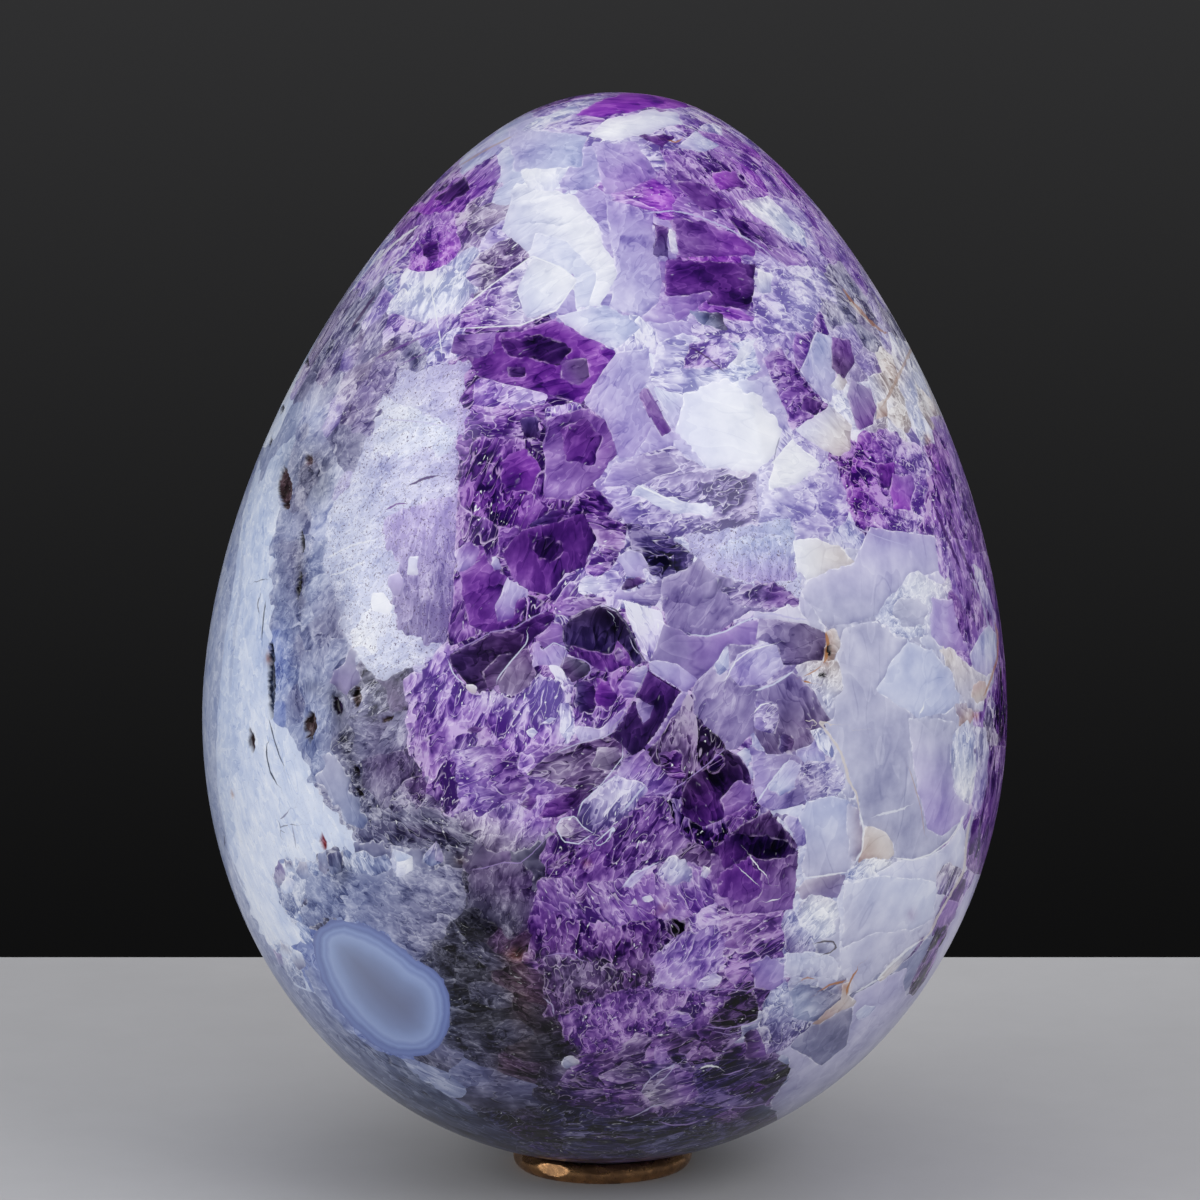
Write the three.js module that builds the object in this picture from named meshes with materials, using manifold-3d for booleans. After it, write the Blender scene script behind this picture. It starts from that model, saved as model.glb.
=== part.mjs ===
// A polished amethyst and agate egg that rests, leaning a little, in a small hand-finished bronze ring.
// Millimetres, +Z up. The origin is on the table, below the middle of the egg, and the viewer stands at -Y.

import * as THREE from "three";
import { mergeVertices } from "three/addons/utils/BufferGeometryUtils.js";
import Module from "manifold-3d";

// The egg
const EGG_RADIUS = 66.75; // at its widest level
const EGG_ABOVE = 102.9; // from the widest level to the narrow end
const EGG_BELOW = 75; // from the widest level to the broad end
const NARROW_FULLNESS = 2.317; // 2 is an ellipse, more is fuller
const BROAD_FULLNESS = 2.0375;
const NARROW_TAPER = 0.325; // share of the width lost towards the narrow end
const TAPER_POWER = 1.6; // how late the taper sets in
const EGG_LEAN = 1.7; // degrees, narrow end towards +X

// The ring
const RING_DIAMETER = 30; // outside
const RING_WIDTH = 3.7; // radial width of the rounded section
const RING_HEIGHT = 3.6;
const FOOT_WIDTH = 1.9; // flat ground under the ring
const RING_WANDER = 0.16; // how far the hand-bent ring strays from a true circle
const WANDER_WAVES = 2; // the ring is a little oval
const WANDER_TURN = 35; // degrees, direction of the oval's long axis

// The seat, dished into the ring by the egg
const SEAT_INSET = 0.55; // the seat's middle circle lies this far inside the ring's crown
const SEAT_SINK = 0.3; // how far the egg's skin there lies below the crown
const SEAT_CLEARANCE = 0.3;

// Hammered flats on the outer face of the ring
const FLAT_COUNT = 15;
const FLAT_DEPTH = 0.14; // the shallowest
const FLAT_EXTRA = 0.1; // added to the deepest
const FLAT_BEAT = 3; // radians from one flat's depth to the next in the hammer's rhythm
const FLAT_SLANTS = [38, 8, 24]; // degrees up the rounded face, taken in turn
const FLAT_STRAY = 5; // degrees off an even spacing

// Fineness of the facets
const EGG_SEGMENTS = 64;
const EGG_RINGS_ABOVE = 26;
const EGG_RINGS_BELOW = 18;
const RING_SEGMENTS = 90;
const SECTION_STEPS = 20;

const wasm = await Module();
wasm.setup();

const ringMiddle = (RING_DIAMETER - RING_WIDTH) / 2; // radius of the ring's crown

/** A closed three.js geometry as a solid that can be cut. */
function solidFrom(geometry, matrix = new THREE.Matrix4()) {
  const bare = geometry.clone().applyMatrix4(matrix);
  bare.deleteAttribute("normal");
  bare.deleteAttribute("uv");
  const merged = mergeVertices(bare, 1e-4);
  return new wasm.Manifold(
    new wasm.Mesh({
      numProp: 3,
      vertProperties: merged.attributes.position.array,
      triVerts: new Uint32Array(merged.index.array),
    }),
  );
}

/** A solid's vertices and triangles as a three.js geometry. */
function geometryFrom(solid) {
  const { vertProperties, triVerts } = solid.getMesh();
  const geometry = new THREE.BufferGeometry();
  geometry.setAttribute("position", new THREE.BufferAttribute(vertProperties, 3));
  geometry.setIndex(new THREE.BufferAttribute(triVerts, 1));
  geometry.computeVertexNormals();
  return geometry;
}

/** Half-width of the egg at a height over its widest level, for an egg grown by a skin of even thickness. */
function eggRadius(height, grown = 0) {
  const wide = EGG_RADIUS + grown;
  if (height < 0) {
    const share = Math.min(1, -height / (EGG_BELOW + grown));
    return wide * (1 - share ** BROAD_FULLNESS) ** (1 / BROAD_FULLNESS);
  }
  const share = Math.min(1, height / (EGG_ABOVE + grown));
  const round = (1 - share ** NARROW_FULLNESS) ** (1 / NARROW_FULLNESS);
  return wide * round * (1 - NARROW_TAPER * share ** TAPER_POWER);
}

/** How far the egg's skin has risen above its broad end's lowest point, at a distance from its axis. */
function eggRise(distance) {
  const level = (1 - (distance / EGG_RADIUS) ** BROAD_FULLNESS) ** (1 / BROAD_FULLNESS);
  return EGG_BELOW * (1 - level);
}

/** The egg turned on its own axis, with its widest level at z = 0. */
function eggGeometry(grown = 0) {
  const profile = [new THREE.Vector2(0, -(EGG_BELOW + grown))];
  for (let i = 1; i < EGG_RINGS_BELOW; i++) {
    const height = -(EGG_BELOW + grown) * Math.cos(((i / EGG_RINGS_BELOW) * Math.PI) / 2);
    profile.push(new THREE.Vector2(eggRadius(height, grown), height));
  }
  for (let i = 0; i < EGG_RINGS_ABOVE; i++) {
    const height = (EGG_ABOVE + grown) * Math.sin(((i / EGG_RINGS_ABOVE) * Math.PI) / 2);
    profile.push(new THREE.Vector2(eggRadius(height, grown), height));
  }
  profile.push(new THREE.Vector2(0, EGG_ABOVE + grown));
  // A lathe turns about Y, so it is stood up along Z
  return new THREE.LatheGeometry(profile, EGG_SEGMENTS).rotateX(Math.PI / 2);
}

/** The ring's rounded section with its flat foot, as distances from the axis and heights. */
function ringSection() {
  const footLevel = Math.sqrt(1 - (FOOT_WIDTH / RING_WIDTH) ** 2);
  const halfHeight = RING_HEIGHT / (1 + footLevel);
  const footAngle = Math.asin(footLevel);
  const points = [];
  for (let i = 0; i <= SECTION_STEPS; i++) {
    const angle = -footAngle + (i / SECTION_STEPS) * (Math.PI + 2 * footAngle);
    const across = ringMiddle + (RING_WIDTH / 2) * Math.cos(angle);
    points.push(new THREE.Vector2(across, halfHeight * (footLevel + Math.sin(angle))));
  }
  points.push(points[0].clone());
  return points;
}

/** The plain ring: its section swept round a circle that wanders a little, as a hand-bent one does. */
function bentRing() {
  const turned = new THREE.LatheGeometry(ringSection(), RING_SEGMENTS).rotateX(Math.PI / 2);
  const places = turned.attributes.position;
  const place = new THREE.Vector3();
  for (let i = 0; i < places.count; i++) {
    place.fromBufferAttribute(places, i);
    const bearing = Math.atan2(place.y, place.x) - THREE.MathUtils.degToRad(WANDER_TURN);
    const distance = Math.hypot(place.x, place.y);
    const stretch = 1 + (RING_WANDER * Math.cos(WANDER_WAVES * bearing)) / distance;
    places.setXYZ(i, place.x * stretch, place.y * stretch, place.z);
  }
  return turned;
}

/** Blocks that plane the hammered flats into the ring's outer face. */
function flatCutters() {
  const block = RING_DIAMETER;
  const cutters = [];
  for (let i = 0; i < FLAT_COUNT; i++) {
    const stray = FLAT_STRAY * Math.sin(i * i);
    const bearing = THREE.MathUtils.degToRad((i * 360) / FLAT_COUNT + stray);
    const slant = THREE.MathUtils.degToRad(FLAT_SLANTS[i % FLAT_SLANTS.length]);
    const depth = FLAT_DEPTH + (FLAT_EXTRA * (1 + Math.cos(FLAT_BEAT * i))) / 2;
    // The section is nearly round, so a flat lies one half-width out from the section's middle
    const reach = Math.hypot((RING_WIDTH / 2) * Math.cos(slant), (RING_HEIGHT / 2) * Math.sin(slant));
    const turn = new THREE.Matrix4()
      .makeRotationZ(bearing)
      .multiply(new THREE.Matrix4().makeTranslation(ringMiddle, 0, RING_HEIGHT / 2))
      .multiply(new THREE.Matrix4().makeRotationY(-slant))
      .multiply(new THREE.Matrix4().makeTranslation(reach - depth + block / 2, 0, 0));
    cutters.push(solidFrom(new THREE.BoxGeometry(block, block, block), turn));
  }
  return cutters;
}

// Seating: the egg leans about the point where the lines square to its skin at the seat meet its axis
const seatRadius = ringMiddle - SEAT_INSET;
const seatStep = 0.01;
const seatSlope = (eggRise(seatRadius + seatStep) - eggRise(seatRadius - seatStep)) / (2 * seatStep);
const pivotRise = eggRise(seatRadius) + seatRadius / seatSlope; // over the egg's lowest point
const pivotHeight = RING_HEIGHT - SEAT_SINK + seatRadius / seatSlope;
const lean = THREE.MathUtils.degToRad(EGG_LEAN);
const ringX = -(EGG_BELOW - pivotRise) * Math.sin(lean);

const egg = new THREE.Mesh(
  eggGeometry(),
  new THREE.MeshStandardMaterial({ color: 0xa99ac8, roughness: 0.12, metalness: 0 }),
);
egg.name = "egg";
egg.position.z = EGG_BELOW - pivotRise;

const leaning = new THREE.Group();
leaning.position.set(ringX, 0, pivotHeight);
leaning.rotation.y = lean;
leaning.add(egg);
leaning.updateMatrixWorld(true);

// The seat is dished into the ring by the same egg, grown by the clearance
let ringSolid = solidFrom(bentRing(), new THREE.Matrix4().makeTranslation(ringX, 0, 0));
ringSolid = ringSolid.subtract(solidFrom(eggGeometry(SEAT_CLEARANCE), egg.matrixWorld));
for (const cutter of flatCutters()) {
  ringSolid = ringSolid.subtract(cutter.translate([ringX, 0, 0]));
}

const ring = new THREE.Mesh(
  geometryFrom(ringSolid),
  new THREE.MeshStandardMaterial({ color: 0x9c7444, roughness: 0.3, metalness: 1 }),
);
ring.name = "ring_stand";

const part = new THREE.Group();
part.add(leaning, ring);

export default part;
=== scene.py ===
"""A polished crystal egg, leaning a little in a small hammered bronze ring.

The egg is one stone. Its skin is cut along the outlines of the crystals that the polish lays open,
so that every crystal has its own faces, colour, grain and nature. Crystals on the front are listed
one by one, in millimetres as seen from the front; smaller ones fill the gaps and the unseen sides.
"""

import logging
import math
from dataclasses import dataclass, field
from enum import Enum
from typing import Any, NamedTuple

import bpy
import numpy as np
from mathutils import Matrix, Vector
from mathutils.kdtree import KDTree


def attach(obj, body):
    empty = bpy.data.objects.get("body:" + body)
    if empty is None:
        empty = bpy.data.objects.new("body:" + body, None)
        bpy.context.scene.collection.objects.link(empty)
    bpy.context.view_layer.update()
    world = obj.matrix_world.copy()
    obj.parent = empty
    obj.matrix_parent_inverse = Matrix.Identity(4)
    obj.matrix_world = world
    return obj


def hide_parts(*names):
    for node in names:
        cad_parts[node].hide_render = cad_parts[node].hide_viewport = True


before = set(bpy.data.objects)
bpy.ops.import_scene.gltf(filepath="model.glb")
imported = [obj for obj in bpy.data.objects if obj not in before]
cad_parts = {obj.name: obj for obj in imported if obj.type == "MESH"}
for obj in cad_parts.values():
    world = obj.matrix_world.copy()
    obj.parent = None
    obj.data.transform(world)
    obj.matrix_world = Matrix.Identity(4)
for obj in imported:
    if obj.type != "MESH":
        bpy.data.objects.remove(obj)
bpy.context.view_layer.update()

LOG = logging.getLogger("crystal_egg")
MM = 0.001
SEED = 41
WAVE_COUNT = 7
WAVE_SPREAD = (0.6, 1.5)
WAVE_LEVEL = 3.2

Point = tuple[float, float]
Span = tuple[float, float]
Triple = tuple[float, float, float]
Colour = tuple[float, float, float]


def linear(rgb: tuple[int, int, int]) -> Colour:
    """Turns display values into the linear ones that a shader works with.

    Args:
        rgb: Red, green and blue from 0 to 255.

    Returns:
        The same colour as linear values from 0 to 1.
    """

    def channel(value: int) -> float:
        """Turns one display value into a linear one."""
        share = value / 255
        return share / 12.92 if share <= 0.04045 else ((share + 0.055) / 1.055) ** 2.4

    return channel(rgb[0]), channel(rgb[1]), channel(rgb[2])


class Tint(Enum):
    """Body colours found in the stone, as display values."""

    BLACK = (9, 1, 28)
    INK = (20, 3, 54)
    INDIGO = (44, 32, 92)
    NAVY = (34, 44, 72)
    DEEP = (58, 16, 98)
    VIOLET = (84, 32, 128)
    VIVID = (114, 46, 158)
    MAGENTA = (146, 64, 188)
    PURPLE = (104, 62, 144)
    AMETHYST = (122, 88, 158)
    ORCHID = (146, 114, 184)
    LILAC = (160, 138, 198)
    LAVENDER = (170, 158, 208)
    PALE = (186, 182, 218)
    PLUM = (66, 40, 92)
    SLATE_VIOLET = (106, 90, 130)
    SLATE_LAVENDER = (130, 118, 168)
    MAUVE = (156, 147, 172)
    ICE = (182, 189, 219)
    FROST = (202, 207, 228)
    MILK = (210, 213, 232)
    WHITE = (229, 231, 237)
    SMOOTH = (184, 185, 210)
    CLOUD = (170, 172, 199)
    HAZE = (116, 118, 156)
    RIND = (196, 207, 231)
    CHALK = (216, 224, 241)
    BLUE = (118, 134, 190)
    STEEL = (138, 148, 184)
    GREY = (124, 124, 156)
    SLATE = (68, 68, 92)
    CHARCOAL = (34, 34, 46)
    CREAM = (206, 199, 197)
    TAN = (176, 150, 138)
    OCHRE = (168, 112, 62)
    BROWN = (58, 44, 46)
    RED = (132, 18, 30)

    @property
    def colour(self) -> Colour:
        """Linear red, green and blue."""
        return linear(self.value)


class Nature(NamedTuple):
    """How a crystal looks inside: strengths from 0 to about 1, and its grain's size in millimetres.

    The last says how far its colour runs into its neighbours'.
    """

    shards: float
    feathers: float
    flecks: float
    clouds: float
    rim: float
    streaks: float
    grain: float
    soft: float


class Kind(Enum):
    """Named natures of the crystals."""

    CLEAR = Nature(0.25, 0.3, 0.0, 0.5, 0.6, 0.1, 4.0, 0.5)
    SHARDED = Nature(0.8, 0.9, 0.0, 0.8, 0.7, 0.15, 2.8, 0.6)
    SMOOTH = Nature(0.08, 0.2, 0.0, 0.6, 0.7, 0.03, 9.0, 0.5)
    FROSTED = Nature(0.2, 0.5, 1.0, 0.5, 0.25, 0.0, 2.4, 0.45)
    DRUSE = Nature(0.5, 0.8, 0.05, 0.9, 0.4, 0.0, 2.2, 0.85)
    HAZY = Nature(0.3, 0.42, 0.05, 0.75, 0.15, 0.1, 2.2, 0.9)
    MOTTLED = Nature(0.4, 0.7, 0.35, 0.9, 0.2, 0.1, 2.6, 0.85)
    STREAKED = Nature(0.45, 0.8, 0.0, 0.6, 0.35, 0.6, 3.0, 0.7)
    RIND = Nature(0.12, 0.5, 0.15, 0.6, 0.0, 0.35, 4.0, 0.25)
    AGATE = Nature(0.0, 0.0, 0.0, 0.1, 0.0, 0.0, 6.0, 0.1)


class Crystal(NamedTuple):
    """A listed crystal, in millimetres across and up as seen from the front.

    Its colour turns from tint to deep in the direction of fade, in degrees from +across.
    """

    tint: Tint
    deep: Tint
    fade: float
    kind: Kind
    outline: tuple[Point, ...]
    ragged: float = 0.18
    through: bool = False


class Vein(NamedTuple):
    """A thin line in the skin, such as a healed crack or a seam of iron stain."""

    tint: Tint
    width: float
    path: tuple[Point, ...]
    ragged: float = 0.35
    strength: float = 1.0


class StainOrPaintedLight(NamedTuple):
    """A soft patch of colour that crosses the crystals' borders. Most are staining in the stone; a few are
    painted shade low on the egg, and two are painted highlights.
    """

    tint: Tint
    middle: Point
    reach: Point
    turn: float
    strength: float
    through: bool = False


class Zone(NamedTuple):
    """A part of the stone in which the small crystals have the same habit."""

    middle: Point
    reach: Point
    turn: float
    tints: tuple[Tint, ...]
    kind: Kind
    size: float


class Pit(NamedTuple):
    """A hollow left open by the polish, along a line from start to end."""

    start: Point
    end: Point
    half_width: float
    depth: float
    tint: Tint


CRYSTALS: tuple[Crystal, ...] = (
    # Rind of chalcedony down the left side, and the bands below it
    Crystal(Tint.STEEL, Tint.RIND, 180, Kind.RIND, (
        (-55.5, 121), (-57.4, 118.5), (-60, 110), (-61.3, 100), (-62.9, 90), (-63.9, 80), (-64.4, 72),
        (-64.2, 65), (-63.3, 60), (-62.2, 54), (-60.5, 49), (-58, 43.5), (-55, 38), (-50, 30), (-56, 30),
        (-80, 60), (-80, 100), (-66, 124)), 0.05, True),
    Crystal(Tint.RIND, Tint.RIND, 0, Kind.RIND, (
        (-57.2, 119.5), (-60, 110), (-61.3, 100), (-62.9, 90), (-63.9, 80), (-64.4, 72), (-64.2, 65),
        (-63.3, 60), (-62.2, 54), (-60.5, 49), (-58, 43.5), (-55, 38), (-50, 30), (-46, 26), (-52, 38),
        (-54, 42), (-55, 50), (-57, 62), (-57, 90), (-57, 112)), 0.05, True),
    Crystal(Tint.RIND, Tint.CHALK, -60, Kind.RIND, (
        (-57, 118), (-55.9, 110), (-55.4, 103), (-55.2, 95), (-55.4, 88), (-55.6, 82), (-55.3, 77),
        (-53, 74.5), (-51, 72), (-49.8, 69), (-48.5, 66), (-46.5, 62.5), (-44, 59.5), (-42, 57),
        (-41.2, 54.3), (-42.2, 53.6), (-43.2, 55), (-44.6, 54.7), (-46, 54.4), (-47.5, 54.1), (-48.2, 52.3),
        (-50, 53.2), (-52, 52.7), (-54.3, 52.9), (-54.9, 50.6), (-54.2, 47.5), (-53.4, 44.8), (-52, 42.8),
        (-50.6, 41.4), (-50.7, 39.5), (-51.6, 38.6), (-53.8, 40), (-55.2, 38.2), (-57, 41), (-59.5, 47),
        (-61, 53), (-61.6, 60), (-61, 68), (-60.4, 78), (-60.2, 90), (-59.8, 100),
        (-58.8, 108)), 0.3, True),
    Crystal(Tint.STEEL, Tint.NAVY, -38, Kind.RIND, (
        (-55.5, 38), (-52.5, 33), (-50.5, 31.5), (-48, 31), (-46, 28), (-42, 24.3), (-38, 21.4), (-34, 20),
        (-30, 16.3), (-25, 13.3), (-20, 10.2), (-17, 8.3), (-14.5, 7), (-15, 2), (-30, 2), (-50, 14),
        (-62, 32)), 0.15, True),
    # The pale smooth band at the lower right is the stone's pale crystal, painted paler still as a
    # reflection on the egg's underside.
    Crystal(Tint.PALE, Tint.CLOUD, -60, Kind.SMOOTH, (
        (26.5, 26), (26.3, 22), (30.3, 20.3), (31, 18.6), (30.2, 16.3), (28.3, 14), (27.5, 12.8), (29, 9),
        (45, 9), (62, 30), (74, 56), (64.5, 55), (61.5, 50.5), (59.8, 47.5), (58.5, 45), (57.3, 42),
        (56, 39.5), (54, 36), (51.5, 31), (49.9, 30.5), (49.5, 32.5), (50, 35), (46.5, 33.5), (43.5, 31.8),
        (41.5, 30.8), (41.3, 29), (38, 27.3), (34.5, 25.7)), 0.1, True),
    # Druse and ice crystals at the lower left
    Crystal(Tint.STEEL, Tint.GREY, -10, Kind.HAZY, (
        (-49.8, 49.5), (-46, 51), (-43, 52), (-39, 51.5), (-35, 50.5), (-31, 51.2), (-27, 52), (-24, 51.5),
        (-23, 46), (-24.5, 43), (-28, 39), (-31, 36), (-34, 38.8), (-37, 41), (-41, 42.8), (-46, 43),
        (-50, 42)), 0.3),
    Crystal(Tint.GREY, Tint.SLATE, -20, Kind.MOTTLED, (
        (-42, 61), (-36, 61.5), (-30, 62), (-24, 60), (-21, 57), (-23, 53), (-27, 54.5), (-31, 54.5),
        (-36, 55.5), (-41, 56)), 0.5),
    Crystal(Tint.STEEL, Tint.CHALK, 60, Kind.DRUSE, (
        (-54.3, 52.9), (-52, 52.7), (-50, 53.2), (-48.2, 52.3), (-49.3, 49.5), (-50, 46), (-51, 43.5),
        (-53.4, 45), (-54.2, 47.5), (-54.9, 50.6)), 0.1),
    Crystal(Tint.SLATE_LAVENDER, Tint.GREY, 270, Kind.CLEAR, (
        (-54.6, 51.8), (-53.6, 52.5), (-52.8, 50.6), (-54.0, 48.2), (-54.8, 50)), 0.0),
    Crystal(Tint.GREY, Tint.RIND, 270, Kind.CLEAR, (
        (-53.1, 52.7), (-51.8, 52.7), (-51.4, 51.2), (-52.6, 50.8)), 0.0),
    Crystal(Tint.FROST, Tint.RIND, 240, Kind.CLEAR, (
        (-53.8, 48.4), (-52.7, 50.2), (-51.3, 49.6), (-51.7, 47.6), (-53.1, 47.3)), 0.0),
    Crystal(Tint.GREY, Tint.STEEL, 270, Kind.CLEAR, (
        (-50.6, 52.7), (-49.4, 52.6), (-48.9, 50.2), (-50.1, 49.6), (-51.2, 50.9)), 0.0),
    Crystal(Tint.STEEL, Tint.GREY, 250, Kind.CLEAR, (
        (-47.6, 54), (-46.2, 54.5), (-45.9, 52.2), (-46.1, 50.3), (-47.4, 51.4)), 0.0),
    Crystal(Tint.GREY, Tint.STEEL, 290, Kind.CLEAR, (
        (-46, 54), (-44.5, 54.6), (-43.5, 54), (-43.4, 51), (-45.4, 50.2), (-45.8, 51.8)), 0.0),
    Crystal(Tint.RIND, Tint.STEEL, 290, Kind.DRUSE, (
        (-43.4, 55.6), (-41.8, 54), (-40, 54.6), (-38, 53.4), (-36, 54), (-35.4, 51.4), (-38, 50.2),
        (-41, 50.8), (-43.2, 51.2)), 0.05),
    Crystal(Tint.MILK, Tint.WHITE, 30, Kind.CLEAR, (
        (-35.2, 54.8), (-33.5, 54.3), (-31.8, 53.5), (-31.8, 51.3), (-34, 50), (-35.1, 51.4),
        (-35.4, 53)), 0.0),
    Crystal(Tint.FROST, Tint.RIND, 300, Kind.CLEAR, (
        (-35.2, 54.8), (-33.5, 54.3), (-31.8, 53.5), (-33.2, 52.8), (-34.6, 52.6)), 0.0),
    Crystal(Tint.SLATE_LAVENDER, Tint.STEEL, 250, Kind.CLEAR, (
        (-30, 53.8), (-27.8, 56.2), (-26.8, 54), (-26.7, 52.5), (-29, 51.8), (-30.2, 52.8)), 0.0),
    Crystal(Tint.GREY, Tint.SLATE_LAVENDER, 270, Kind.CLEAR, (
        (-27.8, 56.2), (-26.8, 54), (-26.7, 52.5), (-28.2, 52.9)), 0.0),
    Crystal(Tint.STEEL, Tint.CHALK, 50, Kind.DRUSE, (
        (-55, 38.2), (-53.6, 39.9), (-51.6, 38.4), (-50.3, 37), (-49.8, 33), (-49.5, 31.5), (-51.5, 32.5),
        (-53.4, 35)), 0.05),
    Crystal(Tint.GREY, Tint.RIND, 250, Kind.CLEAR, (
        (-53.6, 39.4), (-51.8, 37.8), (-52.2, 36.4), (-53.8, 37.2)), 0),
    Crystal(Tint.SLATE_LAVENDER, Tint.STEEL, 280, Kind.CLEAR, (
        (-54.6, 37.6), (-53.6, 37.4), (-53.0, 34.8), (-54.0, 35.4)), 0.0),
    Crystal(Tint.RIND, Tint.GREY, 280, Kind.CLEAR, (
        (-51.6, 38.2), (-50.2, 37.6), (-49.4, 35.4), (-50.6, 34.6), (-51.8, 36.2)), 0.0),
    Crystal(Tint.STEEL, Tint.BLUE, 300, Kind.AGATE, (
        (-48.3, 40), (-47.2, 41.6), (-45.4, 42.7), (-43, 43), (-39.5, 42), (-36.5, 40.5), (-33, 38),
        (-31, 36.2), (-28.5, 35), (-26.7, 33), (-25.7, 30), (-25.5, 27.5), (-26.3, 24), (-27.5, 22),
        (-29, 20.9), (-32, 20.3), (-35, 20.6), (-38, 22), (-41.5, 25), (-44.5, 28.6), (-46.7, 32.6),
        (-48, 36.4)), 0.12),
    # Grey druse band
    Crystal(Tint.GREY, Tint.STEEL, 200, Kind.HAZY, (
        (-54.6, 105), (-50.5, 106), (-49.6, 100), (-50.2, 94), (-51.6, 88), (-53.6, 88),
        (-54.8, 96)), 0.35),
    Crystal(Tint.STEEL, Tint.CLOUD, 120, Kind.SMOOTH, (
        (-46.5, 71), (-44.6, 70), (-42.4, 66.4), (-41, 62.4), (-38.8, 60), (-41.2, 57.6), (-43.4, 60),
        (-45.6, 63.4), (-47.4, 67)), 0.4),
    Crystal(Tint.SLATE_LAVENDER, Tint.GREY, 60, Kind.SMOOTH, (
        (-45.6, 82.6), (-43.4, 86), (-41.4, 89.6), (-40.4, 89), (-41.4, 85.4), (-40.6, 83), (-42.2, 80.6),
        (-44.4, 80.8)), 0.3),
    # Frosted patch with its straight edge, its pale crystals painted paler and white as the reflection of a
    # softbox
    Crystal(Tint.PALE, Tint.FROST, 200, Kind.FROSTED, (
        (-34, 133.5), (-22, 136), (-24.3, 128), (-24.4, 115), (-24.7, 105), (-25.3, 95), (-26.2, 89),
        (-29, 86.6), (-33, 84), (-38, 82.6), (-40.4, 86), (-43.2, 90.4), (-44.4, 95), (-46.4, 101),
        (-46, 110), (-42.6, 115), (-40, 121)), 0.25),
    Crystal(Tint.FROST, Tint.MILK, 200, Kind.FROSTED, (
        (-36.6, 130), (-29, 126.4), (-25, 124.4), (-25.4, 120.6), (-31, 121), (-36.6, 119),
        (-39, 122)), 0.4),
    Crystal(Tint.SLATE_LAVENDER, Tint.LAVENDER, 90, Kind.FROSTED, (
        (-24.4, 113.6), (-24.6, 105), (-25.3, 95), (-26.2, 89), (-29.6, 88.6), (-34.4, 91), (-35.4, 97),
        (-34.2, 102), (-36.6, 106), (-36.4, 109.6), (-31, 112)), 0.3),
    Crystal(Tint.MILK, Tint.WHITE, 220, Kind.FROSTED, (
        (-35, 94.4), (-36.6, 90.4), (-39, 87.6), (-41.4, 88.4), (-42.2, 91), (-40, 93.4),
        (-38.6, 94.4)), 0.3),
    Crystal(Tint.WHITE, Tint.WHITE, 0, Kind.SMOOTH, (
        (-38.4, 97.4), (-36.6, 97.2), (-35.1, 95), (-35.7, 93.8), (-38.5, 94.1), (-38.9, 95.6)), 0.08),
    Crystal(Tint.WHITE, Tint.MILK, 90, Kind.SMOOTH, (
        (-32.8, 100.2), (-32.4, 103.2), (-31, 103.4), (-30.9, 100)), 0.1),
    Crystal(Tint.SLATE_LAVENDER, Tint.LAVENDER, 90, Kind.SMOOTH, (
        (-36, 98.4), (-35, 96.8), (-33.6, 97), (-33.2, 99.4), (-34.2, 100.6), (-35.6, 100.2)), 0.1),
    # Violet band beside it
    Crystal(Tint.AMETHYST, Tint.PURPLE, 250, Kind.SHARDED, (
        (-24.4, 116), (-20, 117), (-18, 110), (-17.6, 104), (-19, 101.6), (-20.4, 96), (-20.6, 91),
        (-22.8, 89.4), (-25.6, 88.2), (-26.2, 89.6), (-25.3, 95), (-24.7, 105)), 0.12),
    Crystal(Tint.VIOLET, Tint.VIOLET, 220, Kind.CLEAR, (
        (-24, 104.6), (-20.4, 105.2), (-18.8, 101.5), (-15.5, 99.5), (-12.8, 97.8), (-12.6, 96.8),
        (-13.3, 94.5), (-14.5, 92), (-17, 91), (-20, 90.7), (-22.6, 92), (-23.6, 97)), 0.12),
    Crystal(Tint.PALE, Tint.LILAC, 250, Kind.CLEAR, (
        (-16.2, 99.4), (-12.8, 97.8), (-12.6, 96.8), (-14.6, 96), (-15.2, 93), (-17.8, 92.4),
        (-18.2, 95)), 0.05),
    Crystal(Tint.FROST, Tint.PALE, 270, Kind.CLEAR, (
        (-18.8, 103.7), (-17.6, 102.8), (-17.1, 101.2), (-18.4, 100.9)), 0.05),
    Crystal(Tint.ORCHID, Tint.LAVENDER, 240, Kind.CLEAR, (
        (-25, 104), (-22.4, 105.6), (-20.6, 104.8), (-21.6, 102), (-24.2, 100.4)), 0.1),
    # The violet mass above the middle
    Crystal(Tint.PURPLE, Tint.VIOLET, 250, Kind.SHARDED, (
        (-24.4, 118), (-21, 123), (-13, 122.6), (-9, 119), (-4.6, 114.4), (-6, 110.6), (-11.6, 108.2),
        (-17, 108), (-20.4, 110), (-24.2, 112)), 0.2),
    Crystal(Tint.VIVID, Tint.VIOLET, 200, Kind.CLEAR, (
        (-17.6, 119), (-13, 121), (-10.6, 117.6), (-12.4, 114), (-16.4, 114)), 0.15),
    Crystal(Tint.ORCHID, Tint.AMETHYST, 0, Kind.SHARDED, (
        (-24, 122.4), (-22, 128.4), (-12, 128), (-10.6, 123.4), (-13.6, 122.6), (-21, 123)), 0.12),
    Crystal(Tint.INDIGO, Tint.INK, 270, Kind.CLEAR, (
        (-14, 126), (-11, 126.4), (-10.8, 123), (-13.6, 122.8)), 0.1),
    Crystal(Tint.LAVENDER, Tint.LILAC, 200, Kind.SHARDED, (
        (-21.5, 132.6), (-14, 132.4), (-9.2, 130), (-10.2, 128.2), (-14, 127.8), (-21.8, 128.4)), 0.12),
    Crystal(Tint.VIVID, Tint.VIOLET, 200, Kind.CLEAR, (
        (-25, 140), (-14, 140.5), (-8.5, 142.5), (0, 138.5), (2, 137), (-1, 133), (-4, 128.5), (-9, 130),
        (-21, 133)), 0.05),
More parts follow.
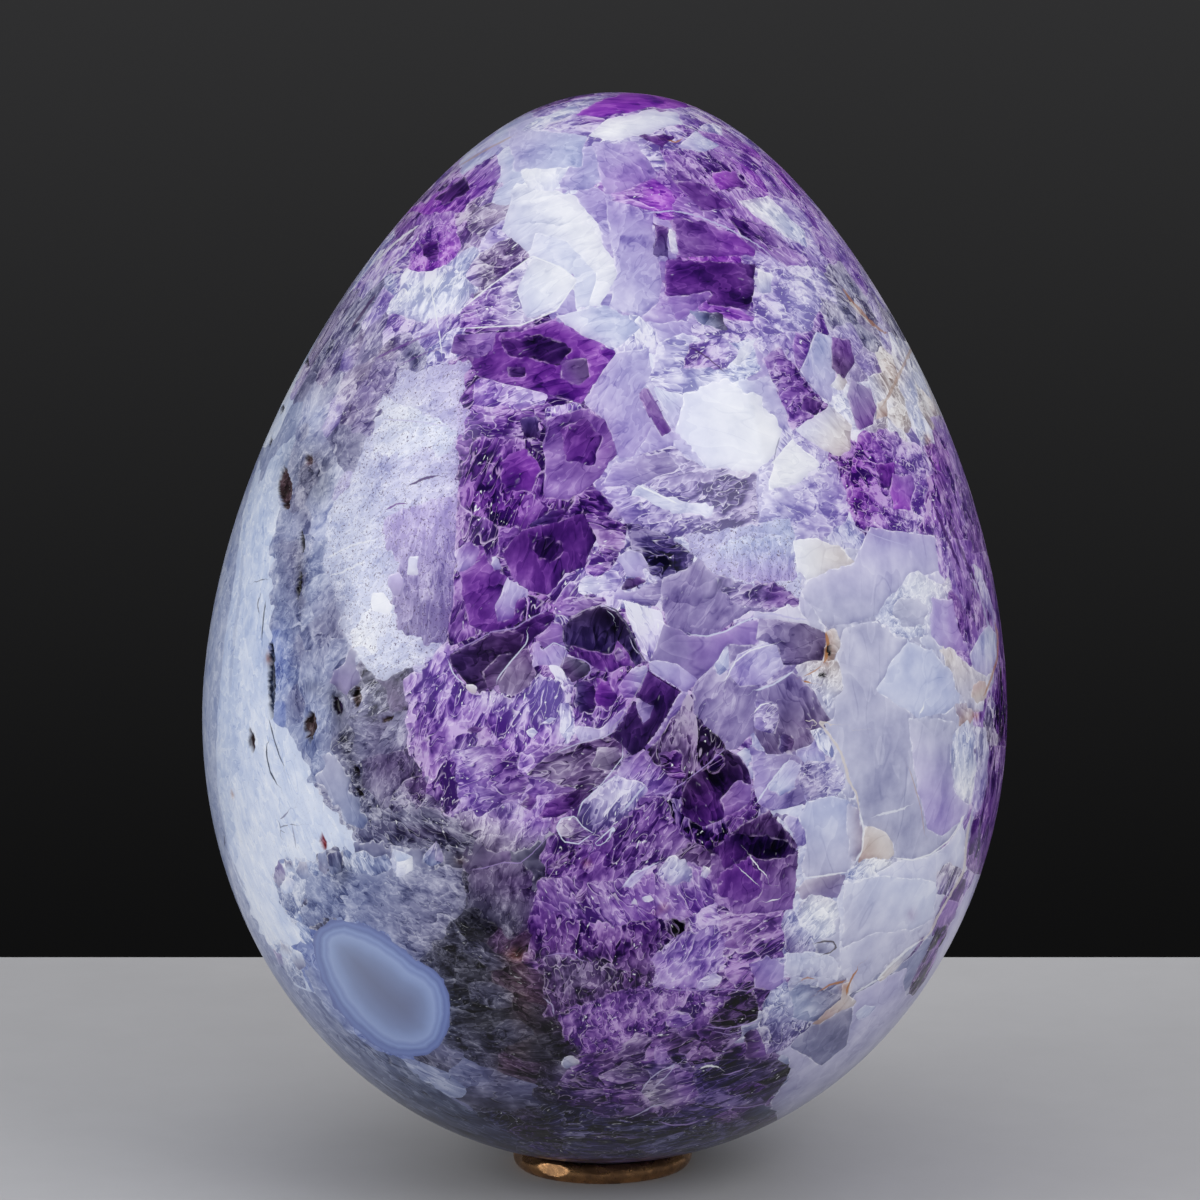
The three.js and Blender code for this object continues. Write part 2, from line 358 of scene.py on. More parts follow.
    Crystal(Tint.INK, Tint.DEEP, 200, Kind.CLEAR, (
        (-17, 139.4), (-9, 139.8), (-5.6, 137.6), (-7.6, 134.6), (-12, 136), (-16.4, 136.8)), 0.15),
    Crystal(Tint.INK, Tint.INK, 0, Kind.CLEAR, (
        (-16.4, 134.7), (-13, 134.5), (-13.2, 132.8), (-16, 133)), 0.05),
    Crystal(Tint.SLATE_VIOLET, Tint.AMETHYST, 200, Kind.CLEAR, (
        (-7, 135.8), (-3, 136), (-2.6, 133), (-4.4, 131.4), (-7.4, 133)), 0.05),
    Crystal(Tint.ORCHID, Tint.AMETHYST, 180, Kind.CLEAR, (
        (-25, 140), (-18, 140.3), (-18.6, 137.6), (-21, 136), (-25.4, 137)), 0.05),
    Crystal(Tint.PURPLE, Tint.ORCHID, 220, Kind.CLEAR, (
        (-10, 126), (-4, 128), (0, 126), (1.5, 123.5), (2, 120), (0, 117.5), (-2, 115), (-6.4, 112.6),
        (-10, 113)), 0.12),
    Crystal(Tint.DEEP, Tint.VIOLET, 240, Kind.CLEAR, (
        (-7.6, 124.6), (-3, 126), (-0.4, 122.6), (-1.8, 118.4), (-6.4, 119)), 0.15),
    Crystal(Tint.LILAC, Tint.LAVENDER, 90, Kind.SHARDED, (
        (-10, 128), (-4.4, 128.6), (-3.6, 127.8), (-9.6, 125.8)), 0.1),
    Crystal(Tint.INDIGO, Tint.DEEP, 0, Kind.CLEAR, (
        (-12.6, 108.4), (-9, 110.8), (-5.6, 111.4), (-7.4, 109), (-11.4, 107.4)), 0.05),
    Crystal(Tint.DEEP, Tint.VIOLET, 260, Kind.CLEAR, (
        (-13.8, 107.8), (-8, 108.8), (-3.4, 110.6), (-1.4, 106), (-3.4, 101.6), (-6.5, 100.3), (-8, 98),
        (-9.5, 96.6), (-13, 97.8), (-15.5, 100), (-17, 104)), 0.08),
    Crystal(Tint.INK, Tint.DEEP, 250, Kind.CLEAR, (
        (-11.6, 106), (-8, 106.6), (-6.8, 103.4), (-9.4, 101.8), (-11.4, 103)), 0.3),
    # The large light crystals above the middle
    Crystal(Tint.LAVENDER, Tint.PALE, 60, Kind.CLEAR, (
        (2, 137), (7, 138), (8, 133), (5.5, 130), (8, 125), (5, 120), (2.5, 119.5), (0, 126), (-3.5, 128.5),
        (-1, 133)), 0.08),
    Crystal(Tint.AMETHYST, Tint.VIOLET, 300, Kind.CLEAR, (
        (5.5, 130), (7, 131.5), (11, 124), (9.5, 123), (7, 127.4)), 0.05),
    Crystal(Tint.PALE, Tint.ICE, 0, Kind.SHARDED, (
        (7.4, 133), (9, 138.6), (13, 140.4), (19, 138), (24, 139.6), (26, 134), (22, 132), (13, 129.6),
        (10.6, 125.4)), 0.15),
    Crystal(Tint.ICE, Tint.PALE, 300, Kind.CLEAR, (
        (8, 131.4), (11, 130.4), (13.2, 130), (12.2, 124.6), (10.8, 124.4)), 0.1),
    # This milky white crystal carries a painted highlight, the reflection of a softbox.
    Crystal(Tint.MILK, Tint.WHITE, 0, Kind.SMOOTH, (
        (13, 130), (20, 133), (25, 130), (29.4, 124.4), (28, 120), (25, 117), (17, 118), (12, 124)), 0.25),
    Crystal(Tint.PALE, Tint.MILK, 90, Kind.SHARDED, (
        (-0.4, 138.4), (0.4, 143), (5.6, 143.2), (8.4, 140.6), (8.6, 137.6), (7, 137.8), (2, 137)), 0.1),
    Crystal(Tint.ORCHID, Tint.LAVENDER, 30, Kind.SHARDED, (
        (13, 134.6), (14, 138.4), (19, 139.8), (22.4, 137.6), (20.4, 134.2)), 0.15),
    Crystal(Tint.WHITE, Tint.MILK, 60, Kind.CLEAR, (
        (21, 135), (22.4, 137.8), (25, 139.4), (24.2, 137), (22.4, 134.8)), 0.1),
    Crystal(Tint.SLATE_LAVENDER, Tint.LAVENDER, 200, Kind.SHARDED, (
        (2.5, 119), (11, 121.5), (16, 118), (25, 117), (25.4, 108), (11.5, 106.5), (3.5, 109), (1, 112),
        (-2, 115)), 0.12),
    Crystal(Tint.LAVENDER, Tint.SLATE_LAVENDER, 0, Kind.CLEAR, (
        (1.4, 118.6), (10, 120.8), (12.4, 118), (5.4, 114.8), (-0.6, 114.8)), 0.1),
    Crystal(Tint.FROST, Tint.MILK, 0, Kind.CLEAR, (
        (5.4, 115.2), (12.4, 112.4), (18, 111.6), (17.6, 110), (11.4, 110.4), (4.6, 113.4)), 0.15),
    Crystal(Tint.INDIGO, Tint.INDIGO, 0, Kind.SHARDED, (
        (3.5, 109), (11, 106.5), (15, 103.4), (13.4, 100.8), (9.6, 99.8), (6.4, 101), (4.4, 104.6)), 0.12),
    Crystal(Tint.AMETHYST, Tint.PURPLE, 0, Kind.SHARDED, (
        (-3, 110.4), (3.6, 109), (3.4, 104.4), (0, 103.4), (-1.6, 106)), 0.15),
    Crystal(Tint.PALE, Tint.ICE, 45, Kind.FROSTED, (
        (12.6, 106.6), (25.4, 108.4), (31, 110), (32.4, 105), (31.8, 101), (32.8, 98.6), (32.2, 96),
        (30, 95), (26, 98), (18, 99.8), (15.4, 103)), 0.25),
    Crystal(Tint.LAVENDER, Tint.ICE, 90, Kind.FROSTED, (
        (17.6, 101), (26, 98.6), (31.6, 99.4), (31.4, 105.4), (24, 106.6), (19, 105)), 0.3),
    # White and cream crystals at the right of the middle
    Crystal(Tint.PALE, Tint.LAVENDER, 0, Kind.STREAKED, (
        (25.4, 117), (28, 119), (31, 115), (38, 119), (40.6, 112), (40, 109), (36, 106), (31.6, 105.4),
        (30.6, 110), (25.6, 108.6)), 0.15),
    Crystal(Tint.WHITE, Tint.WHITE, 0, Kind.CLEAR, (
        (28, 119), (31, 122.5), (36, 118.5), (31, 115), (27, 114)), 0.1),
    Crystal(Tint.CREAM, Tint.MILK, 150, Kind.CLEAR, (
        (31.5, 124), (37, 128.5), (41, 125), (40.5, 121), (39, 119.5), (36, 121)), 0.1),
    Crystal(Tint.VIOLET, Tint.ORCHID, 200, Kind.SHARDED, (
        (26, 136), (29, 138), (32, 134), (35, 130), (37, 128), (31, 124), (29.4, 128.6), (28, 132)), 0.12),
    Crystal(Tint.DEEP, Tint.PURPLE, 200, Kind.CLEAR, (
        (33, 130), (36.2, 129), (35.2, 126.6), (32.4, 127.4)), 0.1),
    Crystal(Tint.PALE, Tint.ICE, 90, Kind.CLEAR, (
        (32.4, 134), (35, 140.4), (38.4, 139.4), (38, 132), (37.4, 128.6), (35.4, 130)), 0.1),
    Crystal(Tint.PLUM, Tint.PURPLE, 60, Kind.CLEAR, (
        (37.6, 139.6), (40.6, 139), (41.4, 135.4), (39.6, 132.4), (37.6, 134.4)), 0.05),
    Crystal(Tint.SLATE_LAVENDER, Tint.AMETHYST, 300, Kind.CLEAR, (
        (40, 130), (41, 132.5), (44, 131), (45, 128), (44.5, 125), (42, 124)), 0.08),
    Crystal(Tint.WHITE, Tint.CREAM, 0, Kind.CLEAR, (
        (37.4, 131.6), (38.6, 133.6), (40.2, 132.2), (39, 130.4)), 0.1),
    Crystal(Tint.CREAM, Tint.TAN, 300, Kind.CLEAR, (
        (45, 128.6), (46.6, 129.4), (47, 126.4), (45.2, 125.8)), 0.1),
    Crystal(Tint.VIVID, Tint.LILAC, 0, Kind.SHARDED, (
        (40.8, 118), (42, 123.6), (46.4, 124.4), (52.6, 121), (53.6, 114), (52, 107.6), (48, 105.6),
        (42.6, 107.4), (40.6, 112)), 0.2),
    Crystal(Tint.VIVID, Tint.VIOLET, 200, Kind.CLEAR, (
        (45, 118.4), (48, 118.8), (48.4, 114.6), (45.4, 114.8)), 0.15),
    Crystal(Tint.MAGENTA, Tint.ORCHID, 45, Kind.CLEAR, (
        (47.6, 117), (51.4, 116.4), (50.6, 110.8), (47.4, 111.6)), 0.2),
    # Top of the egg
    # These milky and white crystals at the top carry a painted highlight, the reflection of a softbox.
    Crystal(Tint.MILK, Tint.WHITE, 30, Kind.CLEAR, (
        (-17, 157), (-15, 165), (-5, 163), (-1, 158), (0, 154), (2, 152), (2, 149), (-1, 145), (-5, 144),
        (-5, 150), (-12, 153)), 0.12),
    Crystal(Tint.FROST, Tint.MILK, 200, Kind.CLEAR, (
        (-12.6, 153), (-5, 150), (-5, 144.2), (-2.6, 144.6), (-1.4, 150), (-6.4, 155.4),
        (-11.4, 157)), 0.08),
    Crystal(Tint.ICE, Tint.PALE, 150, Kind.CLEAR, ((-16, 174), (-3, 173), (-4, 168), (-15, 167)), 0.15),
    Crystal(Tint.WHITE, Tint.MILK, 300, Kind.CLEAR, (
        (-14, 167.4), (-6, 167.6), (-8.6, 163.4), (-13, 164.4)), 0.12),
    Crystal(Tint.LAVENDER, Tint.LILAC, 300, Kind.CLEAR, ((-2, 171.6), (5, 172), (9, 166), (0, 163)), 0.1),
    Crystal(Tint.LAVENDER, Tint.PALE, 240, Kind.CLEAR, (
        (0, 162.6), (8, 160.4), (8, 154), (9.5, 150), (9, 145.5), (6, 143), (0.6, 144.6), (2, 150),
        (1, 155)), 0.08),
    Crystal(Tint.WHITE, Tint.MILK, 0, Kind.CLEAR, (
        (-3, 173), (0, 175.5), (7, 177), (12, 177), (13, 175), (6, 173), (0, 172)), 0.12),
    Crystal(Tint.MAGENTA, Tint.MAGENTA, 0, Kind.CLEAR, (
        (-5, 176.4), (0, 179), (6, 181), (12, 180), (14, 177.6), (7, 177.4), (0, 176)), 0.1),
    Crystal(Tint.DEEP, Tint.VIOLET, 300, Kind.CLEAR, ((5.5, 173), (12, 173), (9.5, 171)), 0.1),
    Crystal(Tint.PALE, Tint.ICE, 30, Kind.CLEAR, ((12, 171), (15, 173.6), (19, 171.2), (16, 169.8)), 0.05),
    Crystal(Tint.ORCHID, Tint.PURPLE, 300, Kind.SHARDED, (
        (9, 171), (20, 170), (24.4, 164.4), (18, 163.4), (10.4, 166.4)), 0.15),
    Crystal(Tint.MAGENTA, Tint.VIOLET, 0, Kind.CLEAR, (
        (17.6, 167), (21.6, 167), (23.4, 164.6), (19, 163.8)), 0.12),
    Crystal(Tint.PURPLE, Tint.VIOLET, 320, Kind.CLEAR, (
        (11, 165.6), (16, 165), (22, 160.8), (16, 160.6)), 0.08),
    Crystal(Tint.VIVID, Tint.AMETHYST, 180, Kind.CLEAR, (
        (10.6, 159), (16, 159), (25, 155), (25, 153), (12, 152.8)), 0.12),
    Crystal(Tint.VIOLET, Tint.DEEP, 20, Kind.CLEAR, ((10, 152.6), (25, 151.6), (24, 144), (10, 146)), 0.1),
    Crystal(Tint.LILAC, Tint.ORCHID, 30, Kind.CLEAR, ((10, 146), (19, 147.4), (15, 144), (12, 142)), 0.1),
    Crystal(Tint.STEEL, Tint.SLATE, 30, Kind.CLEAR, (
        (14, 144), (19.5, 143.4), (20.4, 140.6), (16, 141.6)), 0.1),
    Crystal(Tint.INDIGO, Tint.DEEP, 90, Kind.CLEAR, (
        (8.1, 153), (8.4, 158.4), (10.4, 157.8), (10.5, 153)), 0.1),
    Crystal(Tint.WHITE, Tint.MILK, 0, Kind.CLEAR, (
        (10.5, 157.5), (11.6, 157), (12.2, 153.4), (10.9, 153.6)), 0.05),
    Crystal(Tint.ORCHID, Tint.FROST, 0, Kind.SHARDED, (
        (-24, 144), (-19, 148), (-12, 153), (-7, 151), (-4.5, 149), (-8, 144), (-14, 141.5),
        (-24, 141)), 0.05),
    Crystal(Tint.FROST, Tint.WHITE, 40, Kind.CLEAR, (
        (-12, 153), (-7, 151), (-4.5, 149), (-8, 144), (-13, 142.6), (-14.6, 147)), 0.08),
    Crystal(Tint.ICE, Tint.MILK, 200, Kind.CLEAR, (
        (-8, 143), (0, 145), (6, 141.2), (2, 137.6), (-4, 140)), 0.08),
    Crystal(Tint.MAGENTA, Tint.ORCHID, 45, Kind.STREAKED, (
        (-33, 160), (-18, 170), (-17, 166), (-24, 160)), 0.2),
    Crystal(Tint.DEEP, Tint.INK, 45, Kind.CLEAR, (
        (-28.4, 162.4), (-23, 166), (-22.4, 164), (-26.4, 161.6)), 0.15),
    Crystal(Tint.ORCHID, Tint.MAGENTA, 300, Kind.STREAKED, (
        (-33, 150), (-31, 159.6), (-25, 160.4), (-23.6, 154), (-27, 150)), 0.2),
    Crystal(Tint.DEEP, Tint.VIOLET, 0, Kind.CLEAR, (
        (-30.4, 155), (-27.6, 155.6), (-27.4, 152.6), (-30, 152.8)), 0.2),
    Crystal(Tint.MILK, Tint.FROST, 80, Kind.SHARDED, (
        (-36, 143.6), (-33, 150.4), (-25, 151), (-21, 147.6), (-24, 143.6), (-30, 142)), 0.2),
    Crystal(Tint.WHITE, Tint.ICE, 315, Kind.SHARDED, (
        (22, 162), (27, 163), (33, 157), (33.5, 154.4), (27, 158)), 0.1),
    Crystal(Tint.VIOLET, Tint.ORCHID, 330, Kind.STREAKED, (
        (20, 160), (26.8, 158), (34, 152.4), (31, 151), (24, 154.6)), 0.1),
    Crystal(Tint.LAVENDER, Tint.PALE, 0, Kind.SHARDED, (
        (25, 151), (34, 151.4), (36, 145), (34, 140.4), (26.4, 140), (24.4, 144)), 0.15),
    Crystal(Tint.MILK, Tint.WHITE, 90, Kind.CLEAR, (
        (25.4, 150.6), (28, 150), (27.4, 146.6), (25.2, 147)), 0.1),
    # Dark crystals across the middle
    Crystal(Tint.LILAC, Tint.AMETHYST, 240, Kind.SHARDED, (
        (-27.6, 88), (-25.8, 88.4), (-25.4, 85.4), (-23.6, 82.6), (-21.4, 80.8), (-19, 80.6), (-19.6, 76),
        (-22, 71), (-23, 66), (-25.4, 60.6), (-28.4, 62), (-30, 67), (-33, 72), (-32.6, 78), (-33.6, 82.4),
        (-30.2, 84.6)), 0.3),
    Crystal(Tint.INK, Tint.PLUM, 0, Kind.CLEAR, (
        (-25.7, 87), (-22, 88.7), (-18.8, 90.5), (-15, 91), (-13.5, 90.8), (-13, 89.5), (-13.5, 88),
        (-15, 86), (-16.5, 84), (-17.5, 82), (-19, 81), (-21.4, 81), (-23.5, 83), (-25.5, 85.5)), 0.05),
    Crystal(Tint.SLATE_VIOLET, Tint.PLUM, 200, Kind.CLEAR, (
        (-19.4, 81.4), (-17.5, 82), (-16.5, 84), (-15, 86), (-14, 87.4), (-17.4, 87), (-20.4, 84)), 0.05),
    Crystal(Tint.CREAM, Tint.WHITE, 60, Kind.SMOOTH, (
        (-22.9, 82), (-21.9, 82.1), (-21, 81.6), (-21.4, 80.5), (-22.4, 80.8)), 0.05),
    Crystal(Tint.SLATE_VIOLET, Tint.PLUM, 60, Kind.CLEAR, (
        (-17.6, 82.2), (-15.8, 85.6), (-13.6, 87.9), (-12.6, 87.9), (-11.8, 84.8), (-11.2, 83.8),
        (-13, 81.5), (-15, 80.2), (-17.3, 80.8)), 0.05),
    Crystal(Tint.INK, Tint.DEEP, 20, Kind.CLEAR, (
        (-18.4, 90.8), (-15, 91.2), (-12.5, 92.7), (-9.5, 94.2), (-8.2, 93.7), (-9.5, 91), (-11.5, 90),
        (-13, 88), (-14, 88.6), (-13.4, 90.4), (-15, 90.9)), 0.05),
    Crystal(Tint.PURPLE, Tint.AMETHYST, 90, Kind.SHARDED, (
        (-12.7, 97.2), (-10, 95.6), (-8.8, 95), (-9.4, 94.1), (-12.4, 92.8), (-14.4, 92.2),
        (-13.2, 94.8)), 0.08),
    Crystal(Tint.AMETHYST, Tint.LILAC, 60, Kind.SHARDED, (
        (-8.8, 95.2), (-6.4, 96.4), (-4.4, 96.4), (-2.6, 97.4), (-4.4, 100.4), (-6.4, 100.6), (-8.2, 98),
        (-9.4, 96.6)), 0.12),
    Crystal(Tint.FROST, Tint.LAVENDER, 0, Kind.SHARDED, (
        (-4.6, 97), (-3.2, 100.2), (-1, 99.6), (0, 101.4), (3, 103.6), (2.2, 100.4), (3.2, 99.6),
        (1.6, 97.6), (-2, 97)), 0.1),
    Crystal(Tint.ORCHID, Tint.AMETHYST, 0, Kind.SHARDED, (
        (-3.4, 101.6), (-1.6, 104), (0, 103.4), (2.8, 104.2), (1, 101), (-1, 99.8), (-3.2, 100.2)), 0.15),
    Crystal(Tint.ORCHID, Tint.AMETHYST, 0, Kind.STREAKED, (
        (-8.4, 94.6), (-4, 96.2), (0, 96.5), (0.4, 95.4), (-3, 94.6), (-5.5, 93.4), (-7.8, 93.5)), 0.05),
    Crystal(Tint.LILAC, Tint.PALE, 120, Kind.SHARDED, (
        (-8.2, 93.6), (-5.5, 93.2), (-5.8, 91.8), (-7.3, 91.2), (-8.4, 92)), 0.05),
    Crystal(Tint.ORCHID, Tint.AMETHYST, 200, Kind.CLEAR, (
        (-11.5, 89.6), (-8.9, 92), (-7.2, 92.2), (-6.9, 89.2), (-8.8, 88.6), (-10, 87.9)), 0.05),
    Crystal(Tint.LILAC, Tint.LAVENDER, 300, Kind.CLEAR, (
        (-11.7, 89.6), (-10.3, 87.6), (-8.2, 88.9), (-6.2, 87.8), (-6.9, 85.2), (-9, 85.3), (-11, 85),
        (-12.1, 84.8)), 0.05),
    Crystal(Tint.BLACK, Tint.INDIGO, 260, Kind.CLEAR, (
        (-7, 91.5), (-5.5, 93), (-3, 94.3), (0, 95), (2, 94), (3.5, 92), (4.5, 90), (5.5, 87.5), (6.6, 86),
        (5, 85), (3.5, 84.8), (1.5, 83), (0, 84), (-2, 85), (-3, 85.7), (-6, 87), (-7, 89.5)), 0.03),
    Crystal(Tint.DEEP, Tint.VIOLET, 290, Kind.CLEAR, (
        (-5.6, 88.4), (-2, 87.6), (1, 87), (2.4, 89.4), (3.6, 87.4), (5, 85.2), (3.5, 84.8), (1.5, 83),
        (0, 84), (-2, 85), (-3, 85.7), (-6, 87)), 0.1),
    Crystal(Tint.PLUM, Tint.ORCHID, 0, Kind.CLEAR, ((1.4, 87.4), (2.4, 88.2), (3.4, 86.4), (2, 85.4)), 0.1),
    Crystal(Tint.PALE, Tint.SLATE, 0, Kind.CLEAR, (
        (2.2, 90.8), (3.2, 91.2), (4.2, 90.7), (3.2, 90.1)), 0.05),
    Crystal(Tint.SLATE, Tint.PLUM, 210, Kind.CLEAR, (
        (-6.8, 86.8), (-5, 86.4), (-3, 85.6), (-2.3, 84.5), (-3.5, 83), (-4.8, 82.5), (-6.5, 83.4),
        (-7.3, 84.6)), 0.05),
    Crystal(Tint.FROST, Tint.LILAC, 300, Kind.SHARDED, (
        (-9.4, 85.4), (-7.4, 85.2), (-6.7, 83.4), (-5, 82.4), (-5.4, 80), (-6.6, 81.4),
        (-8.4, 83.2)), 0.12),
    Crystal(Tint.VIOLET, Tint.ORCHID, 250, Kind.SHARDED, (
        (-5, 82.5), (-3, 83.5), (-1.5, 84.3), (1, 84), (3, 85), (5, 85), (6.6, 85.2), (7.2, 84.7),
        (6.3, 82), (4.8, 79.5), (3.2, 76.5), (1, 74), (-1, 73.2), (-4, 72.3), (-4.8, 74.5), (-5, 77),
        (-5.7, 79.5)), 0.05),
    Crystal(Tint.DEEP, Tint.INDIGO, 180, Kind.CLEAR, (
        (-4.8, 82), (-3, 82.8), (-1.6, 81.2), (-1, 79), (-2.4, 77.4), (-4.4, 77.4), (-5.2, 79.6)), 0.25),
    Crystal(Tint.VIVID, Tint.VIOLET, 0, Kind.CLEAR, (
        (-1.4, 83), (0.6, 83), (1.8, 80), (0.6, 77.6), (-1.4, 78.6)), 0.2),
    Crystal(Tint.ORCHID, Tint.PALE, 20, Kind.CLEAR, (
        (2.2, 81.6), (4.4, 84.6), (6.6, 85.2), (7.2, 84.7), (6.3, 82), (4.8, 79.9), (3, 79.8)), 0.05),
    Crystal(Tint.LILAC, Tint.PALE, 250, Kind.CLEAR, (
        (-4.6, 75.4), (-1, 74.6), (2.6, 77.6), (4.2, 78.6), (3.2, 76.5), (1, 74), (-1, 73.2), (-4, 72.3),
        (-4.9, 74)), 0.08),
    Crystal(Tint.FROST, Tint.LAVENDER, 300, Kind.SHARDED, (
        (2.9, 96), (4, 95.6), (6, 95.1), (9.3, 94.1), (10, 92), (9.3, 90), (8, 87.2), (7.4, 85.8),
        (6.8, 86), (5.8, 88.2), (4.8, 90.6), (3.8, 93.2)), 0.04),
    Crystal(Tint.LAVENDER, Tint.SLATE_LAVENDER, 0, Kind.CLEAR, (
        (1, 96.4), (2.4, 98), (3.4, 97.4), (5, 97.4), (7, 98.5), (9.7, 99.6), (9.2, 97), (8.4, 95),
        (6, 95.2), (3, 96)), 0.08),
    Crystal(Tint.INK, Tint.DEEP, 0, Kind.CLEAR, (
        (2.6, 97.8), (3.8, 99.7), (6.2, 99.5), (7.2, 99.2), (5, 98.1), (3.4, 97.6)), 0.03),
    Crystal(Tint.PALE, Tint.LAVENDER, 300, Kind.SMOOTH, (
        (2, 103), (4, 104.4), (6.2, 103.7), (7.4, 101.6), (6.2, 101), (6.9, 99.8), (3.8, 99.9),
        (3, 101.5)), 0.04),
    Crystal(Tint.SLATE_LAVENDER, Tint.SLATE_LAVENDER, 60, Kind.CLEAR, (
        (9.8, 99.8), (13.4, 101), (15.6, 103), (18, 100.2), (25.4, 98.2), (30, 95.4), (28, 94), (24, 94.2),
        (21.4, 92.6), (19.4, 90.9), (17, 90.1), (14, 90.2), (10.6, 91.8), (9.6, 94.2), (9.2, 96.6)), 0.1),
    Crystal(Tint.PURPLE, Tint.SLATE_LAVENDER, 200, Kind.STREAKED, (
        (19, 97.6), (26.6, 99), (31.6, 98), (32.4, 95.2), (29, 94.6), (22, 95)), 0.3),
    Crystal(Tint.SLATE_LAVENDER, Tint.LILAC, 0, Kind.SMOOTH, (
        (9.9, 92), (14, 90.1), (17, 89.9), (20, 90.9), (22.4, 92.2), (26, 93), (25.4, 88.4), (21, 88.4),
        (18, 85.2), (15.5, 83), (13, 81.5), (7.5, 85.7), (8.2, 87.5), (9, 90)), 0.04),
    Crystal(Tint.PALE, Tint.LAVENDER, 320, Kind.SMOOTH, (
        (7.3, 85.7), (8.4, 86), (12, 85.4), (15, 83.2), (15.4, 82.2), (13.4, 80.8), (12.8, 81), (10, 82.9),
        (7.3, 84.5)), 0.05),
    Crystal(Tint.SLATE_LAVENDER, Tint.SLATE_LAVENDER, 240, Kind.CLEAR, (
        (15.2, 82.6), (18, 85.3), (20.4, 88.6), (25.4, 88.6), (26.4, 84), (25, 80), (24.6, 74), (22, 71.4),
        (20, 71), (18.6, 73.6), (16.4, 75.4), (15, 77.4), (14.4, 80.6)), 0.08),
    Crystal(Tint.FROST, Tint.ICE, 230, Kind.CLEAR, (
        (20.5, 88.6), (18, 85.2), (18.8, 83.4), (20.6, 84.6)), 0.04),
    Crystal(Tint.DEEP, Tint.INK, 250, Kind.CLEAR, (
        (7.3, 84.4), (12.8, 81), (11.5, 79.5), (10, 76.5), (8, 73.5), (6, 71), (4.5, 70.3), (2.8, 72),
        (1, 73.6), (3.2, 76.2), (5, 79.8), (6.3, 82)), 0.03),
    Crystal(Tint.SLATE_LAVENDER, Tint.LAVENDER, 250, Kind.CLEAR, (
        (4.9, 79.8), (6.5, 79.2), (8.2, 78.6), (7.4, 76.4), (6.2, 75.6), (5.6, 77.4)), 0.12),
    Crystal(Tint.LAVENDER, Tint.ORCHID, 240, Kind.CLEAR, (
        (12.8, 80.9), (13.8, 80.7), (12.8, 78.6), (10.6, 75.4), (9, 72.8), (7.2, 71), (5.6, 70.6),
        (6.2, 71.2), (8.2, 73.6), (10.2, 76.5), (11.6, 79.4)), 0.03),
    Crystal(Tint.SLATE_VIOLET, Tint.PLUM, 260, Kind.SHARDED, (
        (13.7, 80.8), (14.7, 79), (15, 77), (16.5, 75), (19, 73.2), (20.2, 71.4), (17, 68.6), (14, 66.3),
        (12, 65.4), (10, 67.5), (8, 69), (7.4, 71.3), (9, 73), (10.6, 75.4), (12.8, 78.8)), 0.1),
    Crystal(Tint.INK, Tint.VIOLET, 0, Kind.SHARDED, (
        (8.8, 71), (12.4, 71.4), (12.8, 67), (11.6, 65.6), (9.6, 66.6)), 0.3),
    Crystal(Tint.BLACK, Tint.DEEP, 300, Kind.CLEAR, (
        (13.8, 66.2), (17, 68.5), (20, 71.3), (22.5, 70), (23.8, 68), (24.4, 65), (24, 62.5), (22, 61),
        (20, 60), (16.4, 58.4), (13, 60), (12.4, 63)), 0.04),
    Crystal(Tint.ORCHID, Tint.AMETHYST, 200, Kind.CLEAR, (
        (20.4, 65), (22.4, 66.4), (24.4, 65), (24, 62.5), (22, 61), (19.8, 60.4), (19.4, 62.8)), 0.12),
    Crystal(Tint.PURPLE, Tint.DEEP, 20, Kind.SHARDED, (
        (16.6, 68.4), (18.8, 70.4), (20, 70.2), (19.4, 68.6), (17.6, 67.4)), 0.12),
    Crystal(Tint.MILK, Tint.ICE, 0, Kind.CLEAR, (
        (21.8, 70.6), (23.6, 68.4), (24.3, 70), (23.4, 71.6)), 0.05),
    # Mottled lilac crystals left of the middle
    Crystal(Tint.LAVENDER, Tint.ORCHID, 250, Kind.SHARDED, (
        (-19, 80.8), (-15, 80), (-12.8, 81.4), (-11, 83.6), (-9, 83.4), (-6.6, 81), (-5.6, 79.4), (-5, 77),
        (-4.8, 74.4), (-6.2, 71.8), (-11, 72.2), (-14, 70.4), (-17, 72), (-19.6, 76)), 0.2),
    Crystal(Tint.PALE, Tint.ICE, 250, Kind.SHARDED, (
        (-7.4, 79), (-5.8, 79), (-5, 74.6), (-6.2, 72), (-7.6, 74.6)), 0.1),
    Crystal(Tint.FROST, Tint.MILK, 0, Kind.CLEAR, (
        (-13.2, 74.4), (-12, 74.8), (-11, 74), (-12.2, 72.8)), 0.1),
    Crystal(Tint.FROST, Tint.PALE, 20, Kind.CLEAR, (
        (-10.4, 75.6), (-9, 76.6), (-8, 76.4), (-9.2, 75.6)), 0.05),
    Crystal(Tint.INK, Tint.DEEP, 0, Kind.CLEAR, (
        (-23, 74.6), (-21.6, 75.1), (-20, 74.6), (-20.8, 73.9), (-22.4, 74)), 0.08),
    Crystal(Tint.PLUM, Tint.SLATE_VIOLET, 200, Kind.STREAKED, (
        (-6.6, 71.6), (-4, 72.4), (0, 73.4), (1.2, 73.2), (2.9, 71.7), (3, 70), (1, 67.5), (-1, 65.2),
        (-3, 64.6), (-7, 65.1), (-10, 66.4), (-13, 67), (-12.5, 68.2), (-10, 70)), 0.05),
    Crystal(Tint.SLATE_VIOLET, Tint.MAUVE, 200, Kind.CLEAR, (
        (-1, 71.6), (2.2, 71.4), (2.6, 69.8), (0.6, 67.6), (-2.4, 69)), 0.15),
    Crystal(Tint.LILAC, Tint.AMETHYST, 30, Kind.STREAKED, (
        (-14, 70.4), (-11, 72.1), (-6.7, 71.7), (-10, 69.9), (-12.7, 67.3), (-14.4, 68)), 0.08),
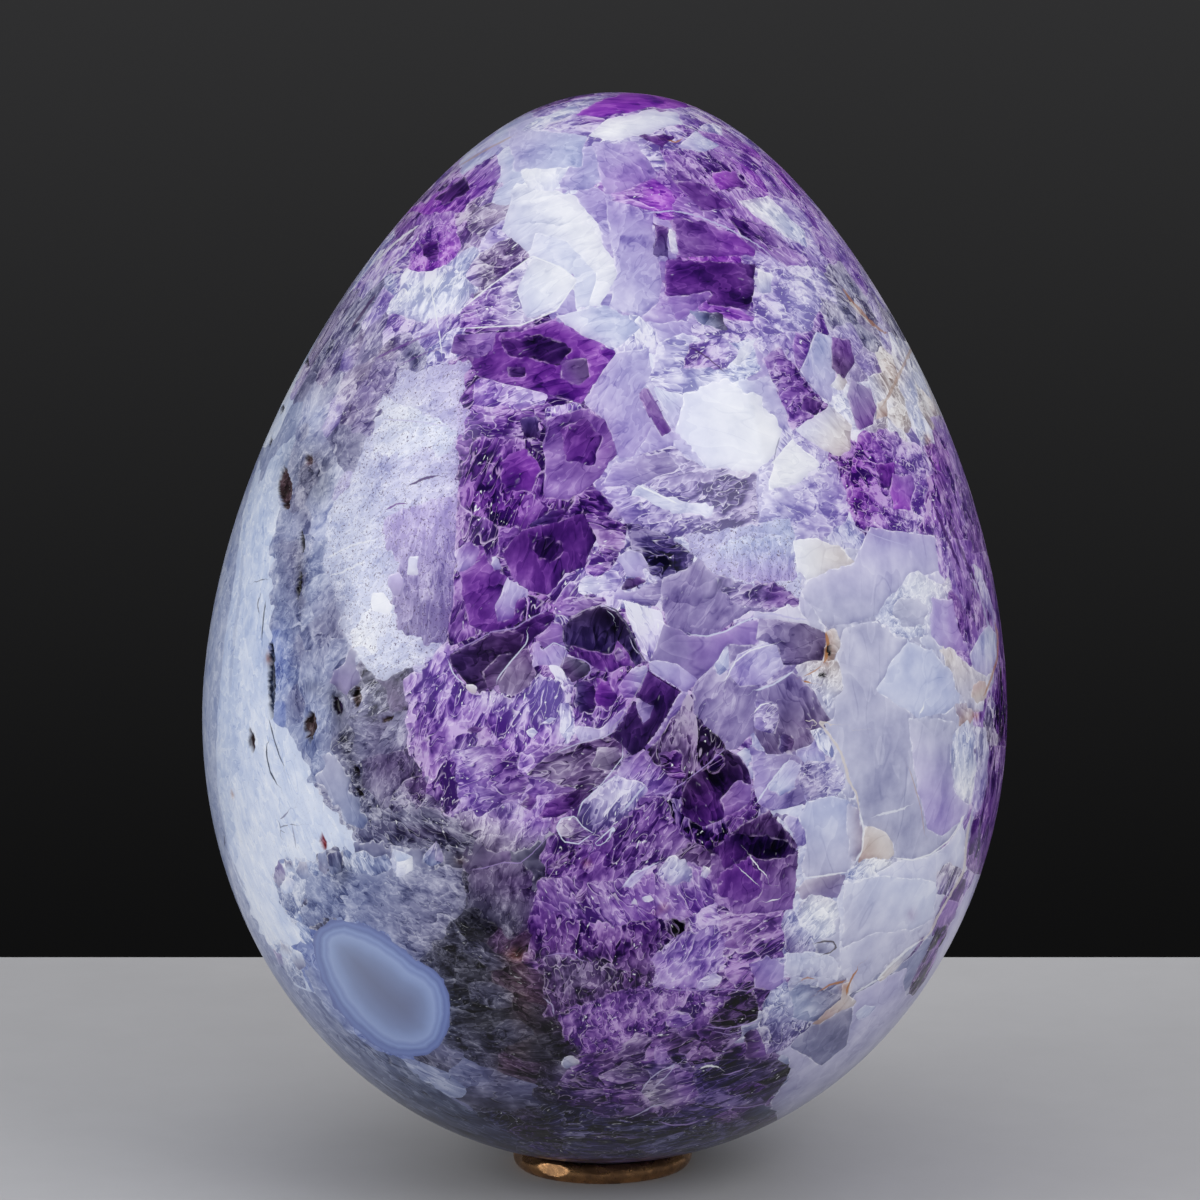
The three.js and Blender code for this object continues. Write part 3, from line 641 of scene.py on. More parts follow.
    Crystal(Tint.AMETHYST, Tint.LILAC, 200, Kind.STREAKED, (
        (-25, 71), (-21, 72), (-17, 71.8), (-14.2, 70), (-14.4, 67.6), (-12.6, 66), (-14, 63), (-18, 60),
        (-22.6, 60), (-24.6, 64)), 0.3),
    Crystal(Tint.LILAC, Tint.MAUVE, 240, Kind.MOTTLED, (
        (-25, 60.4), (-19, 61), (-14.6, 63.4), (-12.6, 61), (-9.6, 59.6), (-8.6, 58), (-11, 55.6),
        (-14.6, 54.4), (-18.8, 55), (-22.4, 57)), 0.35),
    Crystal(Tint.PLUM, Tint.PURPLE, 0, Kind.CLEAR, (
        (-14, 62), (-12.6, 63.8), (-11.2, 63), (-12.4, 61)), 0.08),
    Crystal(Tint.VIOLET, Tint.PLUM, 20, Kind.CLEAR, (
        (-9.8, 62.5), (-6, 64.2), (-2.2, 65), (-1.8, 64.4), (-4.5, 61.8), (-8, 60), (-11, 60)), 0.06),
    Crystal(Tint.PALE, Tint.SLATE_LAVENDER, 250, Kind.SHARDED, (
        (-4.5, 60.3), (-3.7, 62.5), (-1.5, 64.5), (2, 67.2), (3.6, 66.2), (6, 66), (7.2, 64.6), (5, 61.6),
        (2, 59), (-1.6, 57.2), (-4.4, 56.4)), 0.08),
    Crystal(Tint.AMETHYST, Tint.MAUVE, 200, Kind.SHARDED, (
        (-5, 60.2), (-3.6, 58.4), (-2, 57.4), (-4.6, 55.6), (-6.8, 55.8), (-8.1, 58.2),
        (-7.3, 59.7)), 0.05),
    Crystal(Tint.ORCHID, Tint.LILAC, 230, Kind.STREAKED, (
        (3.2, 70), (5, 70.4), (7, 71.2), (8, 69), (10, 67.4), (12, 65.4), (10, 63.6), (7.4, 64.4),
        (6.2, 66), (3.6, 66.4), (2, 67.4)), 0.1),
    # Violet crystals below the middle
    Crystal(Tint.AMETHYST, Tint.PURPLE, 240, Kind.STREAKED, (
        (-8.4, 57.6), (-5, 56), (-2, 56.2), (2, 58.6), (5, 61.4), (7.4, 64), (10, 63.4), (12.6, 62),
        (13.4, 59.4), (14, 56), (10, 53), (4, 50.4), (-1, 49), (-6, 50), (-10, 50), (-10.6, 54)), 0.3),
    Crystal(Tint.AMETHYST, Tint.ORCHID, 300, Kind.STREAKED, (
        (-11, 50), (-6, 50), (-1, 49.2), (4, 50.4), (10, 53), (15, 53), (18, 50), (18, 46), (14, 43.4),
        (9, 43.4), (2, 42), (-4, 43), (-9, 44), (-12, 46)), 0.3),
    Crystal(Tint.DEEP, Tint.INDIGO, 90, Kind.SHARDED, (
        (12.4, 63), (13, 60), (16.4, 58.4), (20, 60), (20.4, 57), (17.6, 54.4), (14.6, 55.6), (12, 58.4),
        (10, 63)), 0.15),
    Crystal(Tint.PLUM, Tint.DEEP, 45, Kind.STREAKED, (
        (-9.8, 51.4), (-5.6, 54.6), (-3.6, 55.2), (-6.4, 52.4)), 0.1),
    Crystal(Tint.PLUM, Tint.PURPLE, 60, Kind.STREAKED, (
        (-4.8, 46), (-3.6, 49), (-2.6, 48.6), (-3.4, 46)), 0.15),
    Crystal(Tint.PALE, Tint.LILAC, 60, Kind.CLEAR, (
        (3, 48.6), (4.4, 50.6), (8.8, 52.6), (7, 50.8), (4.4, 48.3)), 0.06),
    Crystal(Tint.PALE, Tint.FROST, 60, Kind.SHARDED, (
        (8.6, 50.4), (11, 54), (13.6, 52.6), (14.6, 49.4), (11.6, 48.4)), 0.25),
    Crystal(Tint.PALE, Tint.WHITE, 60, Kind.CLEAR, (
        (15.8, 50.4), (16.4, 52.2), (17.8, 51.4), (16.9, 50)), 0.08),
    Crystal(Tint.FROST, Tint.WHITE, 0, Kind.CLEAR, (
        (3.9, 46.6), (5.2, 46.9), (5.5, 45), (4.4, 45.4)), 0.08),
    Crystal(Tint.FROST, Tint.WHITE, 0, Kind.CLEAR, (
        (6.1, 46.6), (7.6, 47.2), (8.2, 46.4), (6.9, 45.7)), 0.06),
    Crystal(Tint.INK, Tint.BLACK, 300, Kind.SHARDED, (
        (9.8, 43.2), (11.4, 43.3), (13.6, 42.4), (13.2, 40.8), (11.6, 40.2), (10.4, 41)), 0.15),
    Crystal(Tint.LILAC, Tint.LILAC, 240, Kind.STREAKED, (
        (8, 32.2), (8.6, 38), (11.4, 39.8), (14.4, 41), (18, 42.4), (20, 40), (19.6, 36), (18.4, 33.4),
        (15, 31.8), (12, 31.6)), 0.2),
    Crystal(Tint.LAVENDER, Tint.PALE, 0, Kind.SHARDED, (
        (15, 32.2), (16, 33.6), (18, 34.4), (19.6, 33.4), (18.6, 31.9), (16.4, 31.6)), 0.1),
    Crystal(Tint.PURPLE, Tint.AMETHYST, 200, Kind.SHARDED, (
        (18, 46), (22, 43.8), (27, 44.2), (31, 44.6), (30, 40), (29.6, 36.8), (26, 36.6), (22, 32),
        (20, 33.4), (20, 40)), 0.2),
    Crystal(Tint.LILAC, Tint.LAVENDER, 60, Kind.CLEAR, (
        (24, 35.6), (27, 37), (29.8, 35.6), (30, 33), (27.6, 31.4), (25, 31.8)), 0.15),
    Crystal(Tint.DEEP, Tint.PURPLE, 250, Kind.CLEAR, (
        (20, 39.4), (21.8, 40), (22, 38.2), (20.4, 38)), 0.15),
    Crystal(Tint.PLUM, Tint.AMETHYST, 260, Kind.CLEAR, (
        (17.6, 54.4), (20, 56.4), (23, 59), (27, 61), (29, 59), (32, 55.5), (31.8, 52), (31.5, 48),
        (31, 44.8), (27, 44.2), (22, 43.9), (18.4, 45.8), (17.4, 50)), 0.05),
    Crystal(Tint.INK, Tint.DEEP, 260, Kind.CLEAR, (
        (17.8, 54.4), (20, 56.4), (23, 57.4), (28, 57), (31.8, 55), (30, 53), (24, 53.4), (20, 51.6)), 0.2),
    Crystal(Tint.VIOLET, Tint.PURPLE, 270, Kind.CLEAR, (
        (19, 51), (24, 52.6), (26, 50.4), (25.6, 47), (21.4, 45.8), (18.8, 47.4)), 0.3),
    Crystal(Tint.PURPLE, Tint.PLUM, 270, Kind.STREAKED, (
        (-12, 46), (-9, 44), (-4, 43), (2, 42), (9, 43), (9.6, 41), (8, 38), (7.6, 32.6), (3, 31),
        (-2, 30.4), (-8, 31), (-11, 35), (-13, 40)), 0.3),
    Crystal(Tint.PLUM, Tint.SLATE_VIOLET, 90, Kind.STREAKED, (
        (-10, 36.6), (-5, 37), (-3, 35.8), (0, 36.4), (2, 34.6), (0, 30.6), (-5, 27), (-10, 27)), 0.3),
    Crystal(Tint.AMETHYST, Tint.PURPLE, 270, Kind.STREAKED, (
        (-8, 27), (0, 30.8), (8, 32), (12, 31.5), (16, 31.4), (17, 28), (17.6, 25.4), (12, 24.6), (6, 24),
        (0, 21), (-6, 22)), 0.25),
    Crystal(Tint.LILAC, Tint.ORCHID, 200, Kind.STREAKED, (
        (10, 26.6), (11.4, 27.9), (14, 27.7), (14.8, 26.4), (13, 25.2), (10.6, 25.2)), 0.1),
    Crystal(Tint.BLACK, Tint.BLACK, 0, Kind.SHARDED, (
        (17.2, 26), (18.5, 27.9), (20, 29.4), (22, 30.6), (24.8, 30.8), (25.4, 28.6), (25, 26.2),
        (22, 25.2), (19, 25.1)), 0.12),
    Crystal(Tint.INK, Tint.DEEP, 0, Kind.STREAKED, (
        (19.4, 21.6), (23.6, 23.4), (25.4, 22.8), (24, 20.2), (21.6, 17.6), (19.4, 17.4)), 0.2),
    Crystal(Tint.AMETHYST, Tint.PLUM, 180, Kind.CLEAR, (
        (23, 24.4), (25.4, 25), (26.6, 22), (26.6, 20.2), (23.4, 20)), 0.1),
    Crystal(Tint.BLACK, Tint.INDIGO, 200, Kind.STREAKED, (
        (15, 19), (21, 20), (26, 19.8), (29, 19.8), (30.8, 18.6), (30, 16.5), (28.4, 14.4), (26.8, 12.8),
        (20, 11.9), (15, 12.6)), 0.06),
    Crystal(Tint.INK, Tint.DEEP, 20, Kind.STREAKED, (
        (20, 15.4), (24, 16.2), (27.4, 15.4), (25, 14.2), (21, 13.9)), 0.15),
    Crystal(Tint.NAVY, Tint.BLACK, 180, Kind.CLEAR, (
        (22, 10.6), (24, 11.8), (26.2, 12.4), (28.6, 11.3), (26, 10), (23, 9.7)), 0.05),
    Crystal(Tint.ORCHID, Tint.MAUVE, 200, Kind.STREAKED, (
        (6, 14.6), (9, 18), (11.5, 19), (14, 18), (15.6, 14), (13, 12), (8, 12)), 0.2),
    Crystal(Tint.LILAC, Tint.AMETHYST, 60, Kind.STREAKED, (
        (8.4, 19.2), (8.2, 22), (9.6, 22.6), (11.2, 19.6), (10, 19)), 0.1),
    Crystal(Tint.ICE, Tint.WHITE, 30, Kind.SMOOTH, (
        (-7.3, 19.2), (-6.6, 20.2), (-5.2, 20.4), (-4.4, 19.9), (-4, 19.2), (-5.4, 18.7),
        (-6.6, 18.3)), 0.08),
    Crystal(Tint.SLATE_VIOLET, Tint.SLATE, 250, Kind.HAZY, (
        (-22, 51.4), (-17, 52.4), (-14, 52.6), (-12, 50), (-12, 46), (-13, 41), (-16, 39.6), (-20, 43.6),
        (-23, 45)), 0.3),
    # Ice crystals at the right
    Crystal(Tint.LAVENDER, Tint.PALE, 45, Kind.CLEAR, (
        (26, 82), (30, 85.3), (28.4, 88.6), (26, 88.8), (22, 87), (20.4, 84), (22.4, 81.6)), 0.05),
    Crystal(Tint.SLATE_VIOLET, Tint.SLATE_LAVENDER, 180, Kind.CLEAR, (
        (25.6, 93), (30, 92.6), (33.4, 92), (36, 91), (36.9, 90), (36.4, 88.5), (36.2, 86), (32, 85.3),
        (29.6, 85.2), (28.4, 88.6), (25, 89.4)), 0.04),
    Crystal(Tint.SLATE_LAVENDER, Tint.SLATE_VIOLET, 300, Kind.CLEAR, (
        (25.6, 81.4), (31, 84.2), (33, 82.5), (34.7, 81), (36, 78), (38.2, 75.5), (36, 74.5), (34, 72),
        (30.6, 70.6), (27, 70.4), (24.8, 73.8), (24.8, 79.5)), 0.05),
    Crystal(Tint.SLATE_LAVENDER, Tint.LAVENDER, 200, Kind.SHARDED, (
        (24.9, 79.4), (28.5, 79), (29, 76.5), (28, 74), (24.9, 74.6)), 0.1),
    Crystal(Tint.INDIGO, Tint.PLUM, 0, Kind.CLEAR, (
        (28.4, 73.4), (30.8, 73.6), (31.6, 71.4), (29, 71)), 0.25),
    Crystal(Tint.SLATE_LAVENDER, Tint.LAVENDER, 200, Kind.CLEAR, (
        (24, 72), (27, 70.4), (31, 70.6), (33, 69), (32.4, 65.6), (33.4, 62.6), (30, 60.2), (25.2, 62.2),
        (24.6, 66)), 0.1),
    Crystal(Tint.ICE, Tint.PALE, 45, Kind.CLEAR, (
        (27, 65), (30.4, 69.6), (32.4, 68.6), (31.6, 65), (29, 63.4)), 0.12),
    Crystal(Tint.PALE, Tint.SLATE_LAVENDER, 200, Kind.DRUSE, (
        (32.3, 68), (33.5, 69.5), (36, 69.3), (38.2, 69.2), (39.5, 67.4), (39.9, 65), (38.5, 63.6),
        (35.5, 63.3), (33.4, 62.4), (33.6, 64), (32.2, 65.5)), 0.06),
    Crystal(Tint.FROST, Tint.ICE, 270, Kind.SHARDED, (
        (34, 74.4), (36, 74.9), (37.4, 72.4), (38.3, 70), (37.4, 69.8), (35.4, 71.5)), 0.06),
    Crystal(Tint.SMOOTH, Tint.CLOUD, 270, Kind.SMOOTH, (
        (39.6, 91.4), (45, 92.6), (48, 90), (51, 89.2), (54, 88), (56, 86), (58, 83.5), (59, 81), (61, 77),
        (61.5, 66), (59.6, 59.6), (57, 56.2), (54, 53.9), (51, 52.9), (48, 53.3), (43, 58), (42.2, 61.4),
        (41.2, 64.5), (40, 68), (38.6, 71.5), (36.4, 75.6), (38, 76.6), (38.6, 84), (38.4, 88)), 0.06),
    Crystal(Tint.ICE, Tint.FROST, 200, Kind.SMOOTH, (
        (45, 81), (52, 76.4), (56.4, 77.2), (58.8, 79), (58.6, 83), (54, 87.6), (50, 89), (47, 85)), 0.1),
    Crystal(Tint.CLOUD, Tint.LAVENDER, 250, Kind.SMOOTH, (
        (50.4, 76.6), (58, 76), (61.4, 70), (60, 60), (56, 57), (53.4, 58), (51.2, 68)), 0.1),
    Crystal(Tint.SMOOTH, Tint.PALE, 90, Kind.SMOOTH, (
        (33.5, 99.6), (36.4, 100.6), (41, 102), (44, 108), (54.6, 106.6), (55.4, 101), (50, 99),
        (47.4, 96.4), (45, 93.6), (43, 92.6), (40, 92), (37, 91.5), (35.5, 92.6), (34, 95.2),
        (32.7, 96.4)), 0.06),
    Crystal(Tint.WHITE, Tint.CREAM, 0, Kind.SMOOTH, (
        (31.2, 106), (34, 106.4), (39, 105), (41.4, 102.4), (37, 100.8), (33.5, 99.4), (31.9, 101)), 0.12),
    Crystal(Tint.FROST, Tint.WHITE, 30, Kind.DRUSE, (
        (49.3, 98.3), (50, 100), (52, 100.8), (54, 99.6), (55.5, 98.4), (57, 99.8), (57.6, 98),
        (56.5, 96.5), (54, 95.2), (53.4, 93), (54, 91.5), (53, 90), (50, 89.6), (48.5, 90.3), (47, 91.5),
        (44.8, 93), (45.5, 94.6), (47, 96.5)), 0.12),
    Crystal(Tint.CLOUD, Tint.SMOOTH, 0, Kind.SMOOTH, (
        (47.4, 93.6), (48.4, 96), (52, 96.6), (53.4, 94.6), (53, 92), (50, 91.4)), 0.2),
    Crystal(Tint.LAVENDER, Tint.LILAC, 0, Kind.SMOOTH, (
        (54, 96.4), (57.4, 96.2), (58.4, 92), (60.4, 87.4), (58, 87.6), (55.4, 88.4), (54, 90.6)), 0.15),
    Crystal(Tint.CREAM, Tint.SMOOTH, 300, Kind.CLEAR, (
        (55.3, 87.7), (57, 88.2), (59, 86.4), (61, 84.6), (63.2, 83.4), (64.6, 84.2), (64, 81.6),
        (63, 79.6), (62.4, 77.6), (61, 77.3), (60, 79), (58.5, 81), (57.5, 83.5), (56.5, 86)), 0.12),
    Crystal(Tint.TAN, Tint.CREAM, 300, Kind.SMOOTH, (
        (61, 82), (63, 82.6), (63.4, 80), (62, 78.8), (60.8, 80)), 0.15),
    Crystal(Tint.MAUVE, Tint.TAN, 300, Kind.CLEAR, (
        (58, 78.6), (60, 79), (61.2, 77), (60.6, 75), (59, 74.6)), 0.15),
    Crystal(Tint.PALE, Tint.ICE, 90, Kind.CLEAR, (
        (60.4, 87), (61.2, 84.4), (63.4, 83.3), (65, 86), (65, 90), (63.8, 91.8), (62, 90)), 0.06),
    Crystal(Tint.WHITE, Tint.ICE, 90, Kind.DRUSE, (
        (57.6, 73.6), (59.8, 76), (61.2, 74.4), (61.2, 71), (61.6, 68), (61.2, 65), (60.6, 62), (59, 63),
        (57.9, 65), (57.4, 68), (57.3, 71)), 0.12),
    Crystal(Tint.ICE, Tint.SMOOTH, 270, Kind.SMOOTH, (
        (32, 60), (33.5, 62.6), (37, 63.5), (40, 63), (42, 61.5), (42.7, 58), (42.5, 54.5), (41, 52.5),
        (40, 50.9), (36, 50.3), (33.4, 50), (32.5, 52), (33.6, 55), (33, 58)), 0.05),
    Crystal(Tint.MAUVE, Tint.SMOOTH, 180, Kind.SMOOTH, (
        (40.2, 62.6), (42, 61.4), (42.7, 58), (42.5, 54.5), (41, 52.5), (40.4, 55), (40, 59)), 0.1),
    Crystal(Tint.ICE, Tint.FROST, 200, Kind.CLEAR, (
        (28, 60.8), (30, 59), (32.2, 55.8), (33.4, 54.8), (32.4, 52), (33, 49.6), (32, 46.4), (31, 44.6),
        (31.7, 48), (32, 52), (32.2, 55.4), (29.2, 59), (27.4, 61), (31, 61.6), (33.2, 62.4),
        (32, 60)), 0.06),
    Crystal(Tint.MAUVE, Tint.SLATE_LAVENDER, 300, Kind.SMOOTH, (
        (33, 49.6), (36, 50.2), (40, 50.6), (39.6, 48.5), (38.8, 46.7), (35.4, 46.9), (32.6, 46.4),
        (32, 48)), 0.06),
    Crystal(Tint.FROST, Tint.WHITE, 45, Kind.DRUSE, (
        (32.4, 46), (34, 47.2), (36, 46.9), (38.6, 46.2), (39, 44), (37.8, 43), (38.5, 40.6), (37, 39.9),
        (35, 39.6), (33.8, 41), (30.4, 40), (30.6, 43.4), (32, 44.6)), 0.12),
    Crystal(Tint.GREY, Tint.SMOOTH, 45, Kind.CLEAR, (
        (35, 39.2), (37.4, 39.3), (38.3, 38.5), (36.6, 37.4), (35, 37.6)), 0.05),
    Crystal(Tint.FROST, Tint.SMOOTH, 280, Kind.CLEAR, (
        (29.8, 37.6), (34, 37.5), (37, 37.4), (38.6, 36), (38.6, 33.2), (36, 33.5), (31, 33.4),
        (29.8, 35)), 0.12),
    Crystal(Tint.ICE, Tint.SLATE_LAVENDER, 240, Kind.DRUSE, (
        (29.4, 44), (31.4, 44.6), (32.4, 42), (34.6, 40.4), (34.8, 37.6), (30, 37.8), (29.6, 41)), 0.1),
    Crystal(Tint.CREAM, Tint.TAN, 220, Kind.SMOOTH, (
        (43, 58.6), (44.6, 58.4), (46.4, 57.6), (47.6, 56), (48.1, 54), (47, 53.1), (45, 53.3), (43.5, 53),
        (41.4, 51.5), (42.4, 54), (42.8, 56)), 0.06),
    Crystal(Tint.ICE, Tint.WHITE, 30, Kind.SHARDED, (
        (40.4, 51.4), (43, 53), (47.6, 53), (47.4, 52), (44.6, 50.2), (42.4, 49.6), (40, 50)), 0.1),
    Crystal(Tint.MILK, Tint.SMOOTH, 300, Kind.SMOOTH, (
        (39.6, 49.5), (44, 50.1), (48, 52.6), (54, 53.6), (57, 55.8), (59.4, 59), (59.8, 54), (59.2, 51),
        (55.6, 46), (54.6, 43), (54, 41), (50, 38.2), (46, 35), (44, 33), (41, 31), (40, 30), (40, 33),
        (38.9, 35), (38.9, 39), (39, 43), (38.4, 46)), 0.08),
    Crystal(Tint.FROST, Tint.SMOOTH, 240, Kind.SMOOTH, (
        (39.6, 49), (46, 50.4), (55, 49.4), (54.6, 43.4), (51, 41.4), (45, 41), (39.4, 38.4)), 0.1),
    Crystal(Tint.FROST, Tint.CREAM, 240, Kind.CLEAR, (
        (45, 33), (47, 35.5), (49.4, 37.7), (52.4, 39.7), (50.4, 37), (48.2, 34.7), (45.6, 32.7)), 0.06),
    Crystal(Tint.SLATE_LAVENDER, Tint.MAUVE, 60, Kind.SHARDED, (
        (54.8, 51), (57, 52.6), (59.4, 51), (58.4, 48.6), (56.6, 46.8), (55, 47.4)), 0.15),
    Crystal(Tint.GREY, Tint.STEEL, 200, Kind.CLEAR, (
        (36, 31.7), (39, 30.2), (37.4, 28), (34.5, 26), (31, 27), (30, 30), (32, 32.6)), 0.1),
    Crystal(Tint.ICE, Tint.SLATE_LAVENDER, 270, Kind.SHARDED, (
        (25.4, 26), (27.4, 31.2), (30, 33), (31, 30), (31, 27), (34.4, 25.8), (30.4, 21.8), (27, 20.8),
        (26, 23)), 0.12),
    Crystal(Tint.GREY, Tint.HAZE, 270, Kind.SMOOTH, (
        (30.6, 22), (34, 25.4), (38, 27.4), (41, 28.4), (40.6, 25), (40, 22), (36, 19)), 0.1),
    Crystal(Tint.CREAM, Tint.TAN, 220, Kind.SMOOTH, (
        (34.4, 25.7), (36.5, 27.8), (39, 29.6), (39.4, 32.4), (40.6, 32.8), (40.4, 30.6), (41.9, 29.5),
        (41.1, 28.6), (38, 27.5), (35.5, 25.7)), 0.06),
    Crystal(Tint.FROST, Tint.ICE, 30, Kind.CLEAR, (
        (41.4, 27.4), (43, 28.9), (44.9, 28.7), (43.6, 27), (42, 26.4)), 0.06),
    Crystal(Tint.FROST, Tint.CREAM, 60, Kind.DRUSE, (
        (31.4, 84.8), (33, 85.7), (36, 86), (38.6, 86), (39.3, 83), (39.4, 81), (37.8, 79.2), (36.8, 77.4),
        (35.8, 80.6), (34.7, 81.6), (33.2, 82)), 0.08),
    Crystal(Tint.TAN, Tint.CREAM, 0, Kind.CLEAR, (
        (36.6, 90.6), (38.4, 91.2), (39, 88.6), (38.2, 86), (36.4, 86), (36.5, 88.4)), 0.12),
    # Violet edge at the far right
    Crystal(Tint.PURPLE, Tint.ORCHID, 80, Kind.STREAKED, (
        (56.4, 106), (61, 106), (66, 100), (70, 85), (66.4, 84.6), (65.2, 85.2), (65.2, 90), (64, 92),
        (62, 91), (60, 95), (57.8, 99.6)), 0.15, True),
    Crystal(Tint.LILAC, Tint.PALE, 80, Kind.STREAKED, (
        (60.8, 102), (62.4, 101), (64.6, 94), (65.4, 88), (64.6, 90.6), (62.6, 96)), 0.15, True),
    Crystal(Tint.AMETHYST, Tint.LILAC, 80, Kind.STREAKED, (
        (54, 126), (56.4, 122), (58.4, 115), (60, 108), (60.6, 104), (66, 104), (60, 128)), 0.2, True),
    Crystal(Tint.DEEP, Tint.DEEP, 270, Kind.SHARDED, (
        (65.2, 85), (70, 85), (70, 72), (66, 71.6), (64.7, 74.6), (64.6, 80)), 0.06, True),
    Crystal(Tint.SLATE_LAVENDER, Tint.MAUVE, 270, Kind.SHARDED, (
        (62.8, 78), (64.4, 80.6), (64.6, 74.6), (65.4, 72.6), (63.6, 71.8), (63, 74)), 0.1, True),
    Crystal(Tint.SMOOTH, Tint.LAVENDER, 270, Kind.STREAKED, (
        (61.3, 75), (63, 75), (63.8, 70), (63.5, 66), (62.6, 62), (60.8, 60), (60.8, 63),
        (61.6, 68)), 0.1, True),
    Crystal(Tint.AMETHYST, Tint.PURPLE, 270, Kind.STREAKED, (
        (63.8, 72), (70, 72), (70, 55), (64, 50), (61.4, 50.8), (59.8, 52), (60.2, 56), (61.6, 60),
        (63.2, 64), (63.4, 68)), 0.12, True),
    Crystal(Tint.DEEP, Tint.VIOLET, 0, Kind.CLEAR, (
        (60.2, 53.6), (60.4, 57), (61.2, 59.6), (62, 60), (61.6, 56.6), (61, 54)), 0.06),
    Crystal(Tint.INK, Tint.DEEP, 240, Kind.CLEAR, (
        (57, 46.4), (58.2, 49), (59.9, 50), (59.6, 48), (58.6, 46)), 0.03),
    Crystal(Tint.ORCHID, Tint.AMETHYST, 240, Kind.CLEAR, (
        (55, 42), (55.8, 45), (57.1, 46.3), (58.6, 45.6), (57.6, 43), (55.6, 41.7)), 0.05),
    Crystal(Tint.INK, Tint.DEEP, 240, Kind.SHARDED, (
        (53.4, 38), (55, 41.5), (57, 42.4), (56.6, 40.5), (55.2, 38), (53.6, 36)), 0.05),
    Crystal(Tint.PURPLE, Tint.PLUM, 240, Kind.STREAKED, (
        (50.2, 31), (51.8, 35), (53.4, 37.8), (55.4, 38.6), (54.6, 36), (53, 33), (51, 30.4)), 0.05),
)

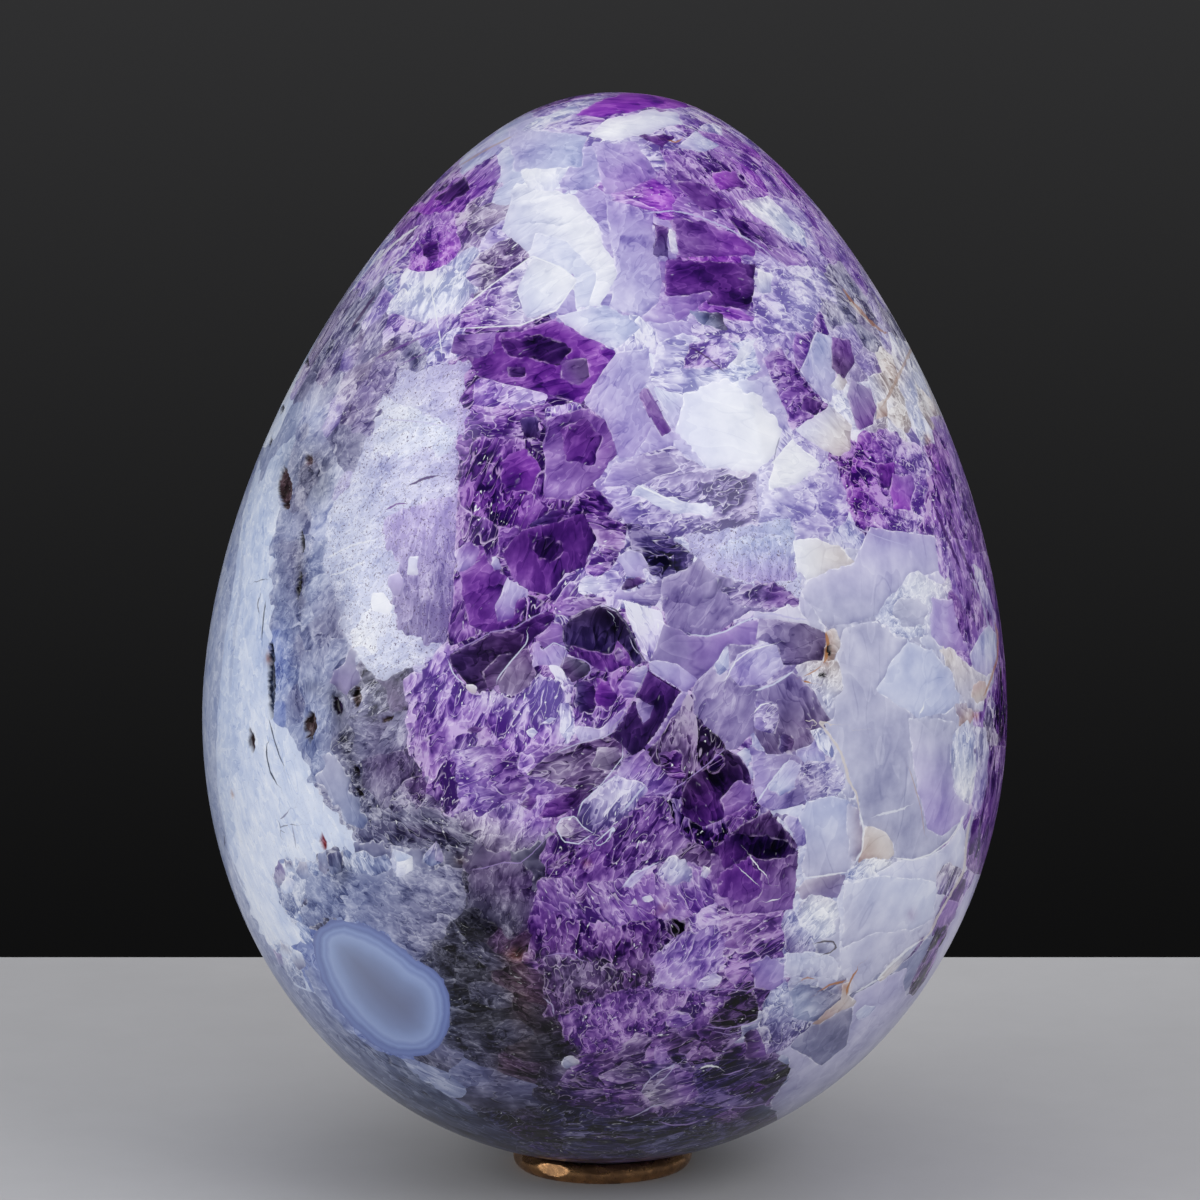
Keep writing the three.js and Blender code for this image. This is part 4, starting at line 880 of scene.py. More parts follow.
VEINS: tuple[Vein, ...] = (
    # Cracks in the rind
    Vein(Tint.NAVY, 0.22, ((-56.2, 95.6), (-56.6, 92.6), (-56.8, 89.5)), 0.25, 0.8),
    Vein(Tint.NAVY, 0.2, ((-55.6, 76.2), (-54.8, 73), (-54, 70.4), (-53, 68.2)), 0.2, 0.85),
    Vein(Tint.NAVY, 0.24, ((-55.9, 72.6), (-56.1, 70.4), (-55.4, 67.4), (-54.2, 65.3)), 0.2, 0.9),
    Vein(Tint.SLATE, 0.2, ((-57.8, 98.9), (-57, 99.3), (-56.2, 99.5)), 0.3, 0.8),
    Vein(Tint.SLATE, 0.2, ((-57.2, 96.8), (-57.5, 95.2), (-57.3, 93.8)), 0.4, 0.7),
    Vein(Tint.SLATE, 0.2, ((-54, 59.4), (-53.8, 58.2), (-52, 58.9), (-50.8, 58.6)), 0.3, 0.6),
    Vein(Tint.GREY, 0.3, ((-53.4, 59.8), (-52.4, 61)), 0.3, 0.8),
    Vein(Tint.GREY, 0.25, ((-51.8, 58.6), (-51.4, 56.6), (-51.2, 55)), 0.3, 0.6),
    Vein(Tint.SLATE, 0.2, ((-63.1, 57), (-62.8, 55.4)), 0.2, 0.8),
    Vein(Tint.STEEL, 0.3, ((-61.6, 52.6), (-60.6, 50.2), (-59.4, 47.6)), 0.3, 0.6),
    Vein(Tint.STEEL, 0.5, ((-59.9, 104), (-60.6, 96), (-61.6, 88), (-62.2, 80)), 0.4, 0.25),
    # Bright borders of the dark crystals
    Vein(Tint.FROST, 0.24, (
        (-12.9, 90.8), (-12.7, 90), (-13, 88.8), (-15.4, 86), (-17.4, 83.6), (-18, 82.4)), 0.3, 0.8),
    Vein(Tint.FROST, 0.19, ((-25.9, 86), (-25.2, 84), (-24.4, 83), (-23.2, 82.1)), 0.2, 0.9),
    Vein(Tint.LILAC, 0.22, (
        (-25.6, 87.3), (-22, 88.9), (-18.8, 90.7), (-15, 91.3), (-12.4, 92.9), (-9.4, 94.4)), 0.2, 0.7),
    Vein(Tint.MAUVE, 0.22, ((-5.6, 93.1), (-3, 94.5), (-0.4, 95.2)), 0.1, 0.9),
    Vein(Tint.SLATE, 0.28, (
        (0, 95.1), (1.8, 94.4), (3.4, 92.4), (4.6, 90), (5.6, 87.6), (6.8, 85.8)), 0.1, 0.9),
    Vein(Tint.FROST, 0.16, ((0.4, 94.2), (1.2, 93.6), (1.6, 92.9)), 0.3, 0.7),
    Vein(Tint.PALE, 0.16, ((4.2, 89.6), (4.7, 88.2), (5.6, 87)), 0.3, 0.8),
    Vein(Tint.LILAC, 0.17, (
        (-5.4, 86.5), (-3.4, 86), (-2.4, 85.2), (-2.3, 84.2), (-3.4, 82.9), (-4, 82.5)), 0.15, 0.9),
    Vein(Tint.FROST, 0.18, ((-10.4, 87.6), (-8.3, 89), (-7.6, 88.6), (-6.2, 87.9)), 0.15, 0.8),
    Vein(Tint.PALE, 0.14, ((-6.3, 87.8), (-6.8, 86), (-7, 85.2)), 0.15, 0.8),
    Vein(Tint.MAUVE, 0.16, ((0.2, 74), (2.6, 76.2), (4.6, 79.4), (6.1, 82.2), (7.1, 84.6)), 0.1, 0.7),
    Vein(Tint.PALE, 0.19, ((-8, 70.7), (-4.2, 72.3), (0, 73.3), (1.6, 74.2)), 0.12, 0.8),
    Vein(Tint.FROST, 0.17, ((2.9, 71.6), (3, 70), (1, 67.4), (-0.6, 65.4), (-2.6, 64.4)), 0.15, 0.8),
    Vein(Tint.PALE, 0.22, ((7.2, 84.5), (9.6, 82.9), (12.9, 80.9)), 0.05, 0.9),
    Vein(Tint.INK, 0.22, ((7, 84.3), (9.6, 82.6), (12.7, 80.7)), 0.05, 0.9),
    Vein(Tint.LILAC, 0.18, ((13.7, 66.3), (16.8, 68.6), (20, 71.4)), 0.1, 0.9),
    Vein(Tint.LILAC, 0.16, ((20, 71.5), (22.6, 70), (24.1, 67.4), (24.5, 64.6), (24.2, 62.4)), 0.1, 0.8),
    Vein(Tint.FROST, 0.26, ((14, 90.3), (17, 90), (20, 90.8), (22.4, 92.2), (25.4, 93.3)), 0.3, 0.8),
    Vein(Tint.PALE, 0.36, ((25, 93.2), (27.6, 93.8), (30, 93.2), (33.4, 92.7)), 0.9, 0.8),
    Vein(Tint.WHITE, 0.26, ((20, 82.8), (21.6, 85.8), (24, 87.6), (28.2, 88.8)), 0.4, 0.75),
    Vein(Tint.FROST, 0.36, ((25, 81), (28, 82), (31.2, 84.2)), 0.3, 0.85),
    Vein(Tint.WHITE, 0.25, ((24.8, 77.4), (25.8, 78.6), (27.4, 79)), 0.5, 0.9),
    # White outlines and veils
    Vein(Tint.MILK, 0.29, ((25.2, 62.4), (27, 65.2), (29, 67.8), (30.4, 69.4)), 0.4, 0.9),
    Vein(Tint.CREAM, 0.4, (
        (38, 75.4), (35.4, 75.9), (37.2, 73.6), (39, 71), (39.9, 68.4), (40.4, 66), (41.6, 64.2),
        (42.2, 61)), 0.5, 0.85),
    Vein(Tint.WHITE, 0.29, ((42.2, 61), (42.9, 58), (42.6, 54.4), (41.4, 52.4)), 0.2, 0.7),
    Vein(Tint.WHITE, 0.29, ((33.4, 50), (36, 50.3), (40, 50.9)), 0.2, 0.7),
    Vein(Tint.WHITE, 0.24, ((48, 53.3), (51, 52.9), (54, 53.9), (57, 56.2), (59.4, 59.4)), 0.15, 0.85),
    Vein(Tint.WHITE, 0.43, ((57.6, 56.6), (58.6, 58.4), (59.6, 60.4)), 0.8, 0.8),
    Vein(Tint.WHITE, 0.43, ((45, 60.4), (48, 61), (50, 61.6)), 0.6, 0.6),
    Vein(Tint.TAN, 0.16, ((50.4, 68.2), (51.3, 65.4), (52.4, 61.4), (53, 57)), 0.15, 0.6),
    Vein(Tint.WHITE, 0.36, ((52.3, 77.2), (52.9, 78.6)), 0.2, 0.9),
    Vein(Tint.OCHRE, 0.3, ((64.6, 92.4), (65.1, 90), (65.1, 86.4), (64, 83), (62.8, 80)), 0.3, 0.6),
    Vein(Tint.CREAM, 0.4, (
        (60.6, 60.4), (59.9, 56), (59.6, 51.4), (57.2, 47), (55.2, 43.6), (54, 41),
        (52.4, 39.4)), 0.4, 0.7),
    Vein(Tint.OCHRE, 0.3, ((42, 35), (40.9, 33.4), (40.3, 32), (40, 30.6)), 0.3, 0.9),
    Vein(Tint.OCHRE, 0.3, ((35.6, 31.2), (37.4, 32.3), (39.8, 32.9)), 0.4, 0.85),
    Vein(Tint.OCHRE, 0.26, ((32.6, 33), (33.6, 33.5), (34.6, 33.2)), 0.4, 0.7),
    Vein(Tint.BROWN, 0.26, (
        (34.8, 39.1), (36.4, 39.5), (37.8, 39.4), (38.4, 38.5), (37.4, 37.6), (36, 37.2)), 0.3, 0.8),
    Vein(Tint.OCHRE, 0.3, ((33, 82.6), (34.2, 82.2)), 0.3, 0.9),
    Vein(Tint.OCHRE, 0.26, ((33, 83.4), (34.4, 84), (35.8, 85)), 0.3, 0.7),
    Vein(Tint.OCHRE, 0.5, ((36.7, 90.6), (37, 88.6), (36.7, 86.8), (36.4, 85.6)), 0.5, 0.8),
    Vein(Tint.WHITE, 0.36, ((45, 33), (47.4, 35.6), (50, 38), (52.6, 39.8)), 0.5, 0.7),
    Vein(Tint.WHITE, 0.29, ((41.6, 31), (45, 33), (46.4, 33.8)), 0.4, 0.7),
    Vein(Tint.FROST, 0.24, ((-4.5, 60.3), (-3.8, 62.4), (-1.6, 64.4), (2, 67)), 0.3, 0.8),
    Vein(Tint.FROST, 0.22, ((-8.1, 58.3), (-7.2, 59.8), (-5, 60.2), (-3.6, 58.4), (-2, 57.4)), 0.2, 0.9),
    Vein(Tint.FROST, 0.22, ((-8.1, 58.3), (-6.8, 55.9), (-4.4, 55.6), (-2.4, 57)), 0.3, 0.9),
    Vein(Tint.FROST, 0.2, (
        (-2, 55.4), (-0.2, 57), (1.5, 58.5), (1.7, 57.5), (0, 55.8), (-1.6, 55)), 0.15, 0.9),
    Vein(Tint.FROST, 0.22, ((3, 48.4), (4.6, 50.4), (9, 52.6)), 0.3, 0.8),
    Vein(Tint.FROST, 0.36, ((3, 61), (5, 63.4), (6.6, 65.2)), 0.6, 0.7),
    Vein(Tint.LILAC, 0.22, ((8, 63.8), (10.4, 64), (13.4, 66)), 0.4, 0.9),
    Vein(Tint.WHITE, 0.22, ((24, 53.6), (25.4, 51.8), (26.8, 50.2)), 0.8, 0.95),
    Vein(Tint.WHITE, 0.17, ((22.4, 51.6), (24, 50), (25.4, 48.8)), 0.7, 0.8),
    Vein(Tint.WHITE, 0.22, ((27, 46), (28.6, 46.6)), 0.3, 0.9),
    Vein(Tint.LILAC, 0.17, ((8, 32.2), (12, 31.4), (16, 31.4), (20, 31.6), (25, 31.1)), 0.2, 0.8),
    Vein(Tint.LILAC, 0.17, ((-10, 37), (-7.4, 37.5), (-5, 37.2), (-4, 36.3), (-3, 36.2)), 0.2, 0.8),
    Vein(Tint.LILAC, 0.17, (
        (-22, 51.3), (-20, 51.6), (-17, 52.5), (-14, 52.4), (-12, 54), (-9.6, 56.6)), 0.3, 0.7),
    Vein(Tint.LILAC, 0.22, ((17, 25.3), (20, 25), (23, 25.6), (25.4, 26.2)), 0.3, 0.8),
    Vein(Tint.LILAC, 0.19, ((18, 24.6), (20.4, 24), (23, 24.6)), 0.3, 0.6),
    Vein(Tint.LILAC, 0.19, ((19.4, 17.3), (21.4, 17.6), (23.6, 18.6)), 0.3, 0.8),
    Vein(Tint.WHITE, 0.36, ((16, 18.4), (17.4, 18.9), (19, 18.6)), 0.5, 0.85),
    Vein(Tint.PALE, 0.19, (
        (6, 14.5), (7.6, 16.8), (9.4, 18.1), (11.5, 19), (10.6, 17.4), (8, 15.2)), 0.2, 0.8),
    Vein(Tint.PALE, 0.19, ((4, 10.2), (6, 11), (8, 12.2), (10, 12.6)), 0.3, 0.8),
    Vein(Tint.LILAC, 0.24, ((9, 9.6), (11, 9), (13.6, 9.1), (15.4, 9.6)), 0.3, 0.8),
    Vein(Tint.LILAC, 0.16, ((20, 11.8), (24, 12), (26.6, 12.6)), 0.2, 0.7),
    Vein(Tint.PALE, 0.22, ((-10, 30), (-8.8, 29), (-8.4, 27.4)), 0.5, 0.6),
    # Upper half
    Vein(Tint.PALE, 0.29, (
        (6.5, 160), (11, 160.5), (14, 160), (18, 158.6), (22, 156.8), (25, 155), (28, 152.6)), 0.8, 0.85),
    Vein(Tint.WHITE, 0.25, ((-29, 149), (-28.2, 144.6), (-27.4, 140), (-27, 136.6)), 0.3, 0.8),
    Vein(Tint.TAN, 0.3, ((-24, 168), (-20, 170.4), (-15, 173)), 0.2, 0.6),
    Vein(Tint.OCHRE, 0.26, ((10.6, 172.2), (11.8, 171.8), (12.8, 172.4)), 0.3, 0.8),
    Vein(Tint.WHITE, 0.36, ((-38, 152), (-35, 155), (-31, 158)), 0.5, 0.7),
    Vein(Tint.WHITE, 0.29, ((-36, 150.4), (-33, 153.4), (-30.6, 156.4)), 0.5, 0.6),
    Vein(Tint.PLUM, 0.5, ((-42, 141), (-40, 143.8), (-38, 146.5)), 0.3, 0.8),
    Vein(Tint.PURPLE, 0.4, ((-38, 136), (-33, 138.4), (-28, 140.4)), 0.6, 0.6),
    Vein(Tint.PURPLE, 0.3, ((-34, 135), (-30, 136.8), (-26, 138)), 0.6, 0.5),
    Vein(Tint.WHITE, 0.24, ((-24, 144), (-19, 148), (-12, 153), (-7, 151), (-4.5, 149)), 0.15, 0.8),
    Vein(Tint.WHITE, 0.24, ((-4.5, 149), (-8, 144), (-14, 141.5), (-24, 141)), 0.15, 0.8),
    Vein(Tint.PLUM, 0.24, ((14, 138), (17, 136.2), (20, 133.6)), 0.4, 0.8),
    Vein(Tint.GREY, 0.2, ((29, 123), (28.4, 121), (28, 119)), 0.2, 0.7),
    Vein(Tint.DEEP, 0.4, ((-32.2, 115), (-30, 116.2), (-27.5, 116.6)), 0.4, 0.9),
    Vein(Tint.PURPLE, 0.34, ((-36, 111), (-34.4, 112), (-33, 112)), 0.3, 0.9),
    Vein(Tint.PALE, 0.22, ((-37, 126), (-31, 125.6), (-25, 124.6)), 0.3, 0.7),
    Vein(Tint.WHITE, 0.36, ((-46, 103), (-42, 105), (-38, 106)), 0.8, 0.6),
    Vein(Tint.WHITE, 0.36, ((-45.4, 100), (-42.6, 101), (-40, 102.4)), 0.8, 0.6),
    Vein(Tint.WHITE, 0.29, ((5.5, 115), (8.6, 113.6), (12, 112)), 0.4, 0.9),
    Vein(Tint.PALE, 0.17, ((40, 109), (43, 107.4), (46, 106.2), (50, 105)), 0.2, 0.8),
    Vein(Tint.TAN, 0.5, ((46, 128), (48.6, 133), (52.4, 141)), 0.6, 0.6),
    Vein(Tint.OCHRE, 0.5, ((39.4, 147.6), (40.8, 145.6), (43.6, 142.4), (46.6, 140)), 0.6, 0.6),
    Vein(Tint.CREAM, 0.5, ((40, 146), (42.4, 143.4), (45, 141)), 0.6, 0.7),
    Vein(Tint.DEEP, 0.5, ((54.4, 112), (56.4, 107), (59, 101)), 0.7, 0.8),
    Vein(Tint.DEEP, 0.5, ((57, 109), (59.6, 103), (61.4, 99)), 0.7, 0.7),
    Vein(Tint.PALE, 0.29, ((60.4, 101), (62.4, 96), (64, 90)), 0.6, 0.6),
    Vein(Tint.WHITE, 0.22, ((-38.6, 36), (-36.6, 34.2), (-34, 31.4)), 0.2, 0.8),
)

STAINING_AND_PAINTED_LIGHT: tuple[StainOrPaintedLight, ...] = (
    StainOrPaintedLight(Tint.BLUE, (-53.6, 84.6), (1.9, 6.5), 0, 0.85),
    StainOrPaintedLight(Tint.SLATE, (-50.4, 99.5), (0.9, 4.6), 0, 0.6),
    StainOrPaintedLight(Tint.CHARCOAL, (-44.3, 79), (1.3, 3.4), 10, 0.9),
    StainOrPaintedLight(Tint.CHARCOAL, (-42.8, 72), (1.2, 4.6), 14, 0.65),
    StainOrPaintedLight(Tint.CHARCOAL, (-41, 66), (1.3, 3.2), 20, 0.75),
    StainOrPaintedLight(Tint.SLATE, (-38, 61.4), (3.2, 1.9), -20, 0.65),
    StainOrPaintedLight(Tint.SLATE, (-48, 81.4), (2.4, 1.4), -20, 0.5),
    StainOrPaintedLight(Tint.PLUM, (-30, 57.4), (7, 1.5), -4, 0.45),
    StainOrPaintedLight(Tint.SLATE, (-43.6, 50.6), (1.6, 3), -20, 0.6),
    StainOrPaintedLight(Tint.CHARCOAL, (-24, 34), (4, 2.4), -30, 0.55),
    StainOrPaintedLight(Tint.BROWN, (-14, 31), (2.2, 9), 4, 0.75),
    StainOrPaintedLight(Tint.OCHRE, (-14.6, 37), (2.2, 1.2), 0, 0.4),
    StainOrPaintedLight(Tint.BROWN, (-24, 52.8), (1.3, 1.1), 0, 0.95),
    StainOrPaintedLight(Tint.BROWN, (-17, 18.6), (2.2, 3), 0, 0.6),
    # This wide dark band low on the egg, front and back, is painted shade under the egg, over the stone's
    # own deep colour there.
    StainOrPaintedLight(Tint.INK, (0, 9), (34, 3.4), 0, 0.6, True),
    StainOrPaintedLight(Tint.SLATE, (-49.6, 117), (4.6, 7.4), -14, 0.56),
    StainOrPaintedLight(Tint.CHARCOAL, (-46.6, 115), (2.2, 4.4), -20, 0.4),
    StainOrPaintedLight(Tint.SLATE, (-50.4, 101), (0.7, 8), 0, 0.55),
    StainOrPaintedLight(Tint.GREY, (-44.6, 92), (2.6, 9), 0, 0.5),
    # These dark bands and the black patch low on the egg are painted shade under the egg, over the stone's
    # own deep colour there; the lowest band is a painted contact shadow by the ring.
    StainOrPaintedLight(Tint.INDIGO, (0, 3), (40, 4), 0, 0.8, True),
    StainOrPaintedLight(Tint.BLACK, (-12, 8), (7, 3.6), -20, 0.7),
    StainOrPaintedLight(Tint.INDIGO, (0, 16), (30, 5), 0, 0.25, True),
    StainOrPaintedLight(Tint.OCHRE, (61.6, 76.8), (0.6, 0.8), 0, 0.9),
    StainOrPaintedLight(Tint.OCHRE, (39.8, 31.8), (0.9, 1.1), 0, 0.7),
    StainOrPaintedLight(Tint.OCHRE, (36.7, 85.6), (0.5, 0.5), 0, 0.8),
    StainOrPaintedLight(Tint.OCHRE, (-3.2, 52.7), (0.5, 0.5), 0, 0.9),
    StainOrPaintedLight(Tint.OCHRE, (9.2, 44.6), (1.3, 0.5), 14, 0.95),
    StainOrPaintedLight(Tint.TAN, (48, 134), (3, 5), -20, 0.35),
    StainOrPaintedLight(Tint.OCHRE, (53.5, 122.5), (0.7, 1), 0, 0.7),
    StainOrPaintedLight(Tint.OCHRE, (-49, 119), (0.5, 0.6), 0, 0.8),
    StainOrPaintedLight(Tint.OCHRE, (-61.6, 63.6), (0.25, 0.5), 0, 0.8),
    StainOrPaintedLight(Tint.OCHRE, (-55.8, 86.4), (0.4, 1.1), 0, 0.7),
    StainOrPaintedLight(Tint.PURPLE, (50.8, 43.8), (0.9, 1.1), 0, 0.5),
    # These two white patches are painted highlights, reflections of softboxes on the polish.
    StainOrPaintedLight(Tint.WHITE, (-33, 127), (5, 3), 30, 0.5),
    StainOrPaintedLight(Tint.WHITE, (20, 127), (6, 5), 0, 0.4),
)

ZONES: tuple[Zone, ...] = (
    Zone((-58, 112), (3, 14), -14, (Tint.RIND, Tint.CHALK, Tint.STEEL), Kind.RIND, 6.0),
    Zone((-52.5, 100), (2.4, 16), 0, (Tint.STEEL, Tint.CLOUD, Tint.GREY), Kind.HAZY, 4.0),
    Zone((-47, 92), (3.2, 16), 0, (Tint.STEEL, Tint.CLOUD, Tint.GREY), Kind.HAZY, 4.2),
    Zone((-47, 118), (4, 14), -14, (Tint.CLOUD, Tint.ICE, Tint.GREY, Tint.ICE), Kind.HAZY, 3.6),
    Zone(
        (-40, 134),
        (5, 9), -20, (Tint.MAUVE, Tint.LAVENDER, Tint.SLATE_LAVENDER, Tint.GREY), Kind.MOTTLED, 3.8),
    Zone((-53, 84), (2, 8), 0, (Tint.STEEL, Tint.RIND, Tint.BLUE), Kind.HAZY, 3.4),
    Zone((-48, 74), (3, 8), -14, (Tint.STEEL, Tint.GREY, Tint.STEEL), Kind.HAZY, 3.0),
    Zone((-42, 74), (3, 10), 10, (Tint.SLATE, Tint.GREY, Tint.GREY), Kind.DRUSE, 3.0),
    Zone((-35, 74), (5, 8), 0, (Tint.GREY, Tint.SLATE_VIOLET, Tint.SLATE), Kind.HAZY, 4.0),
    Zone((-30, 66), (6, 5), -20, (Tint.GREY, Tint.SLATE_VIOLET, Tint.SLATE_LAVENDER), Kind.DRUSE, 3.6),
    # The pale small crystals of the frosted zone are painted paler as the reflection of a softbox.
    Zone((-35, 108), (7, 14), 0, (Tint.PALE, Tint.FROST, Tint.LAVENDER), Kind.FROSTED, 5.0),
    Zone((-30, 146), (7, 6), 30, (Tint.ICE, Tint.LAVENDER, Tint.LILAC, Tint.FROST), Kind.SHARDED, 4.0),
    Zone((-22, 158), (8, 8), 40, (Tint.LAVENDER, Tint.LILAC, Tint.MAUVE, Tint.AMETHYST), Kind.SHARDED, 3.8),
    Zone((-12, 165), (9, 7), 0, (Tint.ICE, Tint.MILK, Tint.LAVENDER), Kind.CLEAR, 5.0),
    Zone((4, 174), (12, 4), 0, (Tint.PURPLE, Tint.LILAC, Tint.FROST, Tint.LAVENDER), Kind.SHARDED, 3.6),
    Zone((18, 158), (9, 9), -40, (Tint.MAGENTA, Tint.ORCHID, Tint.LILAC, Tint.ORCHID), Kind.STREAKED, 4.0),
    Zone((31, 152), (6, 8), -50, (Tint.LILAC, Tint.ORCHID, Tint.LAVENDER), Kind.STREAKED, 3.6),
    Zone((32, 140), (7, 6), 0, (Tint.LAVENDER, Tint.PALE, Tint.ORCHID), Kind.SHARDED, 4.2),
    Zone((42, 142), (5, 7), -40, (Tint.GREY, Tint.MAUVE, Tint.LAVENDER, Tint.PALE), Kind.DRUSE, 3.4),
    Zone((48, 128), (5, 8), -20, (Tint.CREAM, Tint.MILK, Tint.FROST, Tint.MILK), Kind.SHARDED, 3.6),
    Zone((47, 115), (6, 8), 0, (Tint.ORCHID, Tint.VIVID, Tint.PALE, Tint.PURPLE), Kind.SHARDED, 3.8),
    Zone((33, 115), (6, 8), 0, (Tint.PALE, Tint.LAVENDER, Tint.ICE), Kind.STREAKED, 5.0),
    Zone((12, 130), (11, 8), 0, (Tint.PALE, Tint.ICE, Tint.LAVENDER, Tint.MILK), Kind.CLEAR, 5.0),
    Zone((6, 148), (7, 8), 0, (Tint.LAVENDER, Tint.LILAC, Tint.PALE), Kind.CLEAR, 4.6),
    Zone((14, 106), (8, 6), 0, (Tint.LAVENDER, Tint.SLATE_LAVENDER, Tint.ICE), Kind.SHARDED, 4.4),
    Zone((-14, 112), (8, 16), 0, (Tint.PURPLE, Tint.AMETHYST, Tint.VIOLET, Tint.ORCHID), Kind.SHARDED, 4.6),
    Zone(
        (-10, 84),
        (9, 10), -30, (Tint.LILAC, Tint.LAVENDER, Tint.AMETHYST, Tint.PURPLE), Kind.SHARDED, 3.8),
    Zone((-16, 68), (9, 6), 20, (Tint.ORCHID, Tint.LILAC, Tint.AMETHYST), Kind.STREAKED, 4.0),
    Zone((6, 76), (10, 8), 0, (Tint.AMETHYST, Tint.PURPLE, Tint.LILAC, Tint.INDIGO), Kind.SHARDED, 4.2),
    Zone((10, 54), (11, 9), 0, (Tint.PURPLE, Tint.AMETHYST, Tint.ORCHID, Tint.PLUM), Kind.STREAKED, 4.2),
    Zone((0, 34), (11, 9), 0, (Tint.PLUM, Tint.PURPLE, Tint.AMETHYST), Kind.STREAKED, 4.4),
    Zone((20, 34), (8, 8), 0, (Tint.PURPLE, Tint.ORCHID, Tint.DEEP, Tint.LILAC), Kind.SHARDED, 3.6),
    Zone(
        (12, 18), (14, 6), 0, (Tint.PLUM, Tint.SLATE_VIOLET, Tint.PURPLE, Tint.INDIGO), Kind.STREAKED, 4.0),
    # The dark small crystals at the very bottom are partly painted shade under the egg.
    Zone((0, 6), (26, 4), 0, (Tint.INDIGO, Tint.INK, Tint.NAVY), Kind.STREAKED, 5.0),
    Zone((-12, 26), (4, 14), 0, (Tint.BROWN, Tint.CHARCOAL, Tint.PLUM), Kind.HAZY, 4.0),
    Zone((-21, 30), (6, 14), 20, (Tint.SLATE, Tint.CHARCOAL, Tint.SLATE), Kind.HAZY, 4.0),
    Zone((-27, 17), (10, 4), -25, (Tint.HAZE, Tint.SLATE, Tint.STEEL), Kind.RIND, 6.0),
    Zone((-14, 46), (5, 6), 0, (Tint.SLATE_VIOLET, Tint.MAUVE, Tint.SLATE), Kind.SMOOTH, 5.0),
    Zone((-36, 47), (9, 6), 0, (Tint.STEEL, Tint.GREY, Tint.SLATE), Kind.SMOOTH, 5.0),
    Zone((-51, 47), (3, 7), 10, (Tint.RIND, Tint.STEEL, Tint.CHALK), Kind.DRUSE, 2.6),
    Zone((-40, 30), (10, 8), -40, (Tint.STEEL, Tint.BLUE, Tint.RIND), Kind.RIND, 6.0),
    Zone((31, 40), (4, 8), 0, (Tint.ICE, Tint.FROST, Tint.PALE, Tint.SMOOTH), Kind.DRUSE, 3.0),
    Zone((34, 28), (8, 5), 0, (Tint.CLOUD, Tint.HAZE, Tint.ICE), Kind.CLEAR, 4.6),
    Zone((46, 46), (10, 8), 0, (Tint.SMOOTH, Tint.CLOUD, Tint.ICE), Kind.SMOOTH, 8.0),
    Zone((49, 76), (9, 16), 0, (Tint.SMOOTH, Tint.CLOUD, Tint.FROST), Kind.SMOOTH, 8.0),
    Zone((31, 66), (5, 8), 0, (Tint.LAVENDER, Tint.ICE, Tint.SLATE_LAVENDER), Kind.CLEAR, 4.2),
    Zone((42, 100), (9, 6), 0, (Tint.SMOOTH, Tint.PALE, Tint.WHITE), Kind.SMOOTH, 7.0),
    Zone((61, 92), (3, 16), 10, (Tint.ORCHID, Tint.PURPLE, Tint.LILAC, Tint.PALE), Kind.STREAKED, 4.0),
    Zone((62, 62), (3, 12), -10, (Tint.AMETHYST, Tint.PURPLE, Tint.LILAC), Kind.STREAKED, 4.0),
    Zone((56, 40), (4, 10), -30, (Tint.PURPLE, Tint.HAZE, Tint.LILAC, Tint.PLUM), Kind.STREAKED, 4.0),
    Zone((44, 20), (12, 7), 30, (Tint.HAZE, Tint.CLOUD, Tint.STEEL), Kind.SMOOTH, 8.0),
)

PITS: tuple[Pit, ...] = (
    Pit((-55.3, 88.6), (-55.2, 76.6), 0.62, 0.9, Tint.NAVY),
    Pit((-48.8, 77), (-48.9, 73.4), 1.1, 0.9, Tint.BROWN),
    Pit((-41, 81.3), (-41.2, 78.6), 0.7, 0.7, Tint.BROWN),
    Pit((-36.8, 75.9), (-35.2, 76.6), 0.45, 0.5, Tint.BROWN),
    Pit((-58.7, 74.2), (-58.4, 71.2), 0.5, 0.5, Tint.BROWN),
    Pit((-44.6, 79.6), (-44, 77.2), 0.8, 0.6, Tint.BLACK),
    Pit((-46.8, 56.6), (-46.4, 54.9), 0.55, 0.3, Tint.RED),
    Pit((-53.2, 117.4), (-52.8, 111.6), 1.2, 1.0, Tint.BROWN),
    Pit((-49.4, 120), (-48.7, 118.8), 0.6, 0.6, Tint.BROWN),
    Pit((-50.2, 107.4), (-50, 104), 0.35, 0.4, Tint.CHARCOAL),
    Pit((-50.4, 100.6), (-50.9, 96.4), 0.4, 0.5, Tint.CHARCOAL),
    Pit((37.2, 88.6), (37.2, 87), 0.4, 0.7, Tint.BLACK),
    Pit((35.4, 83.2), (36.3, 83.7), 0.42, 0.6, Tint.BLACK),
    Pit((-41.4, 68.6), (-40.9, 67), 0.5, 0.4, Tint.BLACK),
    Pit((-41, 64.6), (-40, 63.4), 0.4, 0.4, Tint.BLACK),
    Pit((-49.6, 136.2), (-49.3, 134.8), 0.4, 0.4, Tint.BLACK),
    Pit((-55.7, 123), (-55.4, 121.8), 0.4, 0.4, Tint.BLACK),
    Pit((-53.7, 128.6), (-53.4, 127.4), 0.4, 0.4, Tint.BLACK),
)


def waves(points: np.ndarray, length: float, seed: int) -> np.ndarray:
    """Smooth seeded noise made of a few crossing waves.

    Args:
        points: Places, one per row, in two or three dimensions.
        length: Typical distance between crests.
        seed: Which noise.

    Returns:
        One value from about -1 to 1 for each place.
    """
    rng = np.random.default_rng(seed)
    total = np.zeros(len(points))
    for _ in range(WAVE_COUNT):
        direction = rng.normal(size=points.shape[1])
        direction *= math.tau / length * rng.uniform(*WAVE_SPREAD) / np.linalg.norm(direction)
        total += np.sin(points @ direction + rng.uniform(0, math.tau))
    return total / WAVE_LEVEL


